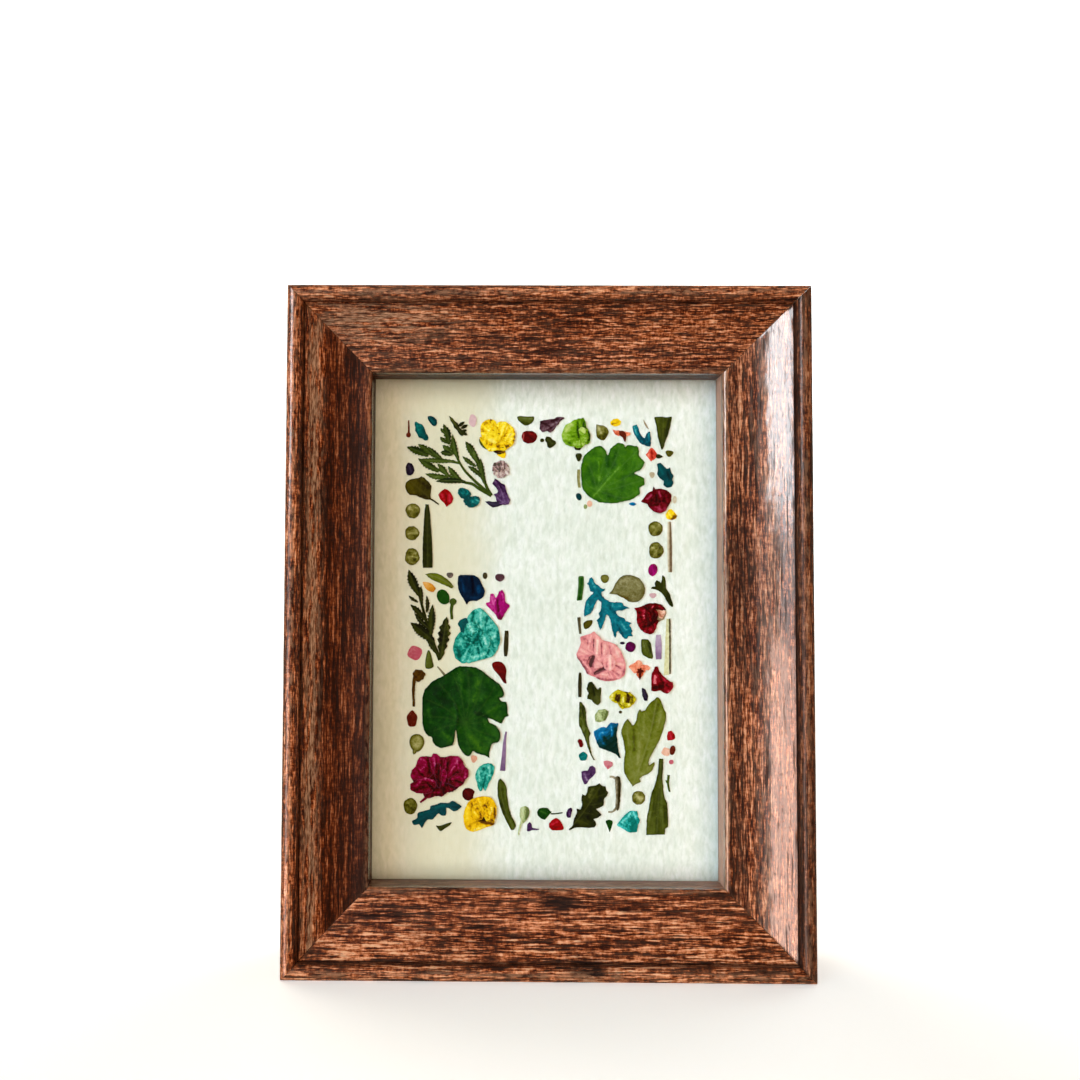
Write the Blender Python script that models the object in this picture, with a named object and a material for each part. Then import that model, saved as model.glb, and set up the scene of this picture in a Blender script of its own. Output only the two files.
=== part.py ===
"""Pressed flower frame: a small deep wooden moulding, glass, and a card that
carries dried leaves, petals and blossoms laid out round a bare cross.

Upright, front facing -Y, origin at the middle of the bottom edge. Metres.
"""
import math

import bpy
import bmesh
from mathutils import Vector
from mathutils.geometry import delaunay_2d_cdt

# ---------------------------------------------------------------- dimensions
FRAME_W = 0.0820          # outside width
FRAME_H = 0.1075          # outside height
DEPTH = 0.0200            # front bead to back face
RAIL_W = 0.0130           # face width of the moulding
REBATE_U = 0.00885        # outside face to the rebate wall
LEDGE_V = 0.0085          # back face up to the ledge that the glass lies on
SIGHT_V = 0.0145          # back face up to the sight edge
BEAD_R = 0.00125          # outer bead
GAP = 0.0003              # clearance between touching pieces

PANE_W = 0.0635           # glass, card and board
PANE_H = 0.0890
GLASS_T = 0.0018
AIR_T = 0.0015            # room between glass and card
CARD_T = 0.0006
BOARD_T = 0.0016

TAB_L = 0.0110            # flat metal points that hold the board
TAB_W = 0.0080
TAB_T = 0.0004
TAB_IN = 0.0030           # how far a point goes into the rail
TAB_Z = 0.0220            # above and below the middle

STEP = 0.000166           # layout step on the card
SHEET_X = 544.5           # steps from the layout corner to the card's middle
SHEET_Y = 628.0
LEAF_T = 0.00035          # pressed leaf or single petal
BLOSSOM_T = 0.00085       # folded blossom

HALF_D = DEPTH / 2
MID_Z = FRAME_H / 2
LEDGE_Y = HALF_D - LEDGE_V
GLASS_Y = LEDGE_Y + GAP
CARD_Y = GLASS_Y + GLASS_T + AIR_T
BOARD_Y = CARD_Y + CARD_T + GAP
TAB_Y = BOARD_Y + BOARD_T + GAP

for obj in list(bpy.data.objects):
    bpy.data.objects.remove(obj, do_unlink=True)


# ------------------------------------------------------------------ materials
def material(name, color, roughness, metallic=0.0, transmission=0.0):
    m = bpy.data.materials.new(name)
    m.use_nodes = True
    p = m.node_tree.nodes["Principled BSDF"]
    p.inputs["Base Color"].default_value = (*color, 1.0)
    p.inputs["Roughness"].default_value = roughness
    p.inputs["Metallic"].default_value = metallic
    p.inputs["Transmission Weight"].default_value = transmission
    return m


MAT = {
    "moulding": material("moulding", (0.120, 0.045, 0.020), 0.35),
    "glass": material("glass", (0.95, 0.97, 0.96), 0.03, 0.0, 0.9),
    "card": material("card", (0.80, 0.79, 0.72), 0.9),
    "board": material("board", (0.30, 0.20, 0.12), 0.85),
    "metal": material("metal", (0.55, 0.55, 0.53), 0.35, 1.0),
    "green": material("green", (0.060, 0.150, 0.020), 0.7),
    "olive": material("olive", (0.140, 0.140, 0.030), 0.75),
    "dark_green": material("dark_green", (0.035, 0.050, 0.010), 0.75),
    "teal": material("teal", (0.010, 0.170, 0.200), 0.7),
    "aqua": material("aqua", (0.100, 0.500, 0.450), 0.7),
    "navy": material("navy", (0.008, 0.030, 0.080), 0.7),
    "yellow": material("yellow", (0.800, 0.500, 0.020), 0.7),
    "pink": material("pink", (0.750, 0.270, 0.270), 0.7),
    "coral": material("coral", (0.800, 0.230, 0.120), 0.7),
    "magenta": material("magenta", (0.300, 0.005, 0.060), 0.7),
    "crimson": material("crimson", (0.250, 0.005, 0.020), 0.7),
    "purple": material("purple", (0.080, 0.020, 0.120), 0.7),
    "brown": material("brown", (0.090, 0.045, 0.020), 0.75),
}


def add(name, mesh, slot, parent=None, location=(0, 0, 0), rotation=(0, 0, 0)):
    mesh.materials.append(MAT[slot])
    obj = bpy.data.objects.new(name, mesh)
    bpy.context.scene.collection.objects.link(obj)
    obj.location = location
    obj.rotation_euler = rotation
    obj.parent = parent
    return obj


def block(name, size, slot, parent, location, bevel):
    bm = bmesh.new()
    bmesh.ops.create_cube(bm, size=1.0)
    bmesh.ops.scale(bm, vec=Vector(size), verts=bm.verts)
    mesh = bpy.data.meshes.new(name)
    bm.to_mesh(mesh)
    bm.free()
    obj = add(name, mesh, slot, parent, location)
    edge = obj.modifiers.new("edge", "BEVEL")
    edge.width = bevel
    edge.segments = 1
    edge.limit_method = "ANGLE"
    return obj


frame = bpy.data.objects.new("frame", None)
bpy.context.scene.collection.objects.link(frame)
sheet = bpy.data.objects.new("sheet", None)      # the middle of the card's face
bpy.context.scene.collection.objects.link(sheet)
sheet.parent = frame
sheet.location = (0, CARD_Y, MID_Z)


# -------------------------------------------------------------------- moulding
def moulding_profile():
    """Closed outline of the moulding: u inward from the outside face, v
    forward from the back face."""
    pts = [(0.0005, 0.0), (0.0, 0.0005)]
    centre_v = DEPTH - BEAD_R
    for i in range(7):                            # outer bead, half round
        a = math.pi - math.pi * i / 6
        pts.append((BEAD_R + BEAD_R * math.cos(a), centre_v + BEAD_R * math.sin(a)))
    u0, v0 = 2 * BEAD_R + 0.0002, centre_v - 0.0007
    u1, v1 = RAIL_W - 0.0009, SIGHT_V
    for i in range(9):                            # scoop down to the sight edge
        s = i / 8
        pts.append((u0 + (u1 - u0) * s, v1 + (v0 - v1) * (1 - s) ** 2.1))
    pts += [(RAIL_W - 0.0003, SIGHT_V - 0.0002), (RAIL_W, SIGHT_V - 0.0006)]
    pts += [(RAIL_W, LEDGE_V), (REBATE_U, LEDGE_V), (REBATE_U, 0.0004), (REBATE_U - 0.0004, 0.0)]
    return pts


def rail(name, length, location, turn, slots=()):
    """One mitred stick. It runs along X with its outside face at Z = 0, and
    each end is cut at 45 degrees, half a gap short of the corner line."""
    half = length / 2 - GAP / 2 * math.sqrt(2)
    prof = moulding_profile()
    n = len(prof)
    bm = bmesh.new()
    ends = []
    for side in (-1, 1):
        ends.append([bm.verts.new((side * (half - u), HALF_D - v, u)) for u, v in prof])
    for i in range(n):
        j = (i + 1) % n
        bm.faces.new((ends[0][i], ends[1][i], ends[1][j], ends[0][j]))
    bm.faces.new(ends[0])
    bm.faces.new(ends[1][::-1])
    bmesh.ops.recalc_face_normals(bm, faces=bm.faces)
    mesh = bpy.data.meshes.new(name)
    bm.to_mesh(mesh)
    bm.free()
    mesh.shade_smooth()
    mesh.set_sharp_from_angle(angle=math.radians(32))
    obj = add(name, mesh, "moulding", frame, location, (0, turn, 0))
    for k, along in enumerate(slots):
        depth = TAB_IN + GAP + 0.001
        shape = bmesh.new()
        bmesh.ops.create_cube(shape, size=1.0)
        bmesh.ops.scale(shape, vec=Vector((TAB_W + 2 * GAP, TAB_T + 2 * GAP, depth)), verts=shape.verts)
        bmesh.ops.translate(shape, verts=shape.verts,
                            vec=Vector((along, TAB_Y + TAB_T / 2, REBATE_U - TAB_IN - GAP + depth / 2)))
        cutter = bpy.data.meshes.new("cut_%s_%d" % (name, k))
        shape.to_mesh(cutter)
        shape.free()
        cut = bpy.data.objects.new("cut_%s_%d" % (name, k), cutter)
        bpy.context.scene.collection.objects.link(cut)
        cut.parent = obj
        cut.hide_render = True
        cut.display_type = "WIRE"
        slot = obj.modifiers.new("slot", "BOOLEAN")
        slot.operation = "DIFFERENCE"
        slot.solver = "EXACT"
        slot.object = cut
    return obj


rail("rail_bottom", FRAME_W, (0, 0, 0), 0.0)
rail("rail_top", FRAME_W, (0, 0, FRAME_H), math.pi)
rail("rail_left", FRAME_H, (-FRAME_W / 2, 0, MID_Z), math.pi / 2, (-TAB_Z, TAB_Z))
rail("rail_right", FRAME_H, (FRAME_W / 2, 0, MID_Z), -math.pi / 2, (-TAB_Z, TAB_Z))

# ------------------------------------------------------- glass, card and board
block("glass_pane", (PANE_W, GLASS_T, PANE_H), "glass", frame,
      (0, GLASS_Y + GLASS_T / 2, MID_Z), 0.00015)
block("art_card", (PANE_W, CARD_T, PANE_H), "card", frame,
      (0, CARD_Y + CARD_T / 2, MID_Z), 0.00005)
block("backing_board", (PANE_W, BOARD_T, PANE_H), "board", frame,
      (0, BOARD_Y + BOARD_T / 2, MID_Z), 0.00015)

wall_x = FRAME_W / 2 - REBATE_U
for name, sx, sz in (("tab_upper_left", -1, 1), ("tab_lower_left", -1, -1),
                     ("tab_upper_right", 1, 1), ("tab_lower_right", 1, -1)):
    block(name, (TAB_L, TAB_T, TAB_W), "metal", frame,
          (sx * (wall_x + TAB_IN - TAB_L / 2), TAB_Y + TAB_T / 2, MID_Z + sz * TAB_Z), 0.00008)


# -------------------------------------------------------------- plant outlines
# Outlines are in layout steps, right and down from the layout corner. Angles
# are in degrees, anticlockwise as seen from the front.
def blob(cx, cy, w, h, n=14, tilt=0.0, waves=(), dents=()):
    """Rounded outline. waves: (count, size, phase). dents: (angle, depth,
    width), with a depth below 0 for a point."""
    turns = [360.0 * i / n for i in range(n)]
    for a, _, wide in dents:
        turns = [t for t in turns if abs((t - a + 180) % 360 - 180) > 1.3 * wide]
        turns += [(a + k * wide) % 360 for k in (-1.2, 0, 1.2)]
    c, s = math.cos(math.radians(tilt)), math.sin(math.radians(tilt))
    pts = []
    for deg in sorted(turns):
        t = math.radians(deg)
        r = 1 + sum(size * math.sin(k * t + math.radians(ph)) for k, size, ph in waves)
        for a, depth, wide in dents:
            d = (deg - a + 180) % 360 - 180
            r -= depth * math.exp(-(d / wide) ** 2)
        x, y = w / 2 * r * math.cos(t), h / 2 * r * math.sin(t)
        pts.append((cx + x * c - y * s, cy - x * s - y * c))
    return pts


def blade(x0, y0, x1, y1, w, n=5, peak=0.5, ends=(0.12, 0.0), bend=0.0, lobes=0, depth=0.0, sweep=0.0):
    """Leaf from its base to its tip, w steps across at the widest place. ends
    are the widths there as parts of w. bend bows the midrib to its left."""
    dx, dy = x1 - x0, y1 - y0
    length = math.hypot(dx, dy)
    ax, ay = dx / length, dy / length
    nx, ny = ay, -ax                              # left of the direction, y down
    count = lobes * 4 if lobes else n

    def at(t, side):
        if t < peak:
            e = ends[0] + (1 - ends[0]) * math.sin(math.pi / 2 * t / peak) ** 0.8
        else:
            e = ends[1] + (1 - ends[1]) * math.cos(math.pi / 2 * (t - peak) / (1 - peak)) ** 0.9
        if lobes:
            e *= 1 - depth * (0.5 + 0.5 * math.cos(2 * math.pi * lobes * t + 0.6 * side))
        off = w / 2 * e * side
        go = t * length + sweep * abs(off) * (0.5 + 0.5 * math.cos(math.pi * t))
        bow = bend * 4 * t * (1 - t)
        return (x0 + ax * go + nx * (off + bow), y0 + ay * go + ny * (off + bow))

    right = [at(i / count, -1) for i in range(0, count)]
    left = [at(i / count, 1) for i in range(count - 1, -1, -1)]
    tip = [at(1.0, 1)] if ends[1] == 0 else [at(1.0, -1), at(1.0, 1)]
    out = right + tip + left
    return out if ends[0] else out[:-1]


def strip(points, w0, w1=None):
    """Stem or bar of even width, or tapering from w0 to w1."""
    w1 = w0 if w1 is None else w1
    sides = ([], [])
    for i, (x, y) in enumerate(points):
        a, b = points[max(i - 1, 0)], points[min(i + 1, len(points) - 1)]
        length = math.hypot(b[0] - a[0], b[1] - a[1])
        nx, ny = (b[1] - a[1]) / length, -(b[0] - a[0]) / length
        half = (w0 + (w1 - w0) * i / (len(points) - 1)) / 2
        sides[0].append((x + nx * half, y + ny * half))
        sides[1].append((x - nx * half, y - ny * half))
    return sides[0] + sides[1][::-1]


def plate(name, slot, thick, *outlines):
    """Thin flat solid over the union of the outlines, lying on the card."""
    flat, rings = [], []
    for ring in outlines:
        pts = [((x - SHEET_X) * STEP * 1000, (SHEET_Y - y) * STEP * 1000) for x, y in ring]
        area = sum(p[0] * q[1] - q[0] * p[1] for p, q in zip(pts, pts[1:] + pts[:1]))
        if area < 0:
            pts.reverse()
        rings.append(list(range(len(flat), len(flat) + len(pts))))
        flat += [Vector(p) for p in pts]
    points, _, faces, _, _, _ = delaunay_2d_cdt(flat, [], rings, 1, 1e-4)
    bm = bmesh.new()
    low = [bm.verts.new((p[0] / 1000, -GAP, p[1] / 1000)) for p in points]
    for f in faces:
        bm.faces.new([low[i] for i in f])
    bmesh.ops.delete(bm, geom=[v for v in bm.verts if not v.link_faces], context="VERTS")
    bmesh.ops.remove_doubles(bm, verts=bm.verts, dist=0.00003)
    bmesh.ops.dissolve_limit(bm, angle_limit=math.radians(1), verts=bm.verts, edges=bm.edges)
    made = bmesh.ops.extrude_face_region(bm, geom=bm.faces[:])
    bmesh.ops.translate(bm, vec=(0, -thick, 0),
                        verts=[g for g in made["geom"] if isinstance(g, bmesh.types.BMVert)])
    bmesh.ops.recalc_face_normals(bm, faces=bm.faces)
    bmesh.ops.triangulate(bm, faces=bm.faces)
    mesh = bpy.data.meshes.new(name)
    bm.to_mesh(mesh)
    bm.free()
    return add(name, mesh, slot, sheet)


# ------------------------------------------------------------------ specimens
# Upper part of the cross's left side.
plate("petal_teal_narrow", "teal", LEAF_T, blade(429, 441, 415.5, 421.5, 9, peak=0.6))
plate("sprig_dark_bit", "dark_green", LEAF_T,
      blade(466, 435.5, 449, 415.5, 5.5, ends=(0.5, 0.0)), blade(459, 428, 466, 423.5, 3, n=2),
      blade(461, 432, 468, 430, 3.5, n=2))
plate("blossom_yellow_top", "yellow", BLOSSOM_T,
      blob(498, 434, 36, 32, n=22, waves=((5, 0.035, 20), (8, 0.03, 80))),
      blade(492, 444, 479, 438.5, 7, n=3), blade(489, 447, 507, 456, 8, n=3))
plate("fern_right", "dark_green", LEAF_T,
      strip([(488.3, 489.3), (485.5, 483), (478, 466)], 2.6, 4), blade(482, 476, 465.8, 442.5, 9, bend=-2),
      blade(486, 486, 481, 459, 6.5), blade(479, 468, 463, 456.5, 4, n=3),
      blade(483, 479, 468, 467.5, 3.6, n=3))
plate("fern_middle", "dark_green", LEAF_T,
      blade(457.5, 466.5, 443.5, 424, 9, bend=2), blade(456.5, 465, 454.3, 435.5, 6),
      blade(452, 452, 440, 429.5, 4, n=3), blade(453, 456, 440.5, 438.5, 3.4, n=3),
      blade(456, 463.5, 406.5, 447, 7.5, bend=-3), blade(438, 458, 417.5, 444.8, 6, n=4),
      blade(446, 458.5, 427.5, 447.5, 3.6, n=3), blade(449, 462, 417, 460.5, 5, n=4))
plate("fern_left", "dark_green", LEAF_T,
      strip([(489.6, 497.2), (482, 489), (471, 479.5), (461.3, 471.2)], 3.2, 2.4),
      blade(474, 483.5, 436, 482.3, 4.6, n=4), blade(469, 480.5, 425.5, 474.5, 7, n=5, bend=-1),
      blade(462, 478.5, 437.5, 464, 4, n=3), blade(466, 479, 447.5, 466.3, 4, n=3))
plate("flower_purple", "purple", LEAF_T * 1.6,
      blade(507, 506, 496, 479, 14, n=5, bend=3, ends=(0.5, 0)), blade(502, 498, 511, 498.5, 7, n=2),
      strip([(508, 503.5), (497, 507), (490, 505.5), (484.5, 502)], 4.5, 1.2))
plate("leaf_heart_olive", "olive", LEAF_T,
      blob(418.5, 487.5, 26.5, 22.5, n=12, dents=((-47, -0.3, 16), (100, 0.05, 20))),
      strip([(426, 497), (434.5, 502), (439.3, 505)], 1.8, 1.2))
plate("petal_crimson", "crimson", LEAF_T,
      blob(445.6, 497, 14, 17.5, n=10, dents=((-92, -0.28, 22), (205, 0.1, 15))))
plate("petal_teal_double", "teal", LEAF_T * 1.5,
      blob(464.2, 494, 13.5, 12.5, n=10), blob(472.2, 500.4, 16, 14.5, n=12))
plate("bar_dark_leaf", "dark_green", LEAF_T, blade(427.8, 568, 427.2, 504.8, 10, n=5, peak=0.1, ends=(0.95, 0.35)))

# Upper part, right of the cross.
plate("petal_plum", "purple", LEAF_T * 1.4,
      blob(548, 425.5, 18, 14.5, n=9, waves=((4, 0.07, 30),)), blade(552, 426, 564, 417.5, 6, n=2))
plate("blossom_green", "green", BLOSSOM_T,
      blob(575.5, 432.5, 28, 29, n=16, dents=((88, -0.12, 14), (40, 0.05, 12))),
      blade(577, 442, 576.5, 451, 6, n=2, ends=(0.9, 0.6)))
plate("flower_coral_small", "coral", LEAF_T * 1.6,
      blade(624.5, 435.5, 610.5, 429, 7, n=3, ends=(0.4, 0)), blade(621, 434.5, 630, 433.5, 7, n=3, ends=(0.4, 0)),
      blade(621.5, 431, 624.8, 441.3, 5, n=3, ends=(0.4, 0)))
plate("petal_teal_vee", "teal", LEAF_T,
      blade(649, 447.5, 632.5, 424.5, 7, n=4, bend=-3, ends=(0.6, 0)), blade(646.5, 446.5, 648.5, 433, 5.5, n=3, ends=(0.6, 0)))
plate("wedge_leaf_small", "olive", LEAF_T,
      [(655, 417.3), (671, 416.8), (670, 427), (668, 436), (663.6, 450), (661.8, 450), (658, 437.5), (656, 427)])
plate("leaf_lobed_bright", "green", LEAF_T * 1.2,
      blob(613, 474, 63, 61, n=32, waves=((2, 0.012, 40),),
           dents=((102, 0.33, 5.5), (128, 0.05, 5), (66, 0.05, 4), (30, 0.14, 5), (-2.7, 0.33, 5), (52, -0.05, 6), (19, -0.06, 5))))
plate("leaf_teal_small", "teal", LEAF_T, blade(672, 489, 657.5, 462.5, 14, lobes=3, depth=0.22, ends=(0.5, 0.3)))
plate("flower_burgundy", "crimson", BLOSSOM_T,
      blob(656.3, 500.6, 28, 24.5, n=16, waves=((6, 0.03, 10),), dents=((108, -0.12, 8), (182, -0.08, 8))))

# Lower left quarter.
plate("fern_small_left", "dark_green", LEAF_T,
      strip([(439.3, 659.5), (431, 636), (422, 608), (417, 590)], 3.4, 2.4), blade(420, 600, 408.8, 570, 7.5, n=4, bend=-1),
      blade(424.5, 616, 422, 585, 5, n=4), blade(428.5, 622, 426.5, 595.8, 4.6, n=3),
      blade(433, 641, 432.5, 604.5, 8, n=4), blade(431.5, 636, 411.3, 607, 5, n=4),
      blade(422, 607, 410, 595, 2.6, n=2), blade(437.3, 652, 412.3, 622.8, 8, n=5, bend=1.5))
plate("fern_small_right", "dark_green", LEAF_T, blade(443.6, 656.5, 446.5, 618.3, 10, n=5, peak=0.6, ends=(0.2, 0)))
plate("leaf_olive_narrow", "olive", LEAF_T, blade(453, 587.5, 425.5, 574.5, 7.5, n=5, peak=0.62, bend=-2, ends=(0.35, 0)))
plate("petal_navy", "navy", LEAF_T,
      blob(471, 588, 27.5, 26.5, n=12, dents=((137, -0.18, 20), (48, 0.04, 20), (222, 0.08, 16))),
      blade(470, 596, 466, 603.5, 7, n=2))
plate("petal_magenta_lobed", "magenta", LEAF_T * 1.3,
      blade(501.5, 620.5, 492.3, 593, 10, n=4, peak=0.62), blade(500, 615, 501.3, 590, 9.5, n=4, peak=0.6),
      blade(499.5, 617, 510, 604.5, 8.5, n=3, peak=0.6), blade(502, 614, 485.8, 603.5, 8, n=3, peak=0.6),
      blade(500, 604, 500.6, 621, 9, n=3, peak=0.3))
plate("petal_aqua_big", "aqua", LEAF_T * 1.5,
      blob(476.3, 636.8, 49, 54, n=24, dents=((42, 0.2, 22), (122, 0.2, 14), (-148, -0.1, 16), (-113, -0.06, 12), (-8, -0.05, 14))))
plate("leaf_brown_curled", "brown", LEAF_T * 1.4,
      blob(419, 675.3, 11.5, 11.5, n=9, waves=((3, 0.08, 40),)),
      strip([(416, 674), (414.2, 682), (413.6, 693), (414, 706.3)], 4, 2.4))
plate("leaf_big_green", "green", LEAF_T * 1.2,
      blob(464.2, 709, 86, 87, n=34,
           dents=((14, 0.09, 4), (-26, 0.4, 4.5), (-48, 0.06, 5), (-63, -0.2, 7), (-110, 0.5, 4.2), (-138, 0.05, 5), (-84, -0.02, 6))))
plate("carnation_magenta", "magenta", BLOSSOM_T,
      blob(440, 776.5, 57, 44, n=30, waves=((7, 0.035, 60), (11, 0.03, 0)),
           dents=((-121, -0.26, 5), (103, -0.05, 8), (78, 0.06, 6), (-160, 0.05, 8))))
plate("petal_aqua_oval", "aqua", LEAF_T * 1.3,
      blob(486.3, 775.5, 18, 26.5, n=12, tilt=-18, dents=((-84, 0.2, 7), (-118, 0.1, 7))))
plate("fern_serrated_teal", "teal", LEAF_T,
      blade(412.5, 826, 461.8, 803.5, 15, lobes=5, depth=0.45, bend=5, peak=0.45, ends=(0.1, 0.3), sweep=-0.3))
plate("blossom_yellow_low", "yellow", BLOSSOM_T,
      blob(479.4, 814.3, 34.5, 35, n=22, waves=((5, 0.03, 100), (9, 0.02, 10)), dents=((60, -0.05, 12),)))
plate("leaf_olive_slender", "olive", LEAF_T, blade(515, 830, 499, 778.5, 9.5, n=6, peak=0.62, bend=-2, ends=(0.45, 0)))
plate("bud_pale", "green", LEAF_T * 1.5,
      blob(525.5, 806.5, 10, 15.5, n=10, tilt=8, dents=((90, -0.12, 20),)),
      strip([(525.5, 811), (524.5, 820), (523, 828.5)], 3.6, 2))

# Lower right quarter.
plate("leaf_teal_lobed", "teal", LEAF_T,
      blade(604, 606, 590.5, 576.5, 10.5, n=4, ends=(0.8, 0.25)), blade(597, 594, 606, 588.3, 5, n=2, ends=(0.6, 0)),
      blade(600, 594, 583.3, 617, 10, n=4, ends=(0.5, 0)), blade(604, 599, 599.8, 629.5, 9, n=4, ends=(0.6, 0)),
      blade(603, 604, 628.5, 608.5, 8.5, n=4, ends=(0.5, 0), bend=1.5), blade(605, 603, 626, 638.5, 15, n=5, ends=(0.5, 0)),
      blade(608, 610, 614, 637.3, 6.5, n=3, ends=(0.6, 0)), blade(615, 619, 631.8, 623, 6, n=3, ends=(0.6, 0)),
      blade(619, 627, 633, 636, 6, n=3, ends=(0.6, 0)))
plate("leaf_olive_round", "olive", LEAF_T * 1.2,
      blob(629, 588.2, 33, 26, n=16), blade(624, 590.5, 609.5, 593.4, 12, n=3, ends=(0.9, 0)))
plate("sprig_forked", "dark_green", LEAF_T,
      blade(672, 607.3, 662.8, 576, 7, n=5, peak=0.35, ends=(0.4, 0.35), bend=2), blade(667.5, 594, 655, 580.5, 5.5, n=3, ends=(0.5, 0)),
      blade(666, 592.5, 650.5, 588, 4.6, n=3, ends=(0.6, 0)))
plate("flower_dark_red", "crimson", BLOSSOM_T,
      blob(650.3, 618, 28.5, 29.5, n=16, dents=((146, -0.3, 12), (-35, 0.12, 16), (60, -0.04, 12))))
plate("blossom_pink", "pink", BLOSSOM_T,
      blob(601, 657.3, 47, 48, n=26, dents=((130, -0.17, 12), (153, -0.05, 8), (36, 0.15, 20), (-24, -0.09, 18), (118, 0.04, 5))))
plate("flower_coral_star", "coral", LEAF_T * 1.6,
      blade(643, 671, 627.6, 667.5, 9, n=3, peak=0.6, ends=(0.5, 0.2)), blade(636, 671, 649.9, 667.5, 9, n=3, peak=0.6, ends=(0.5, 0.2)),
      blade(639.5, 674, 639.2, 660.2, 9, n=3, peak=0.6, ends=(0.5, 0.2)), blade(639.5, 667, 639.8, 680.6, 8, n=3, ends=(0.7, 0)))
plate("flower_crimson_bell", "crimson", BLOSSOM_T,
      [(655, 667.5), (657.8, 666.3), (660.5, 672), (666, 678), (672.5, 681.5), (673, 688), (669.5, 694), (665, 692.5),
       (660, 690), (655, 691.5), (650.6, 691.3), (651.2, 683), (652.8, 675)])
plate("flower_yellow_dark", "yellow", BLOSSOM_T,
      blob(622, 698.8, 27.5, 20.5, n=16, dents=((-93, -0.1, 10), (92, 0.06, 12))))
plate("leaf_oak_small", "olive", LEAF_T,
      blade(600, 703.5, 589.5, 682, 14, lobes=2, depth=0.25, ends=(0.45, 0.3)), blade(598, 701, 601.3, 686, 5, n=3, ends=(0.6, 0)))
plate("leaf_lance_olive", "olive", LEAF_T, blade(595.3, 761, 579.5, 702, 8.6, n=7, peak=0.66, ends=(0.12, 0.15), bend=2))
plate("leaf_olive_lobed", "olive", LEAF_T * 1.2,
      blade(632, 787, 656.5, 696.5, 32, n=9, peak=0.56, bend=-3.5), blade(634, 776, 627, 718.3, 14, n=5, bend=3, peak=0.6),
      blade(638, 765, 640, 709, 19, n=5, peak=0.6), blade(634, 784, 653.5, 762.5, 10, n=4, peak=0.6))
plate("petal_blue_fan", "teal", LEAF_T * 1.4,
      [(593.8, 731), (598, 727.5), (601.5, 729), (605.5, 724.8), (609, 726), (612, 722), (618.3, 723.5), (617.2, 735),
       (618, 748), (620.8, 758), (618.6, 758), (613, 753), (603, 749.5), (596.5, 742.5)])
plate("leaf_oak_dark", "dark_green", LEAF_T,
      blade(568.5, 829.5, 602, 784.3, 27, lobes=4, depth=0.34, peak=0.55, ends=(0.06, 0.4), sweep=-0.15))
plate("stem_grey_curved", "brown", LEAF_T * 1.6,
      strip([(609.5, 776.5), (614.5, 777), (617.5, 782), (618, 793), (617.6, 803), (615, 810), (609, 812.3)], 2.2, 2.2),
      blade(617.5, 806, 617.7, 777, 6.4, n=4, ends=(0.5, 0.5)))
plate("petal_aqua_small", "aqua", LEAF_T * 1.3,
      [(615.5, 824.5), (621, 817), (627, 810.8), (637, 809.3), (638, 817), (641, 822), (638, 833), (628, 835), (621, 832.5)])
plate("wedge_leaf_tall", "olive", LEAF_T * 1.2,
      [(659, 759), (663.2, 759), (664.2, 775), (665, 790), (667.3, 803.5), (667.6, 826), (665.6, 828.5), (665.2, 835),
       (645.6, 835.2), (646.4, 818), (649.2, 800), (653.5, 786), (657.5, 772)])
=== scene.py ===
"""Looks of the pressed flower frame: wood, glass, paper and every dried specimen."""
import math

import bmesh
import bpy
import numpy as np
from mathutils import Matrix, Vector
from mathutils.geometry import delaunay_2d_cdt


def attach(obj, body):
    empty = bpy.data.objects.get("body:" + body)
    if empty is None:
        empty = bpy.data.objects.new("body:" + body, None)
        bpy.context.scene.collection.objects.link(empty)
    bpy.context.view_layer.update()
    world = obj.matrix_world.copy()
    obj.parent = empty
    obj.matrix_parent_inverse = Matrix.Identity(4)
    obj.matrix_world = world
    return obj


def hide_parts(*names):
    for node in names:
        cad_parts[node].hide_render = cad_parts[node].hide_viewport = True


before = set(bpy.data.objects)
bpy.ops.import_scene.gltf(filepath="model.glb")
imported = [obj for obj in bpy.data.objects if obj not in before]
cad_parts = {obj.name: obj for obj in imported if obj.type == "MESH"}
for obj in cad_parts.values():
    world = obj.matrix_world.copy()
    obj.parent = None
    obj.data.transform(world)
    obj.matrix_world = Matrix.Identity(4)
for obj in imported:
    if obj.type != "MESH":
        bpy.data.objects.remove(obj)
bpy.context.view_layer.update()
scene = bpy.context.scene
scene.view_settings.view_transform = "Standard"
scene.view_settings.look = "None"

# ------------------------------------------------- sizes, in mm, as the frame has them
FRAME_W, FRAME_H, DEPTH = 82.0, 107.5, 20.0
RAIL_W, REBATE_U, LEDGE_V, SIGHT_V, BEAD_R = 13.0, 8.85, 8.5, 14.5, 1.25
PANE_W, PANE_H, GLASS_T, AIR_T, CARD_T, BOARD_T, GAP = 63.5, 89.0, 1.8, 1.5, 0.6, 1.6, 0.3
TAB_L, TAB_W, TAB_T, TAB_IN, TAB_Z = 11.0, 8.0, 0.4, 3.0, 22.0
MID_Z = FRAME_H / 2
GLASS_Y = DEPTH / 2 - LEDGE_V + GAP
CARD_Y = GLASS_Y + GLASS_T + AIR_T
BOARD_Y = CARD_Y + CARD_T + GAP
TAB_Y = BOARD_Y + BOARD_T + GAP


# --------------------------------------------------------------------------- camera
CAM = (-9.6, -191.8, 4.7)                        # mm from the middle of the frame
PITCH, YAW, ROLL = math.radians(2.61), math.radians(-0.59), math.radians(0.25)
FOCAL, SHIFT = 1179.9, (0.0606, 0.0042)          # FOCAL in layout steps

_f = Vector((math.sin(YAW) * math.cos(PITCH), math.cos(YAW) * math.cos(PITCH), math.sin(PITCH)))
_r = Vector((math.cos(YAW), -math.sin(YAW), 0.0))
_u = _r.cross(_f)
RIGHT = _r * math.cos(ROLL) + _u * math.sin(ROLL)
UP = -_r * math.sin(ROLL) + _u * math.cos(ROLL)
FWD = _f

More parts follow.
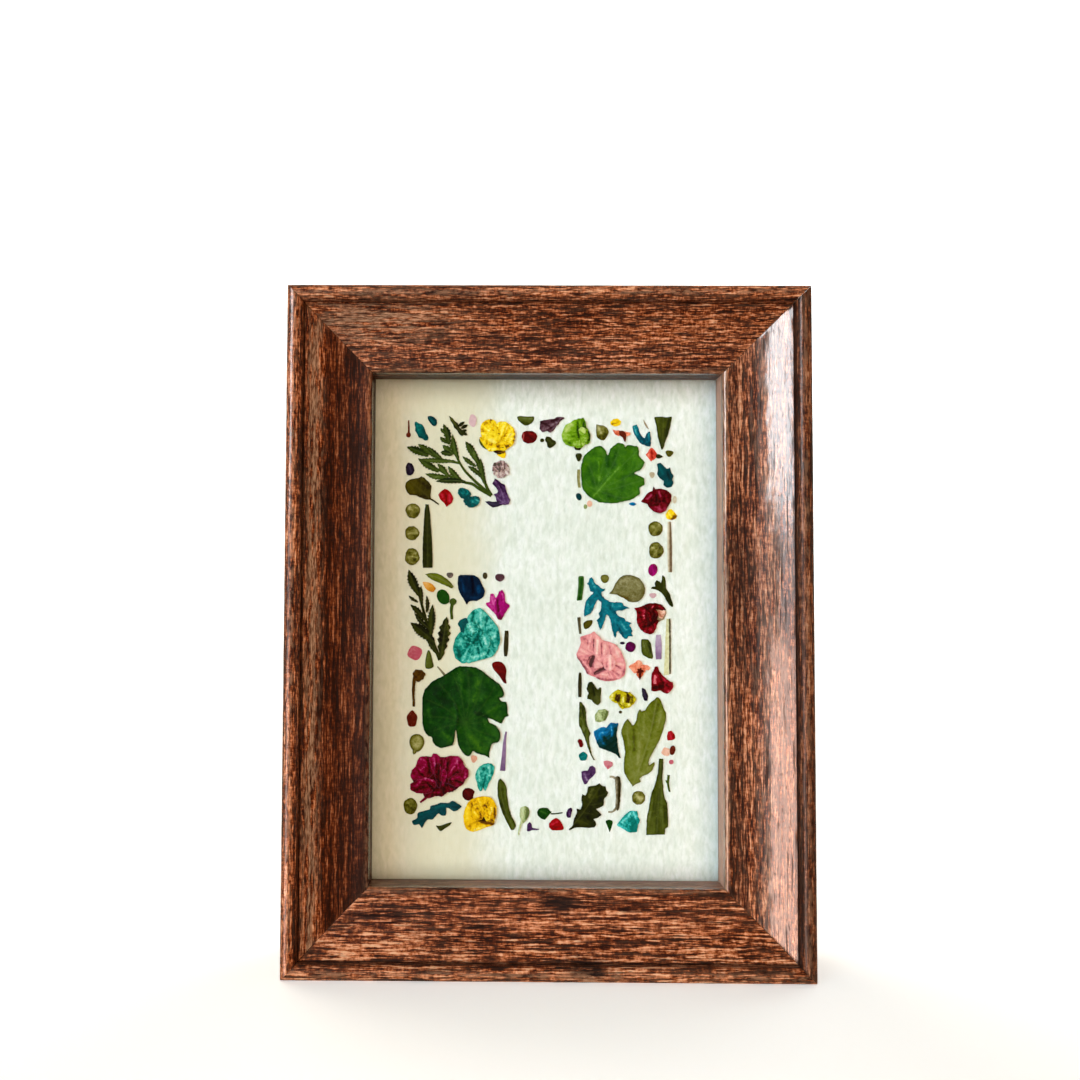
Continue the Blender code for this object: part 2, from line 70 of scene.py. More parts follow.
cam_data = bpy.data.cameras.new("camera")
cam = bpy.data.objects.new("camera", cam_data)
scene.collection.objects.link(cam)
turn = Matrix((RIGHT, UP, -FWD)).transposed().to_4x4()
cam.matrix_world = Matrix.Translation(Vector((CAM[0], CAM[1], CAM[2] + MID_Z)) / 1000) @ turn
cam_data.sensor_width = 36.0
cam_data.lens = FOCAL / 1080 * 36
cam_data.shift_x, cam_data.shift_y = SHIFT
cam_data.clip_start, cam_data.clip_end = 0.005, 20.0
cam_data.dof.use_dof = False
scene.camera = cam


def lay(p):
    """Layout steps (right and down) to mm on the card: x, and z above the table.
    The glass makes the card look about 0.6 mm nearer."""
    p = np.asarray(p, float)
    a = (p[..., 0] - 540 + 1080 * SHIFT[0]) / FOCAL
    b = (540 + 1080 * SHIFT[1] - p[..., 1]) / FOCAL
    d = [FWD[k] + a * RIGHT[k] + b * UP[k] for k in range(3)]
    t = (CARD_Y - 0.6 - CAM[1]) / d[1]
    return np.stack([CAM[0] + t * d[0], CAM[2] + MID_Z + t * d[2]], -1)


# ---------------------------------------------------------------------------- noise
def _hash(ix, iy, seed):
    m = np.int64(0xFFFFFFFF)
    h = (ix * np.int64(374761393) + iy * np.int64(668265263) + np.int64(seed * 974634777 % 4294967291)) & m
    h = ((h ^ (h >> 13)) * np.int64(1274126177)) & m
    h = ((h ^ (h >> 16)) * np.int64(2246822519 & 0x7FFFFFFF)) & m
    return (h ^ (h >> 15)) / 4294967295.0


def noise(x, y, seed=0):
    """Smooth noise, about -1 to 1, one bump for each unit."""
    x, y = np.broadcast_arrays(np.asarray(x, float), np.asarray(y, float))
    ix, iy = np.floor(x).astype(np.int64), np.floor(y).astype(np.int64)
    fx, fy = x - ix, y - iy
    u, v = fx * fx * fx * (fx * (fx * 6 - 15) + 10), fy * fy * fy * (fy * (fy * 6 - 15) + 10)

    def g(dx, dy):
        a = _hash(ix + dx, iy + dy, seed) * 2 * np.pi
        return np.cos(a) * (fx - dx) + np.sin(a) * (fy - dy)
    top = g(0, 0) * (1 - u) + g(1, 0) * u
    low = g(0, 1) * (1 - u) + g(1, 1) * u
    return 1.5 * (top * (1 - v) + low * v)


def fbm(x, y, seed=0, octaves=4, gain=0.5):
    total, amp, norm = 0.0, 1.0, 0.0
    for k in range(octaves):
        total = total + amp * noise(x * 2 ** k + 17.3 * k, y * 2 ** k - 9.1 * k, seed + 31 * k)
        norm += amp
        amp *= gain
    return total / norm


def folds(x, y, seed=0, octaves=3):
    """Sharp creases at 1, round hollows between them at 0."""
    total, amp, norm = 0.0, 1.0, 0.0
    for k in range(octaves):
        r = 1 - np.minimum(np.abs(noise(x * 2 ** k, y * 2 ** k, seed + 57 * k)) * 1.6, 1)
        total = total + amp * r * r
        norm += amp
        amp *= 0.5
    return total / norm


# ------------------------------------------------------------------ node shorthand
def lin(c):
    """sRGB 0-255 to a linear colour."""
    out = [((v / 255 + 0.055) / 1.055) ** 2.4 if v > 10.3 else v / 255 / 12.92 for v in c[:3]]
    return (*out, 1.0)


class Shader:
    """A material under construction."""

    def __init__(self, name):
        self.mat = bpy.data.materials.new(name)
        self.mat.use_nodes = True
        self.t = self.mat.node_tree
        self.p = self.t.nodes["Principled BSDF"]

    def n(self, kind, ins=None, **props):
        node = self.t.nodes.new(kind)
        for k, v in props.items():
            setattr(node, k, v)
        for k, v in (ins or {}).items():
            if isinstance(v, bpy.types.NodeSocket):
                self.t.links.new(v, node.inputs[k])
            else:
                node.inputs[k].default_value = v
        return node

    def math(self, op, a, b=0.0, c=0.0, clamp=False):
        return self.n("ShaderNodeMath", {0: a, 1: b, 2: c}, operation=op, use_clamp=clamp).outputs[0]

    def attr(self, name, vector=False):
        return self.n("ShaderNodeAttribute", attribute_name=name).outputs["Vector" if vector else "Fac"]

    def mm(self):
        """Object coordinates in mm."""
        co = self.n("ShaderNodeTexCoord").outputs["Object"]
        return self.n("ShaderNodeMapping", {"Vector": co, "Scale": (1000, 1000, 1000)}).outputs[0]

    def scaled(self, vec, scale, shift=(0, 0, 0)):
        return self.n("ShaderNodeMapping", {"Vector": vec, "Scale": scale, "Location": shift}).outputs[0]

    def noise(self, vec, scale=1.0, detail=3.0, rough=0.5, warp=0.0):
        return self.n("ShaderNodeTexNoise", {"Vector": vec, "Scale": scale, "Detail": detail,
                                             "Roughness": rough, "Distortion": warp}).outputs["Fac"]

    def span(self, v, lo, hi, a=0.0, b=1.0, smooth=True):
        return self.n("ShaderNodeMapRange", {"Value": v, "From Min": lo, "From Max": hi, "To Min": a, "To Max": b},
                      interpolation_type="SMOOTHSTEP" if smooth else "LINEAR").outputs[0]

    def ramp(self, v, stops, ease=False):
        node = self.n("ShaderNodeValToRGB", {"Fac": v})
        r = node.color_ramp
        if ease:
            r.interpolation = "EASE"
        while len(r.elements) > 1:
            r.elements.remove(r.elements[-1])
        r.elements[0].position, r.elements[0].color = stops[0][0], lin(stops[0][1])
        for pos, col in stops[1:]:
            r.elements.new(pos).color = lin(col)
        return node.outputs["Color"]

    def mix(self, fac, a, b, blend="MIX"):
        node = self.n("ShaderNodeMix", data_type="RGBA", blend_type=blend, clamp_factor=True)
        for k, v in ((0, fac), (6, a), (7, b)):
            if isinstance(v, bpy.types.NodeSocket):
                self.t.links.new(v, node.inputs[k])
            else:
                node.inputs[k].default_value = v if k == 0 else (lin(v) if len(v) == 3 else v)
        return node.outputs[2]

    def bump(self, height, distance, strength=1.0, under=None):
        ins = {"Height": height, "Distance": distance, "Strength": strength}
        if under is not None:
            ins["Normal"] = under
        return self.n("ShaderNodeBump", ins).outputs[0]

    def set(self, **ins):
        for k, v in ins.items():
            key = {"color": "Base Color", "rough": "Roughness", "normal": "Normal", "metal": "Metallic",
                   "coat": "Coat Weight", "coat_rough": "Coat Roughness", "sheen": "Sheen Weight",
                   "sheen_rough": "Sheen Roughness", "trans": "Transmission Weight", "ior": "IOR",
                   "spec": "Specular IOR Level", "coat_ior": "Coat IOR"}[k]
            s = self.p.inputs[key]
            if isinstance(v, bpy.types.NodeSocket):
                self.t.links.new(v, s)
            else:
                s.default_value = v
        return self


# -------------------------------------------------------------------- mesh shorthand
def build(name, verts, faces, mats, attrs=None, vectors=None, face_mat=None, smooth=40.0):
    """Mesh object from points in mm. attrs are floats, and vectors triples, for each point."""
    mesh = bpy.data.meshes.new(name)
    mesh.from_pydata((np.asarray(verts, float) / 1000).tolist(), [], faces)
    for m in mats:
        mesh.materials.append(m)
    for key, vals in (attrs or {}).items():
        mesh.attributes.new(key, "FLOAT", "POINT").data.foreach_set("value", np.asarray(vals, np.float32).ravel())
    for key, vals in (vectors or {}).items():
        mesh.attributes.new(key, "FLOAT_VECTOR", "POINT").data.foreach_set(
            "vector", np.asarray(vals, np.float32).ravel())
    if face_mat is not None:
        mesh.polygons.foreach_set("material_index", np.asarray(face_mat, np.int32))
    mesh.validate()
    mesh.shade_smooth()
    if smooth < 180:
        mesh.set_sharp_from_angle(angle=math.radians(smooth))
    mesh.update()
    obj = bpy.data.objects.new(name, mesh)
    scene.collection.objects.link(obj)
    return obj


def own(obj, slot, *nodes):
    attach(obj, "root")
    if nodes:
        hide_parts(*nodes)
    return obj


# ------------------------------------------------------------------------------ wood
def wood_material():
    s = Shader("streaked_wood")
    g = s.attr("grain", True)
    busy = s.attr("busy")
    broad = s.noise(s.scaled(g, (0.045, 0.42, 1)), 1, 3, 0.55)
    lines = s.noise(s.scaled(g, (0.11, 2.3, 1)), 1, 4, 0.6, 0.15)
    body = s.noise(s.scaled(g, (0.33, 2.9, 1), (31, 5, 2)), 1, 4, 0.62, 0.15)
    short = s.noise(s.scaled(g, (0.78, 4.4, 1), (11, 45, 6)), 1, 3, 0.6, 0.1)
    cross = s.noise(s.scaled(g, (2.7, 1.0, 1), (5, -3, 8)), 1, 3, 0.6)
    fine = s.noise(s.scaled(g, (0.9, 7.5, 1), (3, 7, 1)), 1, 3, 0.6)
    lively = s.math("MULTIPLY_ADD", busy, 0.95, 0.30)
    tone = s.math("MULTIPLY", s.math("MULTIPLY_ADD", body, 1.7, -0.85), lively)
    tone = s.math("ADD", tone, s.math("MULTIPLY", s.math("MULTIPLY_ADD", short, 1.5, -0.75), lively))
    tone = s.math("ADD", tone, s.math("MULTIPLY", s.math("MULTIPLY_ADD", cross, 0.8, -0.40), lively))
    tone = s.math("ADD", tone, s.math("MULTIPLY_ADD", lines, 1.1, -0.55))
    tone = s.math("ADD", tone, s.math("MULTIPLY_ADD", broad, 0.7, -0.35))
    tone = s.math("ADD", tone, s.math("MULTIPLY_ADD", fine, 0.3, -0.15))
    tone = s.math("ADD", tone, s.math("MULTIPLY_ADD", busy, 0.16, 0.36))
    col = s.ramp(tone, [(0.10, (34, 8, 0)), (0.32, (55, 17, 0)), (0.45, (95, 36, 7)), (0.56, (140, 65, 26)),
                        (0.68, (194, 108, 64)), (0.82, (224, 144, 102)), (1.0, (238, 178, 138))])
    crack = s.noise(s.scaled(g, (0.15, 3.3, 1), (-14, 9, 4)), 1, 4, 0.6, 0.2)
    cracks = s.span(crack, 0.415, 0.35)
    col = s.mix(s.math("MULTIPLY", cracks, 0.92), col, (34, 10, 2))
    tick = s.noise(s.scaled(g, (1.3, 6.5, 1), (5, -3, 8)), 1, 2, 0.5)
    ticks = s.span(tick, 0.38, 0.30)
    col = s.mix(s.math("MULTIPLY", ticks, 0.7), col, (36, 12, 4))
    smear = s.noise(s.scaled(g, (0.16, 1.3, 1), (9, 1, 3)), 1, 4, 0.62)
    # tan smear by the mauve mask: a faint streak in the wood, and on the left cove and on the right rail near the bead
    # and on its lip wall a painted reflection of the room's light
    tan = s.math("MULTIPLY", s.attr("mauve"), s.span(smear, 0.40, 0.56))
    col = s.mix(tan, col, s.mix(s.span(short, 0.40, 0.60), (116, 74, 52), (186, 142, 112)))
    knot = s.math("MULTIPLY", s.attr("knot"), s.span(s.noise(s.scaled(g, (1.1, 2.6, 1)), 1, 4, 0.65), 0.26, 0.50))
    col = s.mix(s.math("MULTIPLY", knot, 0.9), col, (26, 13, 9))
    # lighter worn crests on the bead and the sight edge; the lighter mitres are a painted highlight and the lighter lip
    # walls of the bottom and right rails painted light
    worn_or_lit = s.math("MULTIPLY", s.attr("wear_and_lip_light"), s.span(s.noise(s.scaled(g, (0.5, 1.2, 1), (7, 7, 7)), 1, 5, 0.7), 0.42, 0.6))
    col = s.mix(s.math("MULTIPLY", worn_or_lit, 0.8), col, (214, 150, 112))
    # painted light: the lip walls of the bottom and right rails made paler where they face the light
    col = s.mix(s.math("MULTIPLY", s.attr("pale"), s.span(fine, 0.25, 0.7, 0.6, 1.0)), col, (238, 180, 152))
    # painted shade: the shade mask darkens the groove beside the bead, the corner at the ledge, the top lip wall, part
    # of the bottom lip wall and the left slope, and on the right rail a band near the lip, the bead and a patch that
    # stands for a dark reflection
    col = s.mix(s.attr("shade"), col, (30, 10, 3), "MIX")
    # unfinished wood at the back and in the rebate
    raw_n = s.noise(s.scaled(g, (0.09, 1.6, 1), (2, 2, 9)), 1, 6, 0.62, 0.3)
    raw = s.ramp(raw_n, [(0.25, (120, 84, 52)), (0.45, (168, 128, 86)), (0.62, (196, 158, 112)), (0.8, (212, 178, 134))])
    fray = s.math("ADD", s.attr("raw"), s.math("MULTIPLY_ADD", fine, 0.5, -0.25))
    is_raw = s.span(fray, 0.42, 0.58)
    col = s.mix(is_raw, col, raw)
    rough = s.math("ADD", s.math("MULTIPLY_ADD", fine, 0.22, 0.42), s.math("MULTIPLY", cracks, 0.25))
    rough = s.math("ADD", rough, s.math("MULTIPLY", is_raw, 0.30), clamp=True)
    h = s.math("SUBTRACT", s.math("MULTIPLY", body, 0.5), s.math("MULTIPLY", cracks, 0.9))
    h = s.math("ADD", h, s.math("MULTIPLY", short, 0.55))
    h = s.math("SUBTRACT", h, s.math("MULTIPLY", ticks, 0.5))
    coat = s.math("MULTIPLY", s.math("SUBTRACT", 1.0, is_raw), s.math("MULTIPLY_ADD", s.math("MAXIMUM", cracks, ticks), -0.75, 1.0),
                  clamp=True)
    coat = s.math("MULTIPLY", coat, s.math("MULTIPLY_ADD", s.attr("matt"), -0.85, 1.0))
    s.set(color=col, rough=rough, normal=s.bump(h, 0.00010, 0.9), coat=coat, coat_rough=0.13, coat_ior=1.5, spec=0.12)
    return s.mat


def moulding_profile():
    """Outline of the moulding in mm: u inward, v forward; the comments below name its parts."""
    pts = [(0.5, 0.0), (0.15, 0.12), (0.0, 0.5)]
    c = DEPTH - BEAD_R
    pts += [(0.0, v) for v in np.linspace(1.5, c - 1.0, 16)]
    for a in np.linspace(math.pi, 0.0, 21):                      # outer bead
        pts.append((BEAD_R + BEAD_R * math.cos(a), c + BEAD_R * math.sin(a)))
    u0, v0 = 2 * BEAD_R + 0.2, c - 0.7
    pts += [(2.52, c - 0.34), (2.56, c - 0.62), (2.63, c - 0.76)]  # quirk beside the bead
    u1, v1 = RAIL_W - 0.9, SIGHT_V
    for s in np.linspace(0.0, 1.0, 40):                          # scoop
        pts.append((u0 + (u1 - u0) * s, v1 + (v0 - v1) * (1 - s) ** 2.1))
    for a in np.linspace(80, 0, 8)[0:]:                          # rounded sight edge
        t = math.radians(a)
        pts.append((RAIL_W - 0.62 + 0.62 * math.cos(t), SIGHT_V - 0.62 + 0.62 * math.sin(t)))
    pts += [(RAIL_W, v) for v in np.linspace(SIGHT_V - 1.2, LEDGE_V + 0.1, 9)]
    pts += [(RAIL_W - 0.1, LEDGE_V), (RAIL_W - 2, LEDGE_V), (REBATE_U + 0.1, LEDGE_V), (REBATE_U, LEDGE_V - 0.1)]
    pts += [(REBATE_U, v) for v in np.linspace(LEDGE_V - 1.2, 0.5, 6)]
    pts += [(REBATE_U - 0.12, 0.12), (REBATE_U - 0.45, 0.0), (7.0, 0.0), (5.0, 0.0), (3.2, 0.0), (2.2, 0.0), (1.3, 0.0)]
    return np.array(pts)


PROFILE = moulding_profile()


def rail(name, node, length, place, angle, seed, busy, mauve, knots, wood, painted_shade=lambda x, u: 0 * x * u, groove_shade=0.85, lip=0.0, draw=1.0, dull=0.55):
    """One mitred stick. knots: (along, across from the outside face, long, wide, strength)."""
    half = length / 2 - 0.035
    prof = PROFILE
    m = len(prof)
    arc = np.concatenate([[0], np.cumsum(np.hypot(*np.diff(prof, axis=0).T))])
    nxt, prv = np.roll(prof, -1, 0), np.roll(prof, 1, 0)
    tan = nxt - prv
    tan /= np.hypot(tan[:, 0], tan[:, 1])[:, None]
    nor = np.stack([-tan[:, 1], tan[:, 0]], 1)                   # outward in u, v
    k = int(length / 0.42)
    t = np.linspace(-1, 1, k)
    t = np.concatenate([[-1, -1 + 0.0012], t[1:-1], [1 - 0.0012, 1]])
    x = t[:, None] * (half - prof[None, :, 0])
    a = np.broadcast_to(arc[None, :], x.shape)
    face = np.clip((prof[:, 1] - 13.6) / 0.8, 0, 1)[None, :]      # the moulded face only
    d = 0.022 * fbm(x / 9, a / 3.5, seed) + face * 0.030 * fbm(x / 3.2, a / 0.75, seed + 5, 3)
    d = d - 0.05 * np.clip(folds(x / 6.5, a / 1.1, seed + 9, 2) - 0.80, 0, 1) * face
    end = np.minimum(half - prof[None, :, 0] - np.abs(x), 0.35) / 0.35
    d = d - 0.018 * (1 - end) ** 2 * face                         # eased mitre edges
    for kx, ku, lx, lu, deep in knots:
        d = d - 0.05 * deep * np.exp(-((x - kx) / lx) ** 2 - ((prof[None, :, 0] - ku) / lu) ** 2) * face
    inner = (prof[:, 1] < LEDGE_V + 0.3) | (prof[:, 0] < 0.01)
    d = np.where(inner[None, :], np.minimum(d, 0) * 0.5, d)
    u = prof[None, :, 0] + d * nor[None, :, 0]
    v = prof[None, :, 1] + d * nor[None, :, 1]
    c, s = math.cos(angle), math.sin(angle)
    X, Y, Z = x * c + u * s + place[0], DEPTH / 2 - v, -x * s + u * c + place[1]
    verts = np.stack([X, Y, Z], -1).reshape(-1, 3)
    K = len(t)
    faces = []
    for i in range(K - 1):
        for j in range(m):
            j2 = (j + 1) % m
            faces.append((i * m + j, (i + 1) * m + j, (i + 1) * m + j2, i * m + j2))
    faces.append(tuple(range(m)))
    faces.append(tuple((K - 1) * m + j for j in range(m))[::-1])
    U = np.broadcast_to(prof[None, :, 0], x.shape)
    V = np.broadcast_to(prof[None, :, 1], x.shape)
    grain = np.stack([x * draw + 211.0 * seed, a, np.full_like(x, seed * 3.7)], -1).reshape(-1, 3)
    raw = ((V < LEDGE_V + 0.05) & (U > 1.1) | (V < 0.3) & (U > 0.9)).astype(float)
    raw = np.where((V < 0.05) & (U <= 1.4), 0.35, raw)
    crest = np.exp(-((U - BEAD_R) / 0.5) ** 2) * (V > 19) * 0.5 + np.exp(-((U - 12.7) / 0.28) ** 2) * (V > 13.2) * 0.5
    crest = crest + np.exp(-((np.hypot(U, V - 18.4)) / 0.5) ** 2) * 0.5
    # painted highlight along the mitres
    mitre = np.exp(-(half - U - np.abs(x)) / 0.35) * 0.12
    knot = np.zeros_like(x)
    for kx, ku, lx, lu, deep in knots:
        knot += deep * np.exp(-((x - kx) / lx) ** 2 - ((U - ku) / lu) ** 2) * (V > 13)
    calm = 1 - 0.85 * np.clip((13.9 - V) / 0.6, 0, 1) * (U > 12)    # the lip wall is plainer
    matt = np.clip((13.5 - V) / 0.5, 0, 1) * (U > 12)               # and hardly polished
    # painted shade in the groove beside the bead and in the corner at the ledge, carried into the shade mask
    quirk = np.exp(-((U - 2.62) / 0.16) ** 2) * (V > 17.5) + 0.8 * np.exp(-np.abs(V - LEDGE_V) / 0.8) * (U > 12.5)
    fields = {
        "busy": np.clip(busy(x, U) * calm, 0, 1),
        "mauve": np.clip(mauve(x, U), 0, 1),
        "wear_and_lip_light": np.clip(crest + mitre + lip * matt, 0, 1), "matt": np.clip(matt + dull * np.clip((2.75 - U) / 0.15, 0, 1) * (V > 15), 0, 1), "pale": np.clip(lip * matt * 0.65, 0, 1), "knot": np.clip(knot, 0, 1), "raw": raw,
        "shade": np.clip(quirk * groove_shade + painted_shade(x, U), 0, 0.95),
    }
    obj = build(name, verts, faces, [wood], {q: w.reshape(-1) for q, w in fields.items()},
                {"grain": grain}, smooth=35)
    bm = bmesh.new()
    bm.from_mesh(obj.data)
    bmesh.ops.recalc_face_normals(bm, faces=bm.faces)
    bm.to_mesh(obj.data)
    bm.free()
    return own(obj, "moulding", node)


WOOD = wood_material()


def bump1(v, c, w):
    return np.exp(-((v - c) / w) ** 2)


# top rail: painted shade on its lip wall, which faces down
rail("top_rail_wood", "rail_top", FRAME_W, (0, FRAME_H), math.pi, 3,
     lambda x, u: 0.72 + 0 * x * u, lambda x, u: 0.8 * bump1(x, 27, 10) * bump1(u, 5, 3) + 0.1 + 0 * u,
     [(13.5, 1.6, 3.0, 0.7, 0.9), (8.2, 7.4, 2.0, 0.8, 0.6), (-22, 9.5, 2.5, 0.6, 0.4)], WOOD, groove_shade=0.3,
     painted_shade=lambda x, u: 0.42 * np.clip((u - 11.9) / 0.6, 0, 1) + 0 * x)
# bottom rail: grain that calms on the slope makes it a little darker, painted shade; painted shade on the left part of
# the lip wall; lip lightens the lip wall, painted light
rail("bottom_rail_wood", "rail_bottom", FRAME_W, (0, 0), 0.0, 5,
     lambda x, u: 0.98 - 0.30 * np.clip((u - 5) / 3, 0, 1) + 0 * x, lambda x, u: 0.08 + 0 * x * u,
     [(1.8, 10.8, 2.3, 1.1, 2.0), (5.9, 1.8, 2.5, 1.2, 2.0), (-20, 6.5, 2.2, 0.6, 0.4), (24, 8, 2.0, 0.6, 0.4)], WOOD,
     painted_shade=lambda x, u: 0.35 * np.clip((u - 11.6) / 0.8, 0, 1) * np.clip((-x - 8) / 12, 0, 1), lip=0.45, draw=0.64)
# left rail: painted shade on the slope turned from the light, also by the calmer grain there; the mauve mask on the
# cove is a painted reflection
rail("left_rail_wood", "rail_left", FRAME_H, (-FRAME_W / 2, MID_Z), math.pi / 2, 7,
     lambda x, u: 0.62 - 0.42 * np.clip((u - 4.5) / 2, 0, 1) + 0 * x, lambda x, u: 0.95 * bump1(u, 4.1, 1.1) + 0 * x,
     [(12, 6.0, 3.0, 0.8, 0.5), (-30, 8.5, 3.5, 0.9, 0.5)], WOOD,
     painted_shade=lambda x, u: 0.42 * np.clip((u - 5) / 2.5, 0, 1) + 0 * x)
# right rail: the mauve mask near the bead and on the lip wall is a painted reflection, and lip lightens the lip wall,
# painted light; painted shade on a band near the lip and on the bead, and a dark patch for a reflection
rail("right_rail_wood", "rail_right", FRAME_H, (FRAME_W / 2, MID_Z), -math.pi / 2, 11,
     lambda x, u: 0.62 + 0 * x * u, lambda x, u: 0.12 + 0.35 * bump1(u, 5.5, 2.2) + 0.85 * np.clip((u - 12.2) / 0.4, 0, 1) + 0 * x,
     [(-14, 4.0, 1.5, 0.6, 0.5), (22, 7.5, 3.0, 0.7, 0.4)], WOOD,
     painted_shade=lambda x, u: 0.35 * bump1(u, 11.0, 1.2) + 0.5 * np.clip((2.7 - u) / 0.4, 0, 1)
     + 0.45 * bump1(x, 8.5, 8.0) * bump1(u, 9.5, 3.5) + 0 * x, lip=1.1, draw=0.85, dull=0.95)


# ----------------------------------------------------------------------------- paper
def paper_material():
    s = Shader("cold_press_paper")
    co = s.mm()
    wide = s.noise(co, 0.09, 3, 0.5)
    tooth = s.noise(s.scaled(co, (1.5, 1.0, 0.62)), 1, 4, 0.6)
    fine = s.noise(s.scaled(co, (4.4, 1.0, 2.6)), 1, 3, 0.6)
    fibre = s.noise(s.scaled(co, (1.2, 1.0, 5.0)), 1, 3, 0.7, 0.6)
    drift = s.noise(s.scaled(co, (1.15, 1.0, 0.42), (3, 0, 8)), 1, 3, 0.6, 0.3)
    col = s.ramp(s.math("ADD", s.math("MULTIPLY", wide, 0.35), s.math("MULTIPLY", drift, 0.65)),
                 [(0.34, (227, 233, 222)), (0.48, (240, 244, 236)), (0.62, (251, 252, 249))])
    # painted shade: the hollows of the paper's tooth made darker
    col = s.mix(s.span(tooth, 0.30, 0.58, 0.45, 0.0), col, (206, 213, 200))
    x = s.n("ShaderNodeSeparateXYZ", {"Vector": co}).outputs["X"]
    x = s.math("ADD", x, s.math("MULTIPLY_ADD", wide, 7.0, -3.5))
    # painted shade: a warm cream band along the left side, where the left rail shades the card
    painted_left_shade = s.math("MULTIPLY", s.span(x, -15.5, -5.0, 1.0, 0.0), s.span(x, -27.0, -19.0, 0.35, 1.0))
    col = s.mix(s.math("MULTIPLY", painted_left_shade, 0.85), col, (227, 218, 187))
    # painted shade: the fine hollows made darker
    col = s.mix(s.span(fine, 0.30, 0.50, 0.25, 0.0), col, (214, 218, 208))
    col = s.mix(s.span(fibre, 0.66, 0.8, 0.0, 0.25), col, (208, 208, 192))
    h = s.math("ADD", s.math("MULTIPLY", tooth, 0.75), s.math("MULTIPLY", fine, 0.35))
    h = s.math("ADD", h, s.math("MULTIPLY", s.noise(co, 9, 3, 0.6), 0.15))
    s.set(color=col, rough=s.span(tooth, 0.3, 0.7, 0.95, 0.85), normal=s.bump(h, 0.00012, 0.6), spec=0.05)
    return s.mat


def paper():
    nx, nz = 216, 302
    x = np.linspace(-PANE_W / 2, PANE_W / 2, nx)
    z = np.linspace(-PANE_H / 2, PANE_H / 2, nz)
    X, Z = np.meshgrid(x, z)
    relief = 0.070 * fbm(X / 0.72, Z / 1.8, 41, 3) + 0.045 * fbm(X / 2.6, Z / 3.8, 43, 2)
    relief = relief - 0.050 * folds(X / 0.9, Z / 2.3, 47, 2)
    relief = np.clip(relief, -0.14, 0.03)
    edge = np.minimum(np.minimum(X + PANE_W / 2, PANE_W / 2 - X), np.minimum(Z + PANE_H / 2, PANE_H / 2 - Z))
    relief = relief - 0.06 * np.exp(-edge / 0.15)
    n = nx * nz
    front = np.stack([X, CARD_Y - relief, Z + MID_Z], -1).reshape(-1, 3)
    verts = [front]
    ring = ([(0, i) for i in range(nx)] + [(j, nx - 1) for j in range(1, nz)]
            + [(nz - 1, i) for i in range(nx - 2, -1, -1)] + [(j, 0) for j in range(nz - 2, 0, -1)])
    back = np.array([[X[j, i], CARD_Y + CARD_T, Z[j, i] + MID_Z] for j, i in ring])
    verts.append(back)
    faces = []
    for j in range(nz - 1):
        for i in range(nx - 1):
            a = j * nx + i
            faces.append((a, a + 1, a + nx + 1, a + nx))
    r = len(ring)
    ids = [j * nx + i for j, i in ring]
    for k in range(r):
        k2 = (k + 1) % r
        faces.append((ids[k2], ids[k], n + k, n + k2))
    faces.append(tuple(n + k for k in range(r))[::-1])
    return build("watercolour_paper", np.concatenate(verts), faces, [paper_material()], smooth=50)


own(paper(), "card", "art_card")


# ----------------------------------------------------------------------------- glass
def glass_material():
    s = Shader("picture_glass")
    co = s.mm()
    smear = s.noise(s.scaled(co, (0.05, 1, 0.12)), 1, 5, 0.6, 0.8)
    # low-reflection picture glass
    s.set(color=(0.941, 0.950, 0.945, 1.0), rough=s.span(smear, 0.45, 0.75, 0.0, 0.035), trans=1.0, ior=1.27)
    return s.mat


def rounded_slab(name, w, h, y0, t, r, mats, steps=4, corner=0.6):
    """Pane with small round arrises: an outline ring repeated through the thickness."""
    def ring(inset, y):
        pts = []
        cx, cz = w / 2 - corner, h / 2 - corner
        for sx, sz, a0 in ((1, 1, 0), (-1, 1, 90), (-1, -1, 180), (1, -1, 270)):
            for a in np.linspace(a0, a0 + 90, 7):
                q = math.radians(a)
                pts.append((sx * cx + (corner - inset) * math.cos(q), y, sz * cz + MID_Z + (corner - inset) * math.sin(q)))
        return pts
    rings = []
    for k in range(steps + 1):
        a = math.pi / 2 * k / steps
        rings.append(ring(r * (1 - math.sin(a)), y0 + r * (1 - math.cos(a))))
    for k in range(steps + 1):
        a = math.pi / 2 * k / steps
        rings.append(ring(r * (1 - math.cos(a)), y0 + t - r * (1 - math.sin(a))))
    m = len(rings[0])
    verts = [p for q in rings for p in q]
    faces = [tuple(range(m)), tuple((len(rings) - 1) * m + i for i in range(m))[::-1]]
    for k in range(len(rings) - 1):
        for i in range(m):
            j = (i + 1) % m
            faces.append((k * m + j, k * m + i, (k + 1) * m + i, (k + 1) * m + j))
    return build(name, verts, faces, mats, smooth=50)


glass = rounded_slab("glass_sheet", PANE_W, PANE_H, GLASS_Y, GLASS_T, 0.12, [glass_material()])
glass.visible_shadow = False
glass.visible_diffuse = False
own(glass, "glass", "glass_pane")


# ------------------------------------------------------------------- pressed plants
def deepen(c):
    """Colour a little darker and warmer, to make up for the haze of the glass."""
    out = []
    for v, k in zip(c, (0.005, 0.006, 0.012)):
        x = max(((v / 255 + 0.055) / 1.055) ** 2.4 if v > 10 else v / 255 / 12.92, 0.0)
        x = max(x - k * (1 - x), 0.0004)
        out.append(255 * (1.055 * x ** (1 / 2.4) - 0.055 if x > 0.0031308 else 12.92 * x))
    return tuple(out)


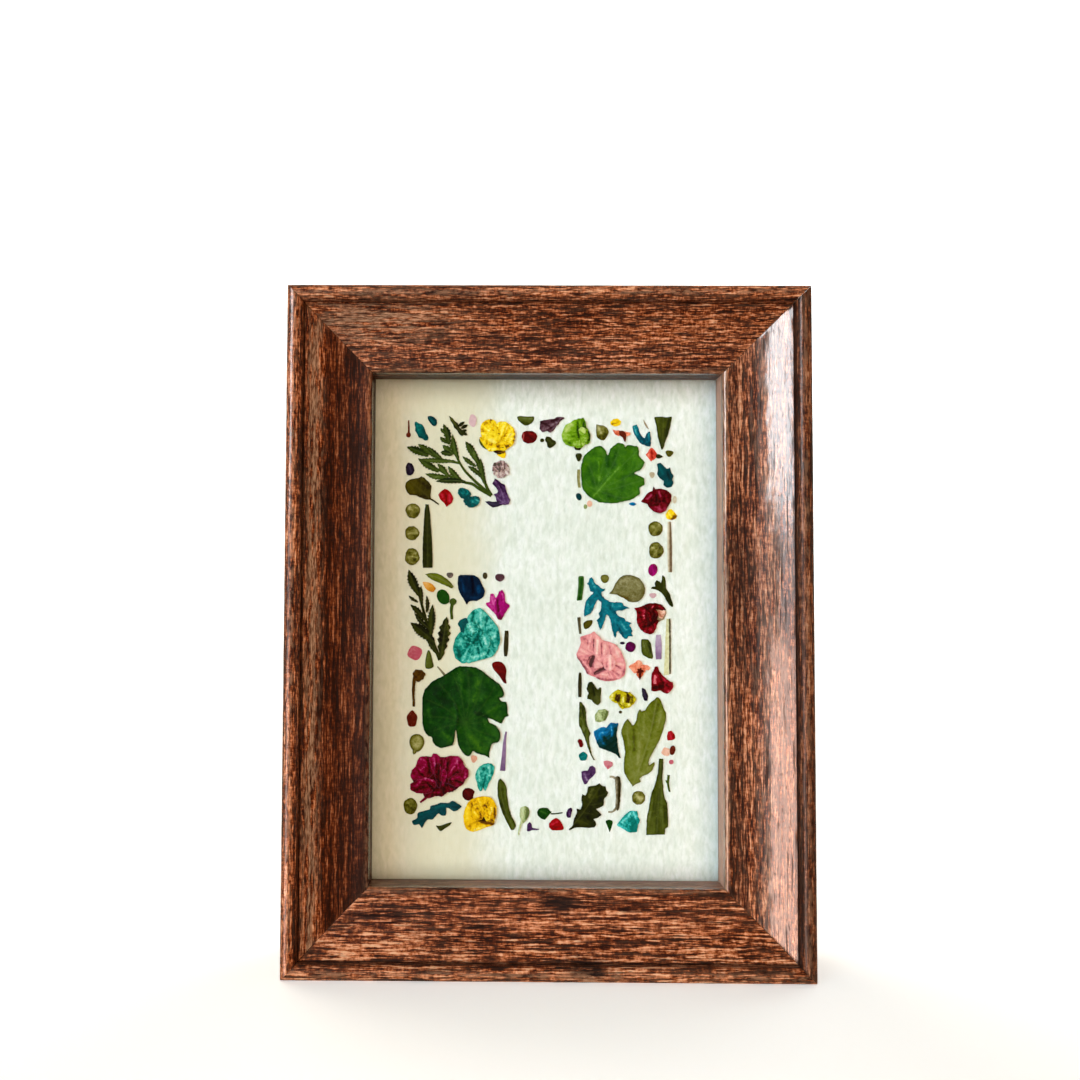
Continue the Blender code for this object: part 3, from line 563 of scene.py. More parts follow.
def plant(name, stops, vein=None, rim=None, mottle=(1.1, 0.55), fine=0.20, rough=(0.55, 0.82), relief=1.0,
          sheen=0.0, spec=0.04, coat=0.0):
    """Dried tissue. stops: dark to light. vein, rim: (colour, strength[, width in mm])."""
    s = Shader(name)
    co = s.mm()
    patch = s.noise(co, mottle[0] * 1.2, 4, 0.6, 0.6)
    cell = s.noise(co, 6.5, 3, 0.6)
    grit = s.noise(co, 17.0, 2, 0.5)
    deep = mottle[1] * 1.45
    tone = s.math("ADD", s.attr("tone"), s.math("MULTIPLY_ADD", patch, deep, -deep / 2))
    tone = s.math("ADD", tone, s.math("MULTIPLY_ADD", cell, fine, -fine / 2))
    tone = s.math("ADD", tone, s.math("MULTIPLY_ADD", grit, fine * 0.6, -fine * 0.3), clamp=True)
    col = s.ramp(tone, [(at, deepen(c)) for at, c in stops])
    if rim:
        w = rim[2] if len(rim) > 2 else 0.35
        edge = s.math("ADD", s.attr("rim"), s.math("MULTIPLY_ADD", cell, w * 0.8, -w * 0.4))
        col = s.mix(s.math("MULTIPLY", s.span(edge, w, 0.0), rim[1]), col, deepen(rim[0]))
    if vein:
        v = s.math("MULTIPLY", s.attr("vein"), s.span(cell, 0.25, 0.55, 0.55, 1.0))
        col = s.mix(s.math("MULTIPLY", v, vein[1], clamp=True), col, deepen(vein[0]))
    h = s.math("ADD", s.math("MULTIPLY", cell, 0.6), s.math("MULTIPLY", grit, 0.4))
    ins = dict(color=col, rough=s.span(cell, 0.3, 0.7, rough[1], rough[0]),
               normal=s.bump(h, 0.00007 * relief, 0.7), spec=spec)
    if sheen:
        ins.update(sheen=sheen, sheen_rough=0.4)
    if coat:
        ins.update(coat=coat, coat_rough=0.35)
    s.set(**ins)
    return s.mat


def seg_dist(p, a, b):
    """Distance from each point to the nearest segment, and which segment."""
    out = np.full(len(p), 1e9)
    d = b - a
    ln = (d * d).sum(1) + 1e-12
    for k in range(0, len(p), 1500):
        w = p[k:k + 1500, None] - a[None]
        t = np.clip((w * d).sum(2) / ln, 0, 1)
        out[k:k + 1500] = np.hypot(w[..., 0] - t * d[:, 0], w[..., 1] - t * d[:, 1]).min(1)
    return out


def inside(p, ring):
    r = np.asarray(ring)
    q = np.roll(r, -1, 0)
    x, y = p[:, 0][:, None], p[:, 1][:, None]
    cross = (r[:, 1] > y) != (q[:, 1] > y)
    with np.errstate(divide="ignore", invalid="ignore"):
        xi = (q[:, 0] - r[:, 0]) * (y - r[:, 1]) / (q[:, 1] - r[:, 1]) + r[:, 0]
    return (np.where(cross, x < xi, False).sum(1) % 2) == 1


def soft(ring, times=2, cut=0.2):
    """Outline with its corners cut."""
    r = np.asarray(ring, float)
    for _ in range(times):
        q = np.roll(r, -1, 0)
        r = np.stack([(1 - cut) * r + cut * q, cut * r + (1 - cut) * q], 1).reshape(-1, 2)
    return r


def ol(*v):
    """Outline from x, y, x, y and so on, with its corners eased."""
    return soft(list(zip(v[::2], v[1::2])), 1, 0.13)


def ragged(ring, step, amp, seed):
    """Outline divided into short steps, with a slightly uneven edge."""
    r = np.asarray(ring, float)
    q = np.roll(r, -1, 0)
    out = []
    for a, b in zip(r, q):
        n = max(1, int(math.ceil(math.hypot(*(b - a)) / step)))
        for k in range(n):
            out.append(a + (b - a) * k / n)
    out = np.array(out)
    if amp:
        out[:, 0] += amp * (noise(out[:, 0] / 2.7, out[:, 1] / 2.7, seed) + 0.5 * noise(out[:, 0] / 1.1, out[:, 1] / 1.1, seed + 3))
        out[:, 1] += amp * (noise(out[:, 0] / 2.7, out[:, 1] / 2.7, seed + 7) + 0.5 * noise(out[:, 0] / 1.1, out[:, 1] / 1.1, seed + 9))
    return out


def region(rings, step, amp, seed):
    """Union of the outlines, as points, triangles, edge distance and directed edge pairs."""
    rings = [ragged(r, step * 0.8, amp, seed) for r in rings]
    fixed = []
    for r in rings:
        x, y = r[:, 0], -r[:, 1]
        if (x * np.roll(y, -1) - np.roll(x, -1) * y).sum() < 0:
            r = r[::-1]
        fixed.append(r)
    rings = fixed
    lo = np.min([r.min(0) for r in rings], 0)
    hi = np.max([r.max(0) for r in rings], 0)
    gx = np.arange(lo[0], hi[0] + step, step)
    gy = np.arange(lo[1], hi[1] + step, step * 0.87)
    X, Y = np.meshgrid(gx, gy)
    X = X + (np.arange(len(gy)) % 2)[:, None] * step * 0.5
    P = np.stack([X.ravel(), Y.ravel()], 1)
    j = _hash(np.arange(len(P), dtype=np.int64), np.int64(5), seed + 11), _hash(np.arange(len(P), dtype=np.int64), np.int64(9), seed + 13)
    P = P + (np.stack(j, 1) - 0.5) * step * 0.35
    keep = np.zeros(len(P), bool)
    near = np.full(len(P), 1e9)
    for r in rings:
        keep |= inside(P, r)
        near = np.minimum(near, seg_dist(P, r, np.roll(r, -1, 0)))
    P = P[keep & (near > step * 0.42)]
    flat, polys = [], []
    for r in rings:
        polys.append(list(range(len(flat), len(flat) + len(r))))
        flat += [Vector((p[0], -p[1])) for p in r]
    flat += [Vector((p[0], -p[1])) for p in P]
    pts, _, tris, _, _, _ = delaunay_2d_cdt(flat, [], polys, 1, 1e-3)
    pts = np.array([(p[0], -p[1]) for p in pts])
    tri = []
    for f in tris:
        for k in range(1, len(f) - 1):
            t = (f[0], f[k], f[k + 1])
            a, b, c = pts[t[0]], pts[t[1]], pts[t[2]]
            area = (b[0] - a[0]) * -(c[1] - a[1]) + (b[1] - a[1]) * (c[0] - a[0])
            if abs(area) > 1e-7:
                tri.append(t if area > 0 else (t[0], t[2], t[1]))
    tri = np.array(tri)
    used = np.unique(tri)
    new = np.full(len(pts), -1)
    new[used] = np.arange(len(used))
    pts, tri = pts[used], new[tri]
    edges = {}
    for t in tri.tolist():
        for a, b in ((t[0], t[1]), (t[1], t[2]), (t[2], t[0])):
            edges[(a, b)] = True
    rim = [(a, b) for a, b in edges if (b, a) not in edges]
    A, B = pts[[a for a, b in rim]], pts[[b for a, b in rim]]
    return pts, tri, seg_dist(pts, A, B), rim


def polyline(points, n=10):
    """Smooth line through the points."""
    p = np.asarray(points, float)
    if len(p) < 3:
        return p
    out = []
    for i in range(len(p) - 1):
        a, b, c, d = p[max(i - 1, 0)], p[i], p[i + 1], p[min(i + 2, len(p) - 1)]
        for k in range(n):
            t = k / n
            out.append(0.5 * (2 * b + (c - a) * t + (2 * a - 5 * b + 4 * c - d) * t * t + (3 * b - a - 3 * c + d) * t ** 3))
    return np.array(out + [p[-1]])


class Pressed:
    """One specimen: thin closed sheets with lift, folds and veins."""

    def __init__(self, name, slot, node=None):
        self.name, self.slot, self.node = name, slot, node
        self.v, self.f, self.m, self.mats, self.n = [], [], [], [], 0
        self.at = {"tone": [], "vein": [], "rim": []}

    def sheet(self, mat, rings, base=0.10, thick=0.09, edge=0.10, edge_w=2.2, wob=0.07, wob_s=9.0, crease=0.0,
              crease_s=6.0, stretch=(1.0, 1.0, 0.0), tilt=(0, 0), cup=0.0, centre=None, tone=0.5, tone_crease=0.0,
              veins=(), vein_h=0.025, marks=(), step=1.15, amp=0.26, seed=1, shape=None):
        rings = [np.asarray(r, float) for r in rings]
        pts, tri, d, rim = region(rings, step, amp, seed)
        x, y = pts[:, 0], pts[:, 1]
        c = np.mean(np.concatenate(rings), 0) if centre is None else np.asarray(centre, float)
        dx, dy = x - c[0], y - c[1]
        size = max(np.hypot(dx, dy).max(), 1)
        a = math.radians(stretch[2])
        su = (dx * math.cos(a) - dy * math.sin(a)) / stretch[0]
        sv = (dx * math.sin(a) + dy * math.cos(a)) / stretch[1]
        h = base + wob * (0.6 + fbm(x / wob_s, y / wob_s, seed, 3))
        h = h + edge * np.clip(0.35 + noise(x / 7.0, y / 7.0, seed + 21), 0, 1.2) * np.exp(-d / edge_w)
        h = h + (tilt[0] * dx - tilt[1] * dy) / size + cup * (dx * dx + dy * dy) / size ** 2
        fold = folds(su / crease_s, sv / crease_s, seed + 40, 3) if (crease or tone_crease) else 0.0
        h = h + crease * (fold - 0.4)
        v = np.zeros(len(pts))
        for line, width, power in veins:
            q = polyline(line)
            dist = seg_dist(pts, q[:-1], q[1:])
            v = np.maximum(v, power * np.exp(-(dist / width) ** 2))
        h = h + vein_h * v
        t = np.asarray(tone(x, y, d), float) if callable(tone) else np.full(len(pts), float(tone))
        # painted light and shade: raised creases lighter, the hollows between them darker
        t = t + tone_crease * (fold - 0.4)
        if shape is not None:
            h, t = shape(x, y, d, h, t)
        # marks: strokes of tone and lift; dark strokes are painted shade in creases, slits and hollows, light strokes
        # painted highlights, and some are real spots of colour
        for line, width, shade, *lift in marks:
            q = polyline(line)
            if len(q) == 1:
                q = np.concatenate([q, q + 0.01])
            g = np.exp(-(seg_dist(pts, q[:-1], q[1:]) / width) ** 2) * np.clip(0.85 + 0.55 * noise(x / 1.7, y / 1.7, seed + 77), 0.2, 1.3)
            t = t + 1.5 * shade * g
            h = h + (lift[0] if lift else 0.22 * shade) * g
        h = np.clip(h, 0.035 + thick, 1.30)
        th = thick * np.clip(0.35 + d / 1.2, 0.35, 1.0)
        xz = lay(pts)
        top = np.stack([xz[:, 0], CARD_Y - h, xz[:, 1]], 1)
        low = np.stack([xz[:, 0], CARD_Y - h + th, xz[:, 1]], 1)
        o, N = self.n, len(pts)
        k = len(self.mats) if mat not in self.mats else self.mats.index(mat)
        if mat not in self.mats:
            self.mats.append(mat)
        faces = [(o + a, o + b, o + c2) for a, b, c2 in tri.tolist()]
        faces += [(o + N + a, o + N + c2, o + N + b) for a, b, c2 in tri.tolist()]
        faces += [(o + b, o + a, o + N + a, o + N + b) for a, b in rim]
        self.v += [top, low]
        self.f += faces
        self.m += [k] * len(faces)
        for key, val in (("tone", t), ("vein", v), ("rim", d * 0.166)):
            self.at[key] += [val, val]
        self.n += 2 * N
        return self

    def petal(self, mat, cx, cy, w, h, face=90.0, z0=0.12, z1=0.6, pleats=5.0, ruffle=0.12, lobes=(), tone=0.5,
              deep=0.35, light=0.25, seed=1, thick=0.08, step=0.95, crumple=0.15, dents=(), curl=0.0, ring=None, marks=(), amp=0.26):
        """Petal, w across and h along. face: where its free edge points, anticlockwise."""
        if ring is None:
            ring = blob(cx, cy, w, h, n=60, tilt=face - 90.0, dents=dents,
                        waves=tuple(lobes) or ((5, 0.05, seed * 47), (9, 0.04, seed * 91), (14, 0.02, seed * 33)))
        a = math.radians(face)
        ax, ay = math.cos(a), -math.sin(a)

        def shape(x, y, d, hh, t):
            u = ((x - cx) * ax + (y - cy) * ay) / (h / 2)           # -1 at the foot, 1 at the free edge
            q = ((x - cx) * ay - (y - cy) * ax) / (w / 2)
            g = np.clip((u + 1) / 2, 0, 1)
            fan = q / (0.35 + 0.65 * g)
            lines = folds(fan * pleats / 2 + 3.1 * seed, g * 0.55 + seed, seed + 71, 2)
            rough = folds(x / 4.5, y / 4.5, seed + 91, 3)
            z = z0 + (z1 - z0) * g ** 0.8 + ruffle * np.sin(fan * pleats * 1.3 + seed * 2.1) * g ** 1.5
            z = z + 0.10 * (lines - 0.4) + crumple * (rough - 0.4) - curl * np.exp(-d / 1.6) * g
            # painted shade: darker along the folds and crumples, by deep
            tt = tone + light * (g - 0.45) + deep * (0.42 - lines) * 0.9 + 0.75 * deep * (0.4 - rough)
            return z, tt
        return self.sheet(mat, [ring], base=0.0, wob=0.0, edge=0.0, thick=thick, seed=seed, step=step, shape=shape, marks=marks, amp=amp)

    def flap(self, mat, ring, face=90.0, **kw):
        """Petal with its own outline. Its length and width come from the outline."""
        r = np.asarray(ring, float)
        a = math.radians(face)
        ax, ay = math.cos(a), -math.sin(a)
        c = (r.max(0) + r.min(0)) / 2
        along = (r - c) @ (ax, ay)
        across = (r - c) @ (ay, -ax)
        return self.petal(mat, c[0], c[1], float(np.ptp(across)), float(np.ptp(along)), face=face, ring=soft(r, 1), **kw)

    def fan(self, mat, leaflets, base=0.09, seed=1, tone=0.45, stems=(), **kw):
        """Overlapping leaflets, each (x0, y0, x1, y1, width[, tone]) from its foot to its tip, and stems (line, width)."""
        for k, (line, wide) in enumerate(stems):
            self.sheet(mat, [strip(line, wide * 0.65, wide * 1.15)], base=base + 0.04, wob=0.04, edge=0.02, tone=tone + 0.06, seed=seed + 300 + k,
                       step=0.7, amp=0.06)
        for k, (x0, y0, x1, y1, wide, *own_tone) in enumerate(leaflets):
            t = (own_tone[0] if own_tone else tone) + 0.10 * math.sin(k * 2.4 + seed)
            L = math.hypot(x1 - x0, y1 - y0)
            bend = 0.05 * L * math.sin(k * 1.9 + seed)
            dx, dy = (x1 - x0) / L, (y1 - y0) / L
            line = mid(x0, y0, x1, y1, bend)

            def shade(x, y, d, x0=x0, y0=y0, dx=dx, dy=dy, t=t, L=L):
                s = (x - x0) * dy - (y - y0) * dx
                return t + 0.13 * np.sign(s) * np.clip(np.abs(s) / 1.2, 0, 1) - 0.16 * np.exp(-d / 0.8) + 0.10 * fbm(x / 2.6, y / 2.6, seed + k, 2)
            lobed = max(3, int(L / 3.4))
            self.sheet(mat, [blade(x0, y0, x1, y1, wide * 1.18, peak=0.52, bend=bend, ends=(0.35, 0.0), lobes=lobed, depth=0.26, sweep=0.75,
                                   n=max(30, lobed * 14))],
                       base=base + 0.035 * (k % 4), wob=0.05, wob_s=5, edge=0.06, edge_w=1.2, tone=shade, veins=[(line, 0.42, 0.9)],
                       vein_h=0.03, seed=seed + 17 * k, step=0.78, amp=0.12, thick=0.07, **kw)
        return self

    def done(self):
        fields = {k: np.concatenate(v) for k, v in self.at.items()}
        obj = build(self.name, np.concatenate(self.v), self.f, self.mats, fields, face_mat=self.m, smooth=55)
        return own(obj, self.slot, *([self.node] if self.node else []))


def down(x0, y0, x1, y1, a=0.0, b=1.0):
    """Tone that goes from a to b along the line."""
    L = (x1 - x0) ** 2 + (y1 - y0) ** 2
    return lambda x, y, d: a + (b - a) * np.clip(((x - x0) * (x1 - x0) + (y - y0) * (y1 - y0)) / L, 0, 1)


def blob(cx, cy, w, h, n=72, tilt=0.0, waves=(), dents=()):
    """Rounded outline. waves: (count, size, phase). dents: (angle, depth, width), depth below 0 for a point."""
    turns = [360.0 * i / n for i in range(n)]
    for a, _, wide in dents:
        turns = [t for t in turns if abs((t - a + 180) % 360 - 180) > 2.0 * wide]
        turns += [(a + k * wide * 0.4) % 360 for k in range(-5, 6)]
    c, s = math.cos(math.radians(tilt)), math.sin(math.radians(tilt))
    pts = []
    for deg in sorted(turns):
        t = math.radians(deg)
        r = 1 + sum(size * math.sin(k * t + math.radians(ph)) for k, size, ph in waves)
        for a, depth, wide in dents:
            d = (deg - a + 180) % 360 - 180
            r -= depth * math.exp(-(d / wide) ** 2)
        x, y = w / 2 * r * math.cos(t), h / 2 * r * math.sin(t)
        pts.append((cx + x * c - y * s, cy - x * s - y * c))
    return pts


def blade(x0, y0, x1, y1, w, peak=0.5, ends=(0.12, 0.0), bend=0.0, lobes=0, depth=0.0, sweep=0.0, n=30, teeth=0, bite=0.0):
    """Leaf from its base to its tip, w steps across at the widest place."""
    dx, dy = x1 - x0, y1 - y0
    length = math.hypot(dx, dy)
    ax, ay = dx / length, dy / length
    nx, ny = ay, -ax
    count = max(n, lobes * 16, teeth * 6)

    def at(t, side):
        if t < peak:
            e = ends[0] + (1 - ends[0]) * math.sin(math.pi / 2 * t / peak) ** 0.8
        else:
            e = ends[1] + (1 - ends[1]) * max(math.cos(math.pi / 2 * (t - peak) / (1 - peak)), 0) ** 0.9
        if lobes:
            e *= 1 - depth * (0.5 + 0.5 * math.cos(2 * math.pi * lobes * t + 0.6 * side))
        if teeth:
            e *= 1 - bite * ((teeth * t + 0.25 * side) % 1.0)
        off = w / 2 * e * side
        go = t * length + sweep * abs(off) * (0.5 + 0.5 * math.cos(math.pi * t))
        bow = bend * 4 * t * (1 - t)
        return (x0 + ax * go + nx * (off + bow), y0 + ay * go + ny * (off + bow))

    right = [at(i / count, -1) for i in range(0, count)]
    left = [at(i / count, 1) for i in range(count - 1, -1, -1)]
    tip = [at(1.0, 1)] if ends[1] == 0 else [at(1.0, -1), at(1.0, 1)]
    out = right + tip + left
    return out if ends[0] else out[:-1]


def strip(points, w0, w1=None):
    """Stem or bar of even width, or tapering from w0 to w1."""
    w1 = w0 if w1 is None else w1
    points = [tuple(p) for p in polyline(points, 5)]
    sides = ([], [])
    for i, (x, y) in enumerate(points):
        a, b = points[max(i - 1, 0)], points[min(i + 1, len(points) - 1)]
        length = math.hypot(b[0] - a[0], b[1] - a[1])
        nx, ny = (b[1] - a[1]) / length, -(b[0] - a[0]) / length
        half = (w0 + (w1 - w0) * i / (len(points) - 1)) / 2
        sides[0].append((x + nx * half, y + ny * half))
        sides[1].append((x - nx * half, y - ny * half))
    return sides[0] + sides[1][::-1]


def mid(x0, y0, x1, y1, bend=0.0, a=0.0, b=1.0):
    """Midrib of a blade as a vein line."""
    dx, dy = x1 - x0, y1 - y0
    L = math.hypot(dx, dy)
    out = []
    for k in range(7):
        t = a + (b - a) * k / 6
        bow = bend * 4 * t * (1 - t)
        out.append((x0 + dx * t + dy / L * bow, y0 + dy * t - dx / L * bow))
    return out


def feather(x0, y0, x1, y1, reach, n, bend=0.0, slant=0.55, width=0.5, power=0.6, start=0.12):
    """Midrib with side veins on both sides."""
    rib = mid(x0, y0, x1, y1, bend)
    veins = [(rib, width * 1.5, 1.0)]
    line = polyline(rib)
    dx, dy = x1 - x0, y1 - y0
    L = math.hypot(dx, dy)
    ax, ay = dx / L, dy / L
    for k in range(n):
        t = start + (0.94 - start) * k / n
        p = line[int(t * (len(line) - 1))]
        r = reach * math.sin(math.pi * min(max(t * 0.9 + 0.1, 0), 1)) ** 0.7
        for side in (-1, 1):
            q = (p[0] + (ay * side + ax * slant) * r, p[1] + (-ax * side + ay * slant) * r)
            m = ((p[0] + q[0]) / 2 - ax * r * 0.08, (p[1] + q[1]) / 2 - ay * r * 0.08)
            veins.append(([tuple(p), m, q], width, power))
    return veins


P = {
    "fern": plant("fern_green", [(0.12, (24, 34, 6)), (0.4, (48, 63, 20)), (0.7, (76, 93, 42)), (0.95, (114, 128, 76))],
                  vein=((98, 110, 62), 0.55), rim=((34, 42, 12), 0.4, 0.16)),
    "fern_dark": plant("fern_dark", [(0.15, (20, 20, 2)), (0.45, (36, 40, 8)), (0.7, (54, 58, 20)), (0.95, (86, 88, 46))],
                       vein=((84, 86, 44), 0.5), rim=((28, 28, 6), 0.4, 0.16)),
    "heart": plant("leaf_brown_olive", [(0.15, (40, 34, 6)), (0.5, (62, 56, 16)), (0.85, (84, 76, 30))],
                   vein=((92, 84, 40), 0.5), rim=((46, 38, 8), 0.5)),
    "olive_disc": plant("leaf_pale_olive", [(0.05, (56, 54, 14)), (0.28, (94, 92, 36)), (0.5, (124, 121, 58)), (0.7, (152, 148, 86)), (0.95, (186, 180, 126))],
                        vein=((182, 172, 110), 0.4), rim=((74, 68, 20), 0.75, 0.5), fine=0.4, mottle=(1.3, 0.7)),
    "olive_round": plant("leaf_soft_olive", [(0.1, (92, 68, 32)), (0.3, (98, 90, 50)), (0.6, (122, 116, 75)), (0.9, (150, 144, 104))],
                         vein=((134, 132, 88), 0.35), rim=((72, 62, 26), 0.65, 0.5), fine=0.6, mottle=(1.5, 0.8)),
    "olive_leaf": plant("leaf_olive", [(0.1, (70, 72, 10)), (0.4, (96, 106, 30)), (0.65, (116, 122, 52)), (0.9, (140, 142, 80))],
                        vein=((138, 140, 84), 0.5), rim=((74, 74, 14), 0.6, 0.35), fine=0.3, coat=0.03),
    "wedge": plant("leaf_deep_olive", [(0.1, (38, 42, 6)), (0.4, (64, 72, 20)), (0.7, (84, 92, 40)), (0.95, (108, 116, 66))],
                   vein=((104, 110, 62), 0.5), rim=((42, 46, 10), 0.6, 0.3), fine=0.3),
    "green_lobed": plant("leaf_bright_green", [(0.1, (30, 74, 4)), (0.4, (52, 103, 10)), (0.65, (70, 123, 22)), (0.95, (108, 154, 60))],
                         vein=((118, 158, 84), 0.28), rim=((30, 74, 4), 0.75, 0.45), fine=0.3, coat=0.04),
    "green_big": plant("leaf_deep_green", [(0.05, (4, 38, 2)), (0.35, (18, 58, 2)), (0.6, (34, 80, 4)), (0.95, (62, 106, 16))],
                       vein=((72, 106, 40), 0.2), rim=((8, 36, 2), 0.8, 0.45), fine=0.3, coat=0.03),
    "aqua": plant("petal_aqua", [(0.08, (0, 84, 76)), (0.32, (8, 122, 108)), (0.52, (52, 166, 150)), (0.78, (104, 198, 182)), (0.98, (158, 222, 208))],
                  mottle=(1.5, 1.0), fine=0.35, rim=((0, 96, 88), 0.25, 0.2)),
    "aqua_bright": plant("petal_turquoise", [(0.08, (6, 112, 104)), (0.35, (26, 152, 146)), (0.62, (74, 196, 190)), (0.95, (140, 226, 222))],
                         mottle=(1.3, 0.7), fine=0.3),
    "teal": plant("leaf_teal", [(0.08, (0, 64, 80)), (0.40, (0, 100, 118)), (0.66, (6, 124, 138)), (0.97, (80, 172, 178))],
                  vein=((20, 136, 150), 0.4), rim=((0, 70, 96), 0.5, 0.2), fine=0.3),
    "teal_dark": plant("leaf_dark_teal", [(0.1, (0, 40, 48)), (0.5, (0, 62, 70)), (0.9, (14, 88, 92))],
                       vein=((12, 84, 100), 0.4), rim=((0, 36, 50), 0.5, 0.2)),
    "teal_double": plant("petal_teal", [(0.1, (0, 66, 70)), (0.4, (0, 96, 98)), (0.65, (16, 124, 122)), (0.95, (84, 176, 170))],
                         mottle=(1.6, 0.7)),
    "blue": plant("petal_blue", [(0.05, (0, 40, 40)), (0.3, (0, 62, 70)), (0.55, (4, 94, 142)), (0.78, (18, 124, 180)), (0.98, (110, 200, 224))],
                  mottle=(1.2, 0.35)),
    "navy": plant("petal_navy_blue", [(0.1, (0, 20, 36)), (0.5, (0, 38, 66)), (0.9, (12, 62, 104))], mottle=(0.8, 0.5), spec=0.02),
    "slate": plant("petal_slate", [(0.1, (24, 18, 34)), (0.5, (38, 30, 52)), (0.9, (60, 54, 78))]),
    "yellow": plant("petal_yellow", [(0.02, (112, 74, 4)), (0.20, (204, 150, 4)), (0.42, (244, 202, 22)), (0.72, (254, 226, 56)), (0.98, (255, 234, 112))],
                    mottle=(1.5, 0.35), fine=0.22, sheen=0.1),
    "yellow_low": plant("petal_gold", [(0.02, (104, 62, 4)), (0.22, (190, 134, 6)), (0.45, (236, 184, 20)), (0.75, (250, 213, 50)), (0.98, (253, 230, 118))],
                        mottle=(1.3, 0.4), fine=0.25),
    "yellow_olive": plant("petal_olive_yellow", [(0.05, (70, 58, 4)), (0.28, (140, 122, 4)), (0.55, (192, 174, 16)), (0.8, (218, 204, 52)), (0.98, (240, 234, 140))],
                          mottle=(1.6, 0.45)),
    # dark brown under the yellow blossoms: partly their own dark base, partly painted shade in the gaps between petals
    "dark_brown": plant("brown_base_and_gap_shade", [(0.1, (34, 20, 4)), (0.5, (64, 42, 12)), (0.9, (104, 76, 36))]),
    "brown": plant("dry_leaf_brown", [(0.1, (44, 24, 2)), (0.5, (72, 46, 8)), (0.9, (104, 72, 30))]),
    "sepal": plant("sepal_olive", [(0.1, (40, 40, 4)), (0.5, (82, 84, 18)), (0.9, (128, 126, 44))]),
    "pink": plant("petal_pink", [(0.0, (82, 50, 56)), (0.10, (134, 68, 76)), (0.26, (208, 118, 126)), (0.48, (236, 156, 156)), (0.75, (246, 186, 178)), (0.97, (252, 216, 204))],
                  mottle=(0.9, 0.30), fine=0.16, rim=((228, 128, 140), 0.3, 0.4), sheen=0.15),
    "rose": plant("petal_rose", [(0.1, (146, 58, 74)), (0.5, (188, 84, 104)), (0.9, (212, 134, 142))]),
    "coral": plant("petal_coral", [(0.05, (140, 54, 26)), (0.3, (214, 96, 66)), (0.55, (242, 138, 106)), (0.85, (250, 178, 148))]),
    "magenta": plant("petal_magenta", [(0.05, (92, 0, 48)), (0.35, (142, 0, 92)), (0.65, (176, 10, 118)), (0.95, (206, 84, 156))], sheen=0.15),
    "carnation": plant("petal_carnation", [(0.03, (44, 0, 10)), (0.22, (80, 0, 24)), (0.45, (116, 4, 44)), (0.7, (148, 18, 70)), (0.97, (196, 88, 132))],
                       mottle=(1.2, 0.35), rim=((178, 74, 118), 0.15, 0.2), sheen=0.05),
    "crimson": plant("petal_crimson_red", [(0.05, (52, 0, 6)), (0.3, (92, 2, 16)), (0.58, (136, 8, 36)), (0.85, (180, 40, 66)), (0.99, (226, 120, 130))],
                     mottle=(1.3, 0.4)),
    "burgundy": plant("petal_burgundy", [(0.05, (48, 0, 8)), (0.35, (86, 2, 22)), (0.65, (122, 10, 40)), (0.95, (170, 54, 86))], mottle=(1.5, 0.45),
                      rim=((150, 24, 64), 0.12, 0.2)),
    "coral_red": plant("petal_coral_red", [(0.1, (150, 28, 20)), (0.5, (216, 70, 56)), (0.9, (240, 134, 112))]),
    "red": plant("petal_red", [(0.1, (104, 0, 8)), (0.5, (158, 4, 30)), (0.9, (196, 40, 62))]),
    "dark_red": plant("petal_dark_red", [(0.1, (62, 0, 4)), (0.5, (96, 4, 12)), (0.85, (126, 24, 30)), (0.99, (168, 76, 76))]),
    "maroon": plant("petal_maroon", [(0.1, (62, 18, 14)), (0.5, (92, 30, 24)), (0.9, (124, 60, 50))]),
    "purple": plant("petal_purple", [(0.08, (44, 22, 54)), (0.42, (76, 46, 88)), (0.72, (106, 76, 118)), (0.98, (160, 134, 168))]),
    "plum": plant("petal_plum_grey", [(0.1, (48, 24, 36)), (0.5, (86, 54, 66)), (0.95, (140, 112, 124))]),
    "plum_disc": plant("petal_beet", [(0.1, (58, 0, 44)), (0.5, (88, 0, 68)), (0.9, (116, 20, 92))]),
    "lilac": plant("petal_lilac", [(0.1, (112, 82, 120)), (0.5, (156, 124, 160)), (0.9, (194, 172, 194))]),
    "mauve": plant("petal_mauve", [(0.05, (84, 76, 70)), (0.35, (146, 112, 112)), (0.65, (188, 160, 156)), (0.95, (222, 206, 198))], mottle=(1.8, 0.7)),
    "pale_pink": plant("petal_pale_pink", [(0.1, (196, 150, 160)), (0.5, (222, 186, 190)), (0.9, (236, 212, 210))]),
    "green_blossom": plant("petal_lime", [(0.02, (42, 66, 3)), (0.13, (72, 112, 6)), (0.30, (96, 142, 12)), (0.54, (132, 174, 44)), (0.88, (196, 214, 122))],
                           mottle=(1.2, 0.4)),
    "pale_green": plant("petal_pale_green", [(0.1, (96, 108, 62)), (0.45, (152, 166, 108)), (0.85, (204, 212, 164))], mottle=(1.2, 0.6)),
    "green_small": plant("leaf_small_green", [(0.1, (14, 44, 6)), (0.5, (28, 72, 18)), (0.9, (66, 104, 48))]),
    "beige": plant("dry_beige", [(0.03, (104, 82, 64)), (0.28, (150, 130, 104)), (0.6, (190, 174, 146)), (0.95, (226, 216, 194))]),
    "stem": plant("dry_stem", [(0.05, (44, 38, 26)), (0.4, (84, 76, 58)), (0.7, (134, 124, 100)), (0.97, (190, 180, 156))]),
    "pale_stem": plant("pale_stem", [(0.05, (96, 92, 50)), (0.4, (150, 144, 92)), (0.7, (206, 200, 150)), (0.97, (232, 228, 186))]),
    "orange": plant("petal_orange", [(0.1, (170, 92, 10)), (0.5, (216, 146, 52)), (0.9, (240, 196, 130))]),
    "peach": plant("petal_peach", [(0.1, (190, 120, 96)), (0.5, (232, 176, 150)), (0.9, (248, 212, 192))]),
    "sprig": plant("sprig_green", [(0.1, (26, 30, 4)), (0.5, (46, 50, 16)), (0.9, (74, 78, 40))]),
}


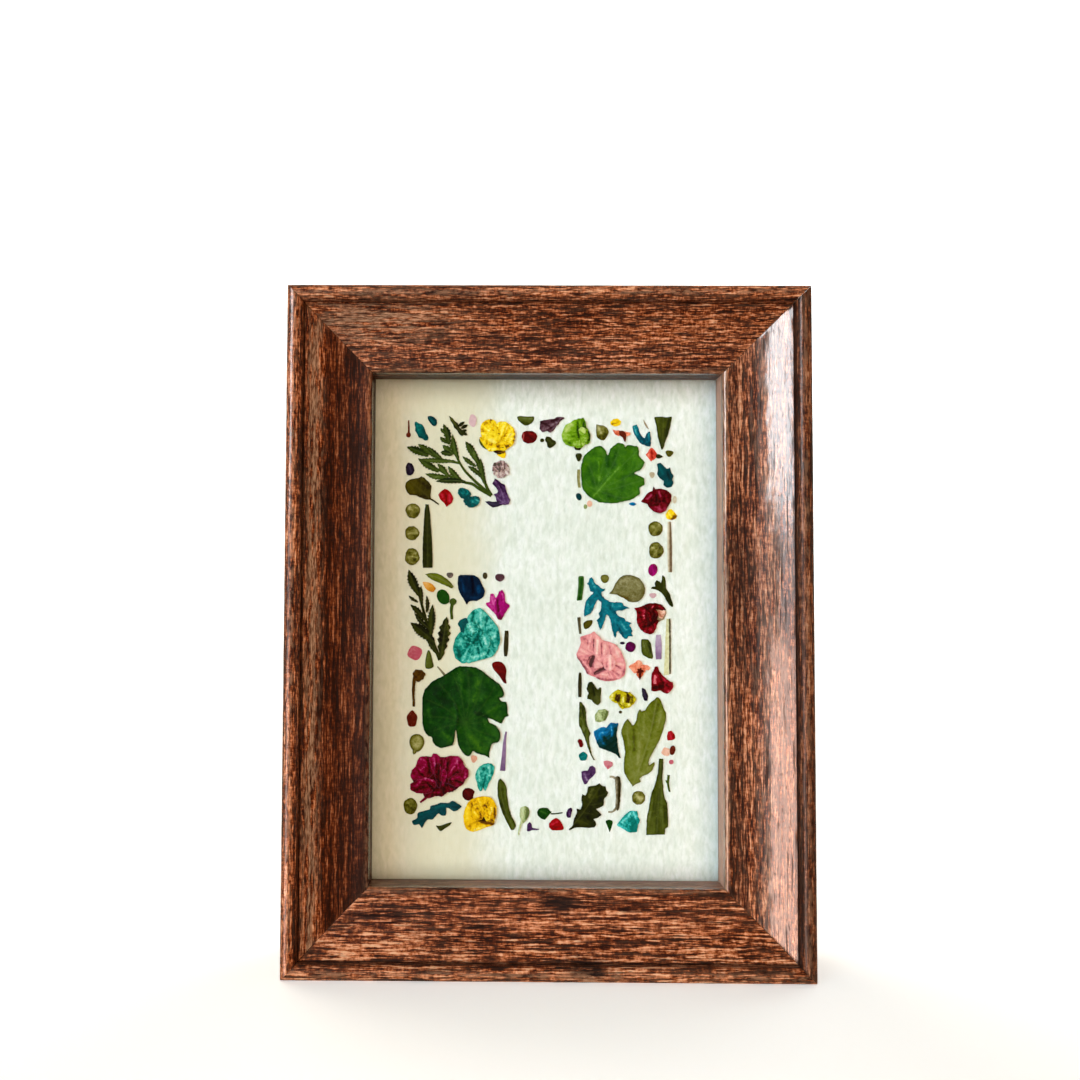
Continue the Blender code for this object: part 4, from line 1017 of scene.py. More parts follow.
def leaf(name, slot, mat, *rings, node=True, **kw):
    """One-sheet specimen. node: it stands for the CAD node of that name."""
    seed = sum(ord(c) * (k + 3) for k, c in enumerate(name)) % 9973
    kw.setdefault("seed", seed)
    p = Pressed(name + ("_pressed" if node else ""), slot, name if node else None)
    p.sheet(P[mat], rings, **kw)
    return p.done()


TINY = dict(step=0.75, amp=0.12, base=0.07, wob=0.05, wob_s=5.0, edge=0.06, edge_w=1.2, node=False)


# ------------------------------------------------- specimens: upper part, left of the cross
leaf("petal_teal_narrow", "teal", "teal_double", ol(414.7, 422.7, 416.3, 421.7, 419.3, 424, 422, 424.7, 424, 427.3, 425.3, 431.3, 427, 434.7, 428.7, 438, 427.7, 440.7,
     425.3, 441, 422, 439, 418.7, 437.7, 417, 434, 415.3, 431.3, 415.3, 428, 414.7, 425.3), tone=down(415, 421, 428, 441, 0.42, 0.12), crease=0.15, crease_s=4,
     tone_crease=0.3, step=0.8, veins=[(mid(427, 440, 416.5, 423), 0.5, 0.6)], marks=[([(424, 428), (426.5, 436)], 1.3, -0.25), ([(417, 425), (419.5, 433)], 1.0, 0.2)])
leaf("sprig_dark_bit", "dark_green", "fern_dark", blade(463, 436, 449, 416, 5.5, ends=(0.5, 0.0), lobes=3, depth=0.3), blade(458, 427, 464.7, 422, 3.4),
     blade(461, 429, 468, 425, 3.4), blade(461, 432, 467, 430.5, 3.2), blade(462, 433, 467.6, 435.5, 3), step=0.75, tone=0.42,
     veins=[(mid(463, 436, 450, 417), 0.5, 0.8)], marks=[([(451, 418), (456, 426)], 1.2, 0.25)])

b = Pressed("blossom_yellow_top_pressed", "yellow", "blossom_yellow_top")
Y = P["yellow"]
b.sheet(P["dark_brown"], [ol(491, 449, 506, 447, 505, 452.5, 500, 455, 495, 453.4)], base=0.08, tone=0.25, seed=3, step=0.8)
b.sheet(P["sepal"], [ol(478.7, 439, 484, 441, 486, 446, 489, 451, 485.3, 449.3, 482, 447.3, 479.3, 443.3)], base=0.1, tone=0.35, seed=4, step=0.8)
b.sheet(Y, [ol(486, 430, 500, 427, 509, 431, 509, 442, 498, 446, 487, 442)], base=0.14, tone=0.35, seed=9, step=1.0)
b.flap(Y, ol(479, 438, 484, 436, 492, 438, 500, 439, 508, 440, 513.3, 445.3, 508.7, 448, 505, 451.3, 498, 450.5, 492, 451.5, 488.7, 452, 484, 446.5, 481, 442), face=-92,
       z0=0.30, z1=0.26, tone=0.46, seed=4, crumple=0.25, deep=0.5, marks=[([(487, 443), (496, 446.5), (506, 446)], 1.7, -0.24), ([(489, 450), (497, 449)], 0.9, 0.25), ([(511, 444.5), (506, 448)], 1.0, -0.3)])
b.flap(Y, ol(502.5, 427, 506, 422.3, 510, 425.3, 514, 429.3, 515.3, 434, 515, 440, 513.3, 445.3, 508, 444, 503, 440, 500.5, 434), face=5, z0=0.32, z1=0.42, tone=0.52, seed=1,
       deep=0.65, crumple=0.28, marks=[([(514, 430), (514.6, 436), (513.6, 443)], 1.2, -0.38), ([(505, 441), (511, 434)], 0.9, 0.35), ([(504, 437), (508, 431)], 0.8, -0.25), ([(508, 443), (512.5, 438.5)], 0.8, 0.25)])
b.flap(Y, ol(480.7, 434, 480.3, 427.3, 482, 423.3, 486, 420.7, 490.7, 419.3, 495.3, 421.3, 497, 426, 497, 433, 494, 438, 488, 440, 482, 439.5), face=140, z0=0.36, z1=0.5,
       tone=0.55, seed=2, deep=0.6, crumple=0.28, marks=[([(482.5, 431), (484, 425.5), (488, 423.5)], 2.0, -0.22), ([(490.7, 421)], 1.6, -0.5), ([(486.5, 437), (491, 427)], 0.9, 0.3), ([(493.5, 425), (494.5, 434)], 0.9, -0.25)])
b.flap(Y, ol(495, 425, 496.7, 424, 500.7, 422, 506, 422.3, 508, 426.5, 506.5, 432, 503, 437, 498, 439.5, 494.5, 436, 493.5, 430), face=80, z0=0.5, z1=0.66, tone=0.60, seed=3,
       deep=0.6, crumple=0.28, marks=[([(498, 434.7)], 1.3, -0.5), ([(508, 432.7)], 1.3, -0.5), ([(501, 436), (503.5, 426)], 0.9, 0.25), ([(496.5, 427), (498.5, 431)], 0.8, -0.3)])
b.flap(Y, ol(488, 433, 492, 431, 497, 433.5, 501, 437, 500, 442, 495, 444.5, 489, 442.5, 486, 438), face=-120, z0=0.62, z1=0.6, tone=0.66, seed=7, crumple=0.25,
       marks=[([(493.3, 436.7)], 1.1, -0.5), ([(489, 440), (495, 442.5)], 0.8, 0.3), ([(497, 441.5)], 1.3, -0.35)])
b.sheet(Y, [ol(499, 452.5, 505, 451.3, 506, 454.7, 504.7, 458.7, 500.7, 458, 496.7, 454.7)], base=0.14, tone=0.5, seed=6, step=0.75, marks=[([(497.5, 453.6), (504.5, 452.6)], 1.0, -0.6)])
b.done()

for name, seed, stems, parts in (
    ("fern_right", 5, [([(477, 460), (483, 476), (486.3, 486.7), (491.3, 496)], 3.0)],
     [(475.3, 460.5, 465.3, 441.7, 7.2, 0.5), (479.6, 466.5, 472.3, 447.5, 5.4, 0.42), (476.5, 467.2, 462.3, 456.5, 4.4, 0.5), (481.8, 477.8, 467.7, 466.3, 4.6, 0.45),
      (482.7, 477, 475.6, 453.7, 5.2, 0.35), (484.9, 485, 480.7, 458.7, 5.8, 0.5)]),
    ("fern_middle", 11, [([(450, 445.3), (457.3, 458.7), (464, 470), (472, 478.7), (485.3, 490.7), (491.3, 496)], 2.8), ([(431, 456), (446, 461), (459.3, 463.3)], 2.2)],
     [(449.5, 445.5, 443.3, 424.3, 7.0, 0.5), (446.6, 434.8, 440.3, 428.7, 3.5, 0.42), (448, 443.8, 440, 437.3, 4.2, 0.42), (452.6, 455.4, 440.3, 452.7, 5.5, 0.4),
      (453.6, 455.4, 442.5, 445.5, 6.2, 0.48), (458.4, 460.6, 452.6, 434.5, 5.6, 0.5), (429.4, 456.4, 406.7, 447.2, 7.4, 0.4), (432.7, 455.9, 418, 444.5, 5.8, 0.5),
      (442.5, 459.8, 427.9, 446.8, 5.2, 0.52), (456, 461.8, 418.5, 459.5, 4.8, 0.5)]),
    ("fern_left", 19, [([(491.3, 496), (478.7, 488.7), (472, 484.3), (462, 482), (448.7, 476), (434, 467.3)][::-1], 3.0)],
     [(439.8, 472.3, 418, 458.7, 7.0, 0.42), (449.2, 477.6, 425, 474, 5.6, 0.5), (466, 482, 435.7, 481.7, 5.6, 0.38), (449.2, 477.8, 437.3, 463.7, 5.4, 0.5),
      (461.8, 481.8, 448, 466.3, 5.8, 0.48)])):
    b = Pressed(name + "_pressed", "dark_green", name)
    b.fan(P["fern"], parts, stems=stems, seed=seed)
    b.done()

p = Pressed("flower_purple_pressed", "purple", "flower_purple")
p.sheet(P["slate"], [ol(484.7, 502, 488, 501.3, 492, 502, 496, 502, 500, 501.5, 503, 504.7, 498.7, 506.7, 492.7, 508, 488.7, 505.3)], base=0.08, tone=0.6, seed=2, step=0.8,
        marks=[([(487, 503.5), (496, 504.6)], 1.0, 0.3)])
p.sheet(P["purple"], [ol(494.7, 478.7, 498, 480.7, 502, 484, 505, 485.3, 506, 490.7, 508, 496, 510.3, 500, 508.7, 504.7, 504.7, 505.5, 501, 504.5, 497, 503, 496, 499.3,
        495.3, 496.7, 493.3, 494.7, 497.3, 493.3, 498, 491.3, 495.3, 487.3, 492, 484, 494, 481.3)],
        base=0.18, crease=0.3, crease_s=4, stretch=(1, 3, 25), tone=down(496, 478, 508, 506, 0.2, 0.55), tone_crease=0.6, seed=8, step=0.8,
        marks=[([(495, 481), (501, 490), (504, 501)], 1.0, 0.3), ([(498.5, 484), (503, 492)], 1.0, -0.3), ([(497, 498), (503, 503)], 1.2, 0.3)])
p.done()
leaf("leaf_heart_olive", "olive", "heart", ol(421.3, 476.7, 424, 477.7, 428.7, 482, 431.7, 486, 431.3, 490, 430.7, 495.3, 431.3, 500, 426.7, 500, 420.7, 498, 415.3, 495.3,
     410, 495.3, 406.7, 492, 405.3, 487.3, 406, 482.7, 410.7, 479.3, 416.7, 478.7, 420, 477.7), strip([(430.7, 499.3), (434.7, 501.7), (438.7, 504.7)], 1.8, 1.2),
     tone=down(408, 482, 432, 494, 0.7, 0.3), wob=0.12, veins=feather(431, 499, 409, 480, 9, 4, width=0.4),
     marks=[([(409, 484), (414, 492)], 2.0, 0.2), ([(420, 481), (428, 488)], 1.6, -0.25), ([(418, 495), (427, 497.5)], 1.4, -0.2), ([(423, 479.6)], 1.2, 0.25)])
leaf("petal_crimson", "crimson", "red", ol(444.7, 489, 448.7, 490.7, 452, 494.7, 453.3, 498.7, 452, 503.3, 448.7, 505.3, 446.7, 507.3, 444.7, 504, 442, 501.3, 440, 499.3,
     438, 494.7, 440.7, 492), crease=0.25, crease_s=4, tone=down(440, 490, 450, 505, 0.4, 0.6), tone_crease=0.4, step=0.8,
     marks=[([(446.5, 504), (446, 494)], 1.0, -0.35), ([(442, 495), (444, 500)], 0.9, 0.3), ([(449.5, 495), (450.5, 501)], 1.0, 0.35)])
p = Pressed("petal_teal_double_pressed", "teal", "petal_teal_double")
p.flap(P["teal_double"], ol(458.7, 489.3, 462, 488, 466, 489, 469.3, 491.3, 471.3, 494.7, 469.3, 498, 465.3, 500, 462, 498.7, 458.7, 496, 457.7, 492.7), face=120, z0=0.16, z1=0.3,
       tone=0.20, seed=5, deep=0.6, amp=0.5, marks=[([(463.3, 494)], 2.0, 0.22), ([(459.5, 492), (462, 497)], 0.9, -0.3), ([(467, 491), (468, 496)], 1.0, 0.2)])
p.flap(P["teal_double"], ol(464.7, 498, 468.7, 496.7, 472.7, 496.7, 476.7, 496, 479.7, 498.7, 480, 502, 477.3, 506, 473.3, 508, 469.3, 508, 465.3, 505.3, 463.3, 501.3), face=-35,
       z0=0.3, z1=0.45, tone=0.20, seed=9, deep=0.6, amp=0.5, marks=[([(472, 501.3)], 2.0, 0.25), ([(467, 500), (469, 505)], 0.9, -0.3), ([(475, 498.5), (478, 502)], 1.0, 0.3), ([(474, 505.5)], 1.2, -0.3)])
p.done()
leaf("bar_dark_leaf", "dark_green", "fern_dark", blade(427.8, 568, 427.2, 504.6, 10, peak=0.1, ends=(0.95, 0.35), n=60), tone=0.45, wob=0.12, wob_s=14,
     veins=[(mid(427.8, 568, 427.2, 505), 0.6, 0.9)] + [([(427.5, y), (431.5, y - 5)], 0.4, 0.35) for y in range(515, 566, 6)]
     + [([(427.5, y), (423.5, y - 5)], 0.4, 0.35) for y in range(515, 566, 6)])

leaf("sliver_brown", "brown", "maroon", strip([(408.8, 420.6), (408.9, 430), (408.6, 437)], 1.3, 2.6), blob(408.6, 435.3, 4.8, 5), tone=0.6, **TINY)
leaf("petal_navy_teal", "teal", "teal_dark", ol(427.7, 416.7, 430.7, 416.3, 434, 417.3, 436.7, 420, 437.3, 423.3, 436, 426, 434, 426.7, 431.3, 424.7, 429.3, 422, 427.7, 419.3),
     tone=0.4, marks=[([(430, 418.5), (435, 424.5)], 0.9, 0.3), ([(434.5, 419.5)], 1.2, -0.25)], **TINY)
leaf("petal_pale_pink", "pink", "pale_pink", blob(472.7, 421, 7.6, 12.5, waves=((4, 0.05, 10),)), tone=0.45, **TINY)
p = Pressed("petal_mauve_crumpled_pressed", "pink")
p.petal(P["mauve"], 501.5, 471.5, 17, 13, face=-70, z0=0.2, z1=0.3, tone=0.62, deep=0.9, crumple=0.35, seed=202, step=0.8)
p.petal(P["mauve"], 499.5, 467, 15.5, 11, face=110, z0=0.34, z1=0.45, tone=0.38, deep=0.9, crumple=0.35, seed=203, step=0.8,
        marks=[([(494, 466), (500, 464)], 1.1, -0.3), ([(503, 468)], 1.4, 0.35)])
p.done()
leaf("petal_slate", "navy", "slate", ol(408, 462.7, 412, 463.7, 414, 467.3, 414.7, 470.7, 413.3, 474, 410.7, 475.7, 407.3, 475.3, 406, 472, 405.7, 466.7), tone=0.4,
     marks=[([(409, 466), (411.5, 472)], 1.2, 0.3), ([(407.5, 473)], 1.4, -0.2)], **TINY)
for i, (x, y, w, h) in enumerate(((413, 511, 14.6, 15), (412.2, 533.3, 14.2, 14.2), (412.2, 556.8, 14.4, 17))):
    leaf("disc_olive_left_%d" % (i + 1), "olive", "olive_disc", blob(x, y, w, h, waves=((3, 0.03, 60 * i), (5, 0.02, 10 + 70 * i))),
         tone=0.42, base=0.07, wob=0.10, edge=0.12, node=False, step=0.9, crease=0.1, tone_crease=0.4, amp=0.35, seed=31 + i,
         veins=[(mid(x - 4, y + 6, x + 3, y - 6), 0.5, 0.7), (mid(x - 2, y + 2, x + 5, y + 1), 0.35, 0.5), (mid(x - 1, y - 1, x - 5, y - 2), 0.35, 0.5)],
         marks=[([(x - 3, y - 3)], 2.0, 0.30 - 0.45 * (i > 0)), ([(x + 3, y + 3)], 2.4, -0.30), ([(x - 4, y + 2 - i), (x, y), (x + 5, y - 1 + i)], 0.8, 0.30 * (i > 0)), ([(x + 4, y - 3)], 1.4, 0.25), ([(x - 4, y + 4)], 1.3, -0.2)])

# --------------------------------------------------------- upper part, right of the cross
p = Pressed("petal_plum_pressed", "purple", "petal_plum")
p.sheet(P["plum"], [ol(540, 421.3, 547.3, 420, 554, 419.3, 556.7, 417.3, 563.3, 417.3, 564.7, 418.7, 560, 421.3, 558.7, 424.7, 556, 426.7, 553.3, 431.3, 550, 433.3,
        546.7, 431.3, 542, 432.7, 539.3, 429.3, 540, 424.7)], base=0.12, crease=0.35, crease_s=4.5, stretch=(2.2, 1, 30), tone=0.45, tone_crease=0.7, seed=4, step=0.8,
        marks=[([(542, 423), (551, 428)], 1.2, -0.3), ([(545, 430), (556, 423)], 1.0, 0.3), ([(558, 419.5), (551, 421.5)], 1.0, -0.25)])
p.done()
b = Pressed("blossom_green_pressed", "green", "blossom_green")
G = P["green_blossom"]
b.sheet(P["sepal"], [ol(573, 444, 583, 443, 584.7, 445.3, 582, 448, 580, 450.5, 575, 450.5, 573.5, 447)], base=0.08, tone=0.1, seed=2, step=0.8)
b.flap(G, ol(575, 422, 578, 418.7, 580.7, 419.3, 583.3, 418, 585.3, 422, 586, 427.3, 588.7, 430.7, 585, 433, 579, 433, 575, 429), face=60, z0=0.22, z1=0.4, tone=0.22, seed=11,
       marks=[([(583, 421), (584, 428)], 1.2, -0.2), ([(580, 421.5), (579, 427)], 0.9, 0.2)])
b.flap(G, ol(577, 431, 583, 428.5, 588.7, 430.7, 590, 435.3, 590, 442, 588, 444.7, 584.7, 445.3, 580, 444, 576.5, 438), face=-5, z0=0.3, z1=0.4, tone=0.42, seed=12, deep=0.45,
       marks=[([(588.5, 432), (589.3, 438), (588, 443.5)], 1.3, -0.45), ([(584, 436), (585.5, 441)], 0.9, 0.2)])
b.flap(G, ol(577, 443, 574, 446.7, 570, 447.3, 564.7, 444.7, 562, 440, 561.3, 435.3, 562.7, 430.7, 565.3, 425.3, 570, 423.3, 573.3, 420.7, 577, 420, 579, 425, 578.5, 432, 579.5, 438),
       face=180, z0=0.5, z1=0.42, tone=0.46, deep=0.28, seed=14, pleats=4,
       marks=[([(571, 425), (566, 431)], 2.6, 0.2), ([(577.3, 423), (577.5, 430), (579, 438)], 1.3, -0.35), ([(565, 441), (571, 444.5)], 1.6, -0.25), ([(569, 434), (574, 438)], 1.2, -0.12)])
b.flap(G, ol(572, 446.8, 573, 442, 578, 440.5, 583, 441.5, 585.5, 444.5, 582, 448, 577.3, 448.7), face=-90, z0=0.5, z1=0.5, tone=0.66, seed=15, step=0.8,
       marks=[([(575, 447.6), (582, 446.8)], 0.9, -0.35)])
b.flap(G, ol(578, 430, 581, 427.5, 585, 429, 585.5, 433.5, 582, 436, 578.8, 434.5), face=60, z0=0.55, z1=0.7, tone=0.84, seed=16, step=0.8, deep=0.3,
       marks=[([(579, 432), (583, 434)], 0.8, -0.25)])
b.flap(G, ol(579.5, 435.5, 584, 434.5, 587, 438, 586, 442.5, 582, 442.5, 579.8, 439.5), face=-30, z0=0.52, z1=0.66, tone=0.56, seed=17, step=0.8)
b.done()
leaf("half_disc_olive", "olive", "wedge", ol(516.7, 417.3, 520, 416.3, 526.7, 417, 534, 416.7, 534, 420, 532, 423.3, 528, 425.7, 524.7, 426, 520.7, 423.3, 518, 420.7), tone=0.62,
     veins=[(mid(518, 418, 532, 420.5), 0.5, 0.5)], marks=[([(521, 422), (528, 424)], 1.3, -0.3), ([(524, 418.6), (531, 419)], 1.2, 0.25)], **TINY)
# painted highlight: the light stroke on the left
leaf("petal_red_round", "crimson", "dark_red", ol(525.3, 431.3, 532, 431.3, 535.7, 433.3, 537.3, 436.7, 536, 440.7, 532.7, 443.3, 527.3, 444, 523.3, 442, 521.3, 437.3, 522.7, 432.7),
     tone=0.42, crease=0.2, tone_crease=0.4, marks=[([(523.3, 434), (522.8, 440)], 1.1, 0.75), ([(528, 436), (533, 440)], 1.2, -0.25), ([(529, 433.3), (534, 435.5)], 0.9, 0.3)], **TINY)
leaf("scrap_dark_lobed", "dark_green", "sprig", ol(546, 436.7, 550, 437.3, 552.7, 440, 555.3, 441.3, 556, 444, 553.3, 446.7, 550, 448.7, 547.3, 447.3, 546.7, 443.3, 544.7, 440.7),
     blob(542, 440.7, 4.2, 3.8), tone=0.45, marks=[([(548, 440), (552, 444)], 1.0, 0.3), ([(549, 446)], 1.2, -0.2)], **TINY)
leaf("seed_leaf_olive", "olive", "olive_disc", ol(596, 424.7, 599.3, 425.3, 603.3, 426, 606.7, 428, 608.7, 432, 607.3, 436, 604, 440.7, 600.7, 440.7, 596.7, 438, 595.7, 432.7),
     tone=down(600, 426, 602, 440, 0.75, 0.1), tone_crease=0.5, crease=0.15, marks=[([(598, 427), (601, 434)], 1.2, 0.4), ([(605, 429), (605, 437)], 1.2, -0.25), ([(599, 437)], 1.3, -0.3)], **TINY)
leaf("petal_yellow_bit", "yellow", "yellow", ol(609.9, 422.6, 612.9, 419.5, 617.4, 418.8, 621.2, 421.8, 619.7, 425.6, 615.1, 427.1, 611, 425.6), tone=0.5, tone_crease=0.5,
     marks=[([(612, 424.5), (618, 423)], 0.9, -0.3)], **TINY)
p = Pressed("flower_coral_small_pressed", "coral", "flower_coral_small")
p.flap(P["coral"], ol(612.1, 429.7, 615.1, 430.8, 620.4, 430.8, 621.5, 434, 618.2, 436.9, 614.4, 434.6), face=170, z0=0.14, z1=0.26, tone=0.4, seed=5, step=0.75)
p.flap(P["coral"], ol(621, 431, 622.7, 431.6, 630.2, 433.1, 630.2, 435.4, 626.4, 436.9, 622.5, 437, 620.6, 434), face=5, z0=0.16, z1=0.28, tone=0.5, seed=6, step=0.75)
p.sheet(P["maroon"], [ol(618.5, 431.6, 623, 431.2, 625.5, 434, 626, 438, 625.3, 442.1, 623.8, 442.1, 622.7, 438.4, 619.5, 436)], base=0.3, tone=0.55, seed=6, step=0.7)
p.done()
leaf("petal_teal_vee", "teal", "teal", ol(632.1, 426.3, 636.2, 424.8, 637.7, 427.1, 639.3, 433.1, 642.3, 437.6, 644.5, 439.1, 646, 433.9, 649.8, 431.6, 650.6, 438.4, 650.6, 445.2,
     649.1, 447, 644.5, 445.9, 640, 443.7, 636.2, 438.4, 633.2, 433.1), tone=down(634, 425, 648, 446, 0.7, 0.05), crease=0.2, tone_crease=0.4, step=0.8,
     veins=[(mid(648, 446, 634.5, 426.5, -2), 0.5, 0.5)], marks=[([(634, 428), (637, 435)], 0.9, 0.3), ([(648.5, 434), (648.8, 441)], 0.8, 0.35), ([(638, 431), (644, 442)], 0.9, -0.3)])
leaf("sliver_beige", "brown", "beige", ol(643, 419.5, 645.3, 423.3, 649, 430, 646.5, 428.5, 644, 424.5), tone=0.35, **TINY)
leaf("wedge_leaf_small", "olive", "wedge", ol(653.6, 417.3, 660.4, 416.9, 666.4, 417.7, 671.7, 416.9, 670.2, 425.6, 667.9, 434.6, 664.9, 442.1, 662.6, 449.7, 661.1, 450.4,
     659.6, 445.2, 657.3, 436.9, 656.2, 427.1), tone=down(655, 417, 663, 450, 0.4, 0.12), wob=0.12, veins=[(mid(663, 418, 662, 448), 0.5, 0.6), (mid(659, 418, 661, 444), 0.4, 0.4),
     (mid(667, 418, 663, 444), 0.4, 0.4)], marks=[([(656.5, 419), (659.5, 436)], 1.1, 0.22), ([(668.6, 420), (665, 436)], 1.2, -0.25), ([(663.5, 424), (662.5, 438)], 1.3, 0.15)])
leaf("flower_coral_red", "coral", "coral_red", ol(651.3, 447.8, 654.3, 450.4, 656.6, 454.2, 657.3, 457.2, 652.8, 460.2, 650.6, 462.1, 648.3, 458.7, 645.3, 455, 647.5, 452.7, 649, 449.7),
     tone=0.55, crease=0.25, tone_crease=0.5, marks=[([(651, 451), (652, 458)], 0.9, -0.5), ([(648, 456)], 1.3, 0.3)], **TINY)
leaf("calyx_dark", "dark_green", "sprig", blade(655.5, 456.5, 662.6, 457.2, 4.2, peak=0.3, ends=(0.4, 0)), tone=0.3, **{**TINY, "base": 0.22})
leaf("scrap_green_bit", "green", "olive_disc", blob(669, 453.6, 7.4, 6.2, waves=((3, 0.12, 20),)), tone=0.25, **TINY)
p = Pressed("leaf_lobed_bright_pressed", "green", "leaf_lobed_bright")
bright = ol(580.8, 465.8, 583.6, 456.3, 593.1, 447.8, 600.7, 445.9, 605.5, 450.6, 607.4, 456.3, 610.2, 448.7, 617.8, 443, 623.4, 444.6, 625, 448, 627, 445.2, 637.8, 446.8, 638.7, 456.3, 644.4, 462,
            641.6, 469.6, 633, 473.4, 643.5, 478.2, 644.4, 484.8, 638.7, 488.6, 639.7, 494.3, 631.1, 500, 614, 503.8, 598.8, 502.9, 587.4, 496.2, 581.7, 488.6, 580.8, 477.2)
hub = (596.5, 490.5)
ribs = [(hub, (608, 480), (622, 466), (640, 448.5)), (hub, (607, 475), (616, 458), (620.5, 444)), (hub, (601, 472), (604, 458), (600, 448.5)),
        (hub, (593, 476), (588.5, 465)), (hub, (612, 484), (628, 476), (643, 462)), (hub, (614, 489), (630, 484), (642, 481)),
        (hub, (612, 496), (626, 498), (636, 492)), (hub, (601, 499), (612, 502.5)), (hub, (588, 486), (584, 480))]
side = []
for a, q, *rest in [r for r in ribs if len(r) == 4]:
    line = polyline([a, q, *rest])
    for k in range(6, len(line) - 4, 5):
        p0, p1 = line[k], line[k + 1]
        t = (p1 - p0) / np.hypot(*(p1 - p0))
        for sgn in (-1, 1):
            side.append(([tuple(p0), (p0[0] + (t[0] * 0.7 - t[1] * sgn) * 5, p0[1] + (t[1] * 0.7 + t[0] * sgn) * 5)], 0.35, 0.4))
p.sheet(P["green_lobed"], [bright], base=0.10, wob=0.20, wob_s=13, edge=0.18, edge_w=3, step=1.05, seed=17, veins=[(r, 0.6, 0.55) for r in ribs] + side, vein_h=0.03,
        tone=lambda x, y, d: 0.40 + 0.24 * fbm(x / 11, y / 11, 5, 3) + 0.1 * np.exp(-d / 3), amp=0.42,
        marks=[([(592, 498), (606, 482), (620, 466)], 1.1, 0.30), ([(599.3, 478), (599.3, 481)], 1.5, 0.35), ([(598.5, 462), (598.5, 472)], 1.1, 0.25), ([(607.3, 457), (607, 466)], 1.8, -0.35, 0.1),
               ([(588, 470), (594, 484)], 3.0, -0.2), ([(622, 478), (634, 474)], 2.2, -0.25), ([(616, 452), (613, 466)], 2.4, -0.18), ([(604, 494), (620, 500)], 2.6, -0.2), ([(632, 452), (636, 460)], 2.4, 0.15)])
p.done()
leaf("leaf_teal_small", "teal", "teal_dark", ol(656.6, 464, 660.4, 463.2, 663.4, 466.3, 666.4, 469.3, 669.4, 467.8, 670.9, 472.3, 673.2, 476, 671.7, 479.8, 673.2, 482.8, 670.9, 487.4,
     666.4, 488.1, 662.6, 485.1, 663.4, 481.3, 659.6, 479.1, 656.6, 474.5, 657.3, 470), tone=0.55, veins=[(mid(671, 487, 658, 465), 0.5, 0.7)], wob=0.12, step=0.85,
     marks=[([(659, 467), (662, 474)], 1.1, 0.25), ([(667, 472), (669, 479)], 1.3, -0.3), ([(667, 484)], 1.6, 0.2)])
b = Pressed("flower_burgundy_pressed", "crimson", "flower_burgundy")
B = P["burgundy"]
b.sheet(B, [ol(652.8, 486.6, 655.1, 489.6, 660.4, 488.9, 666.4, 490.4, 670.9, 494.9, 670.9, 500.9, 667.9, 506.2, 664.9, 511.5, 659.6, 513.7, 654.3, 512.2, 649.1, 508.5, 646.8, 503.9,
        643, 503.2, 640.4, 501.7, 643.8, 497.9, 646.8, 493.4, 652.1, 491.1)], base=0.12, tone=0.25, seed=3, crease=0.2, step=0.95)
b.flap(B, ol(659, 492, 666.4, 490.4, 670.9, 494.9, 670.9, 500.9, 667.9, 506.2, 661, 504, 657, 499), face=20, z0=0.26, z1=0.36, tone=0.18, seed=21, marks=[([(665, 494), (667, 502)], 1.1, 0.25)])
b.flap(B, ol(640.4, 501.7, 643.8, 497.9, 646.8, 493.4, 652.1, 491.1, 656, 495, 656, 501, 651, 505, 646.8, 503.9, 643, 503.2), face=165, z0=0.3, z1=0.42, tone=0.36, seed=22,
       marks=[([(647, 499), (651, 495.5)], 1.1, 0.5), ([(650, 502), (654, 498)], 0.9, -0.25)])
b.flap(B, ol(652, 503, 658, 501, 665, 503, 667.9, 506.2, 664.9, 511.5, 659.6, 513.7, 654.3, 512.2, 649.1, 508.5), face=-85, z0=0.36, z1=0.46, tone=0.55, seed=24,
       marks=[([(655, 507), (661, 510)], 1.0, 0.25), ([(651, 506), (658, 504.6)], 0.9, -0.3)])
b.flap(B, ol(653, 490.5, 655.1, 489.6, 660.4, 488.9, 664, 491, 664, 497, 660, 503, 654.5, 504, 651.5, 499.5, 652, 494), face=95, z0=0.5, z1=0.7, tone=0.28, seed=25, crumple=0.25,
       marks=[([(659.6, 496.4), (658, 492)], 1.0, 0.5), ([(655.5, 495), (656, 501)], 1.0, -0.25), ([(661, 500)], 1.2, 0.25)])
b.done()
leaf("petal_yellow_corner", "yellow", "yellow", ol(667.9, 510, 670.9, 509.2, 673.9, 512.2, 676.9, 516, 675.4, 519, 670.9, 520.5, 666.4, 519, 664.9, 515.2, 666.4, 512.2), tone=0.45,
     crease=0.3, tone_crease=0.6, marks=[([(675, 516.5), (672, 519.5)], 1.5, -0.6), ([(668, 513), (671, 517)], 0.9, 0.3)], **TINY)
leaf("smear_beige", "brown", "beige", ol(673.4, 496, 675.6, 496.8, 676, 501, 674.8, 504, 672.8, 503, 672.6, 499), tone=0.75, **TINY)
leaf("scrap_dark_pair", "dark_green", "sprig", blob(578.5, 457.2, 6, 8.2, waves=((3, 0.12, 0),)), tone=0.35, **TINY)
leaf("sliver_olive", "olive", "pale_stem", strip([(578.6, 469.8), (578.2, 479), (579.2, 488)], 3.0, 2.6), tone=0.35, **TINY)
leaf("petal_navy_tiny", "navy", "teal_dark", blob(578.6, 497, 5.4, 7.4, tilt=20), tone=0.3, **TINY)
leaf("petal_coral_faint", "coral", "peach", blob(589.4, 504, 5.4, 6.4), tone=0.6, **TINY)
leaf("scrap_olive_faint", "olive", "pale_green", blob(585.2, 507, 3.6, 4.8), tone=0.3, **TINY)
leaf("petal_blue_tiny", "teal", "blue", blade(628.8, 504.2, 636, 504.4, 3.4, ends=(0.2, 0)), tone=0.62, **TINY)
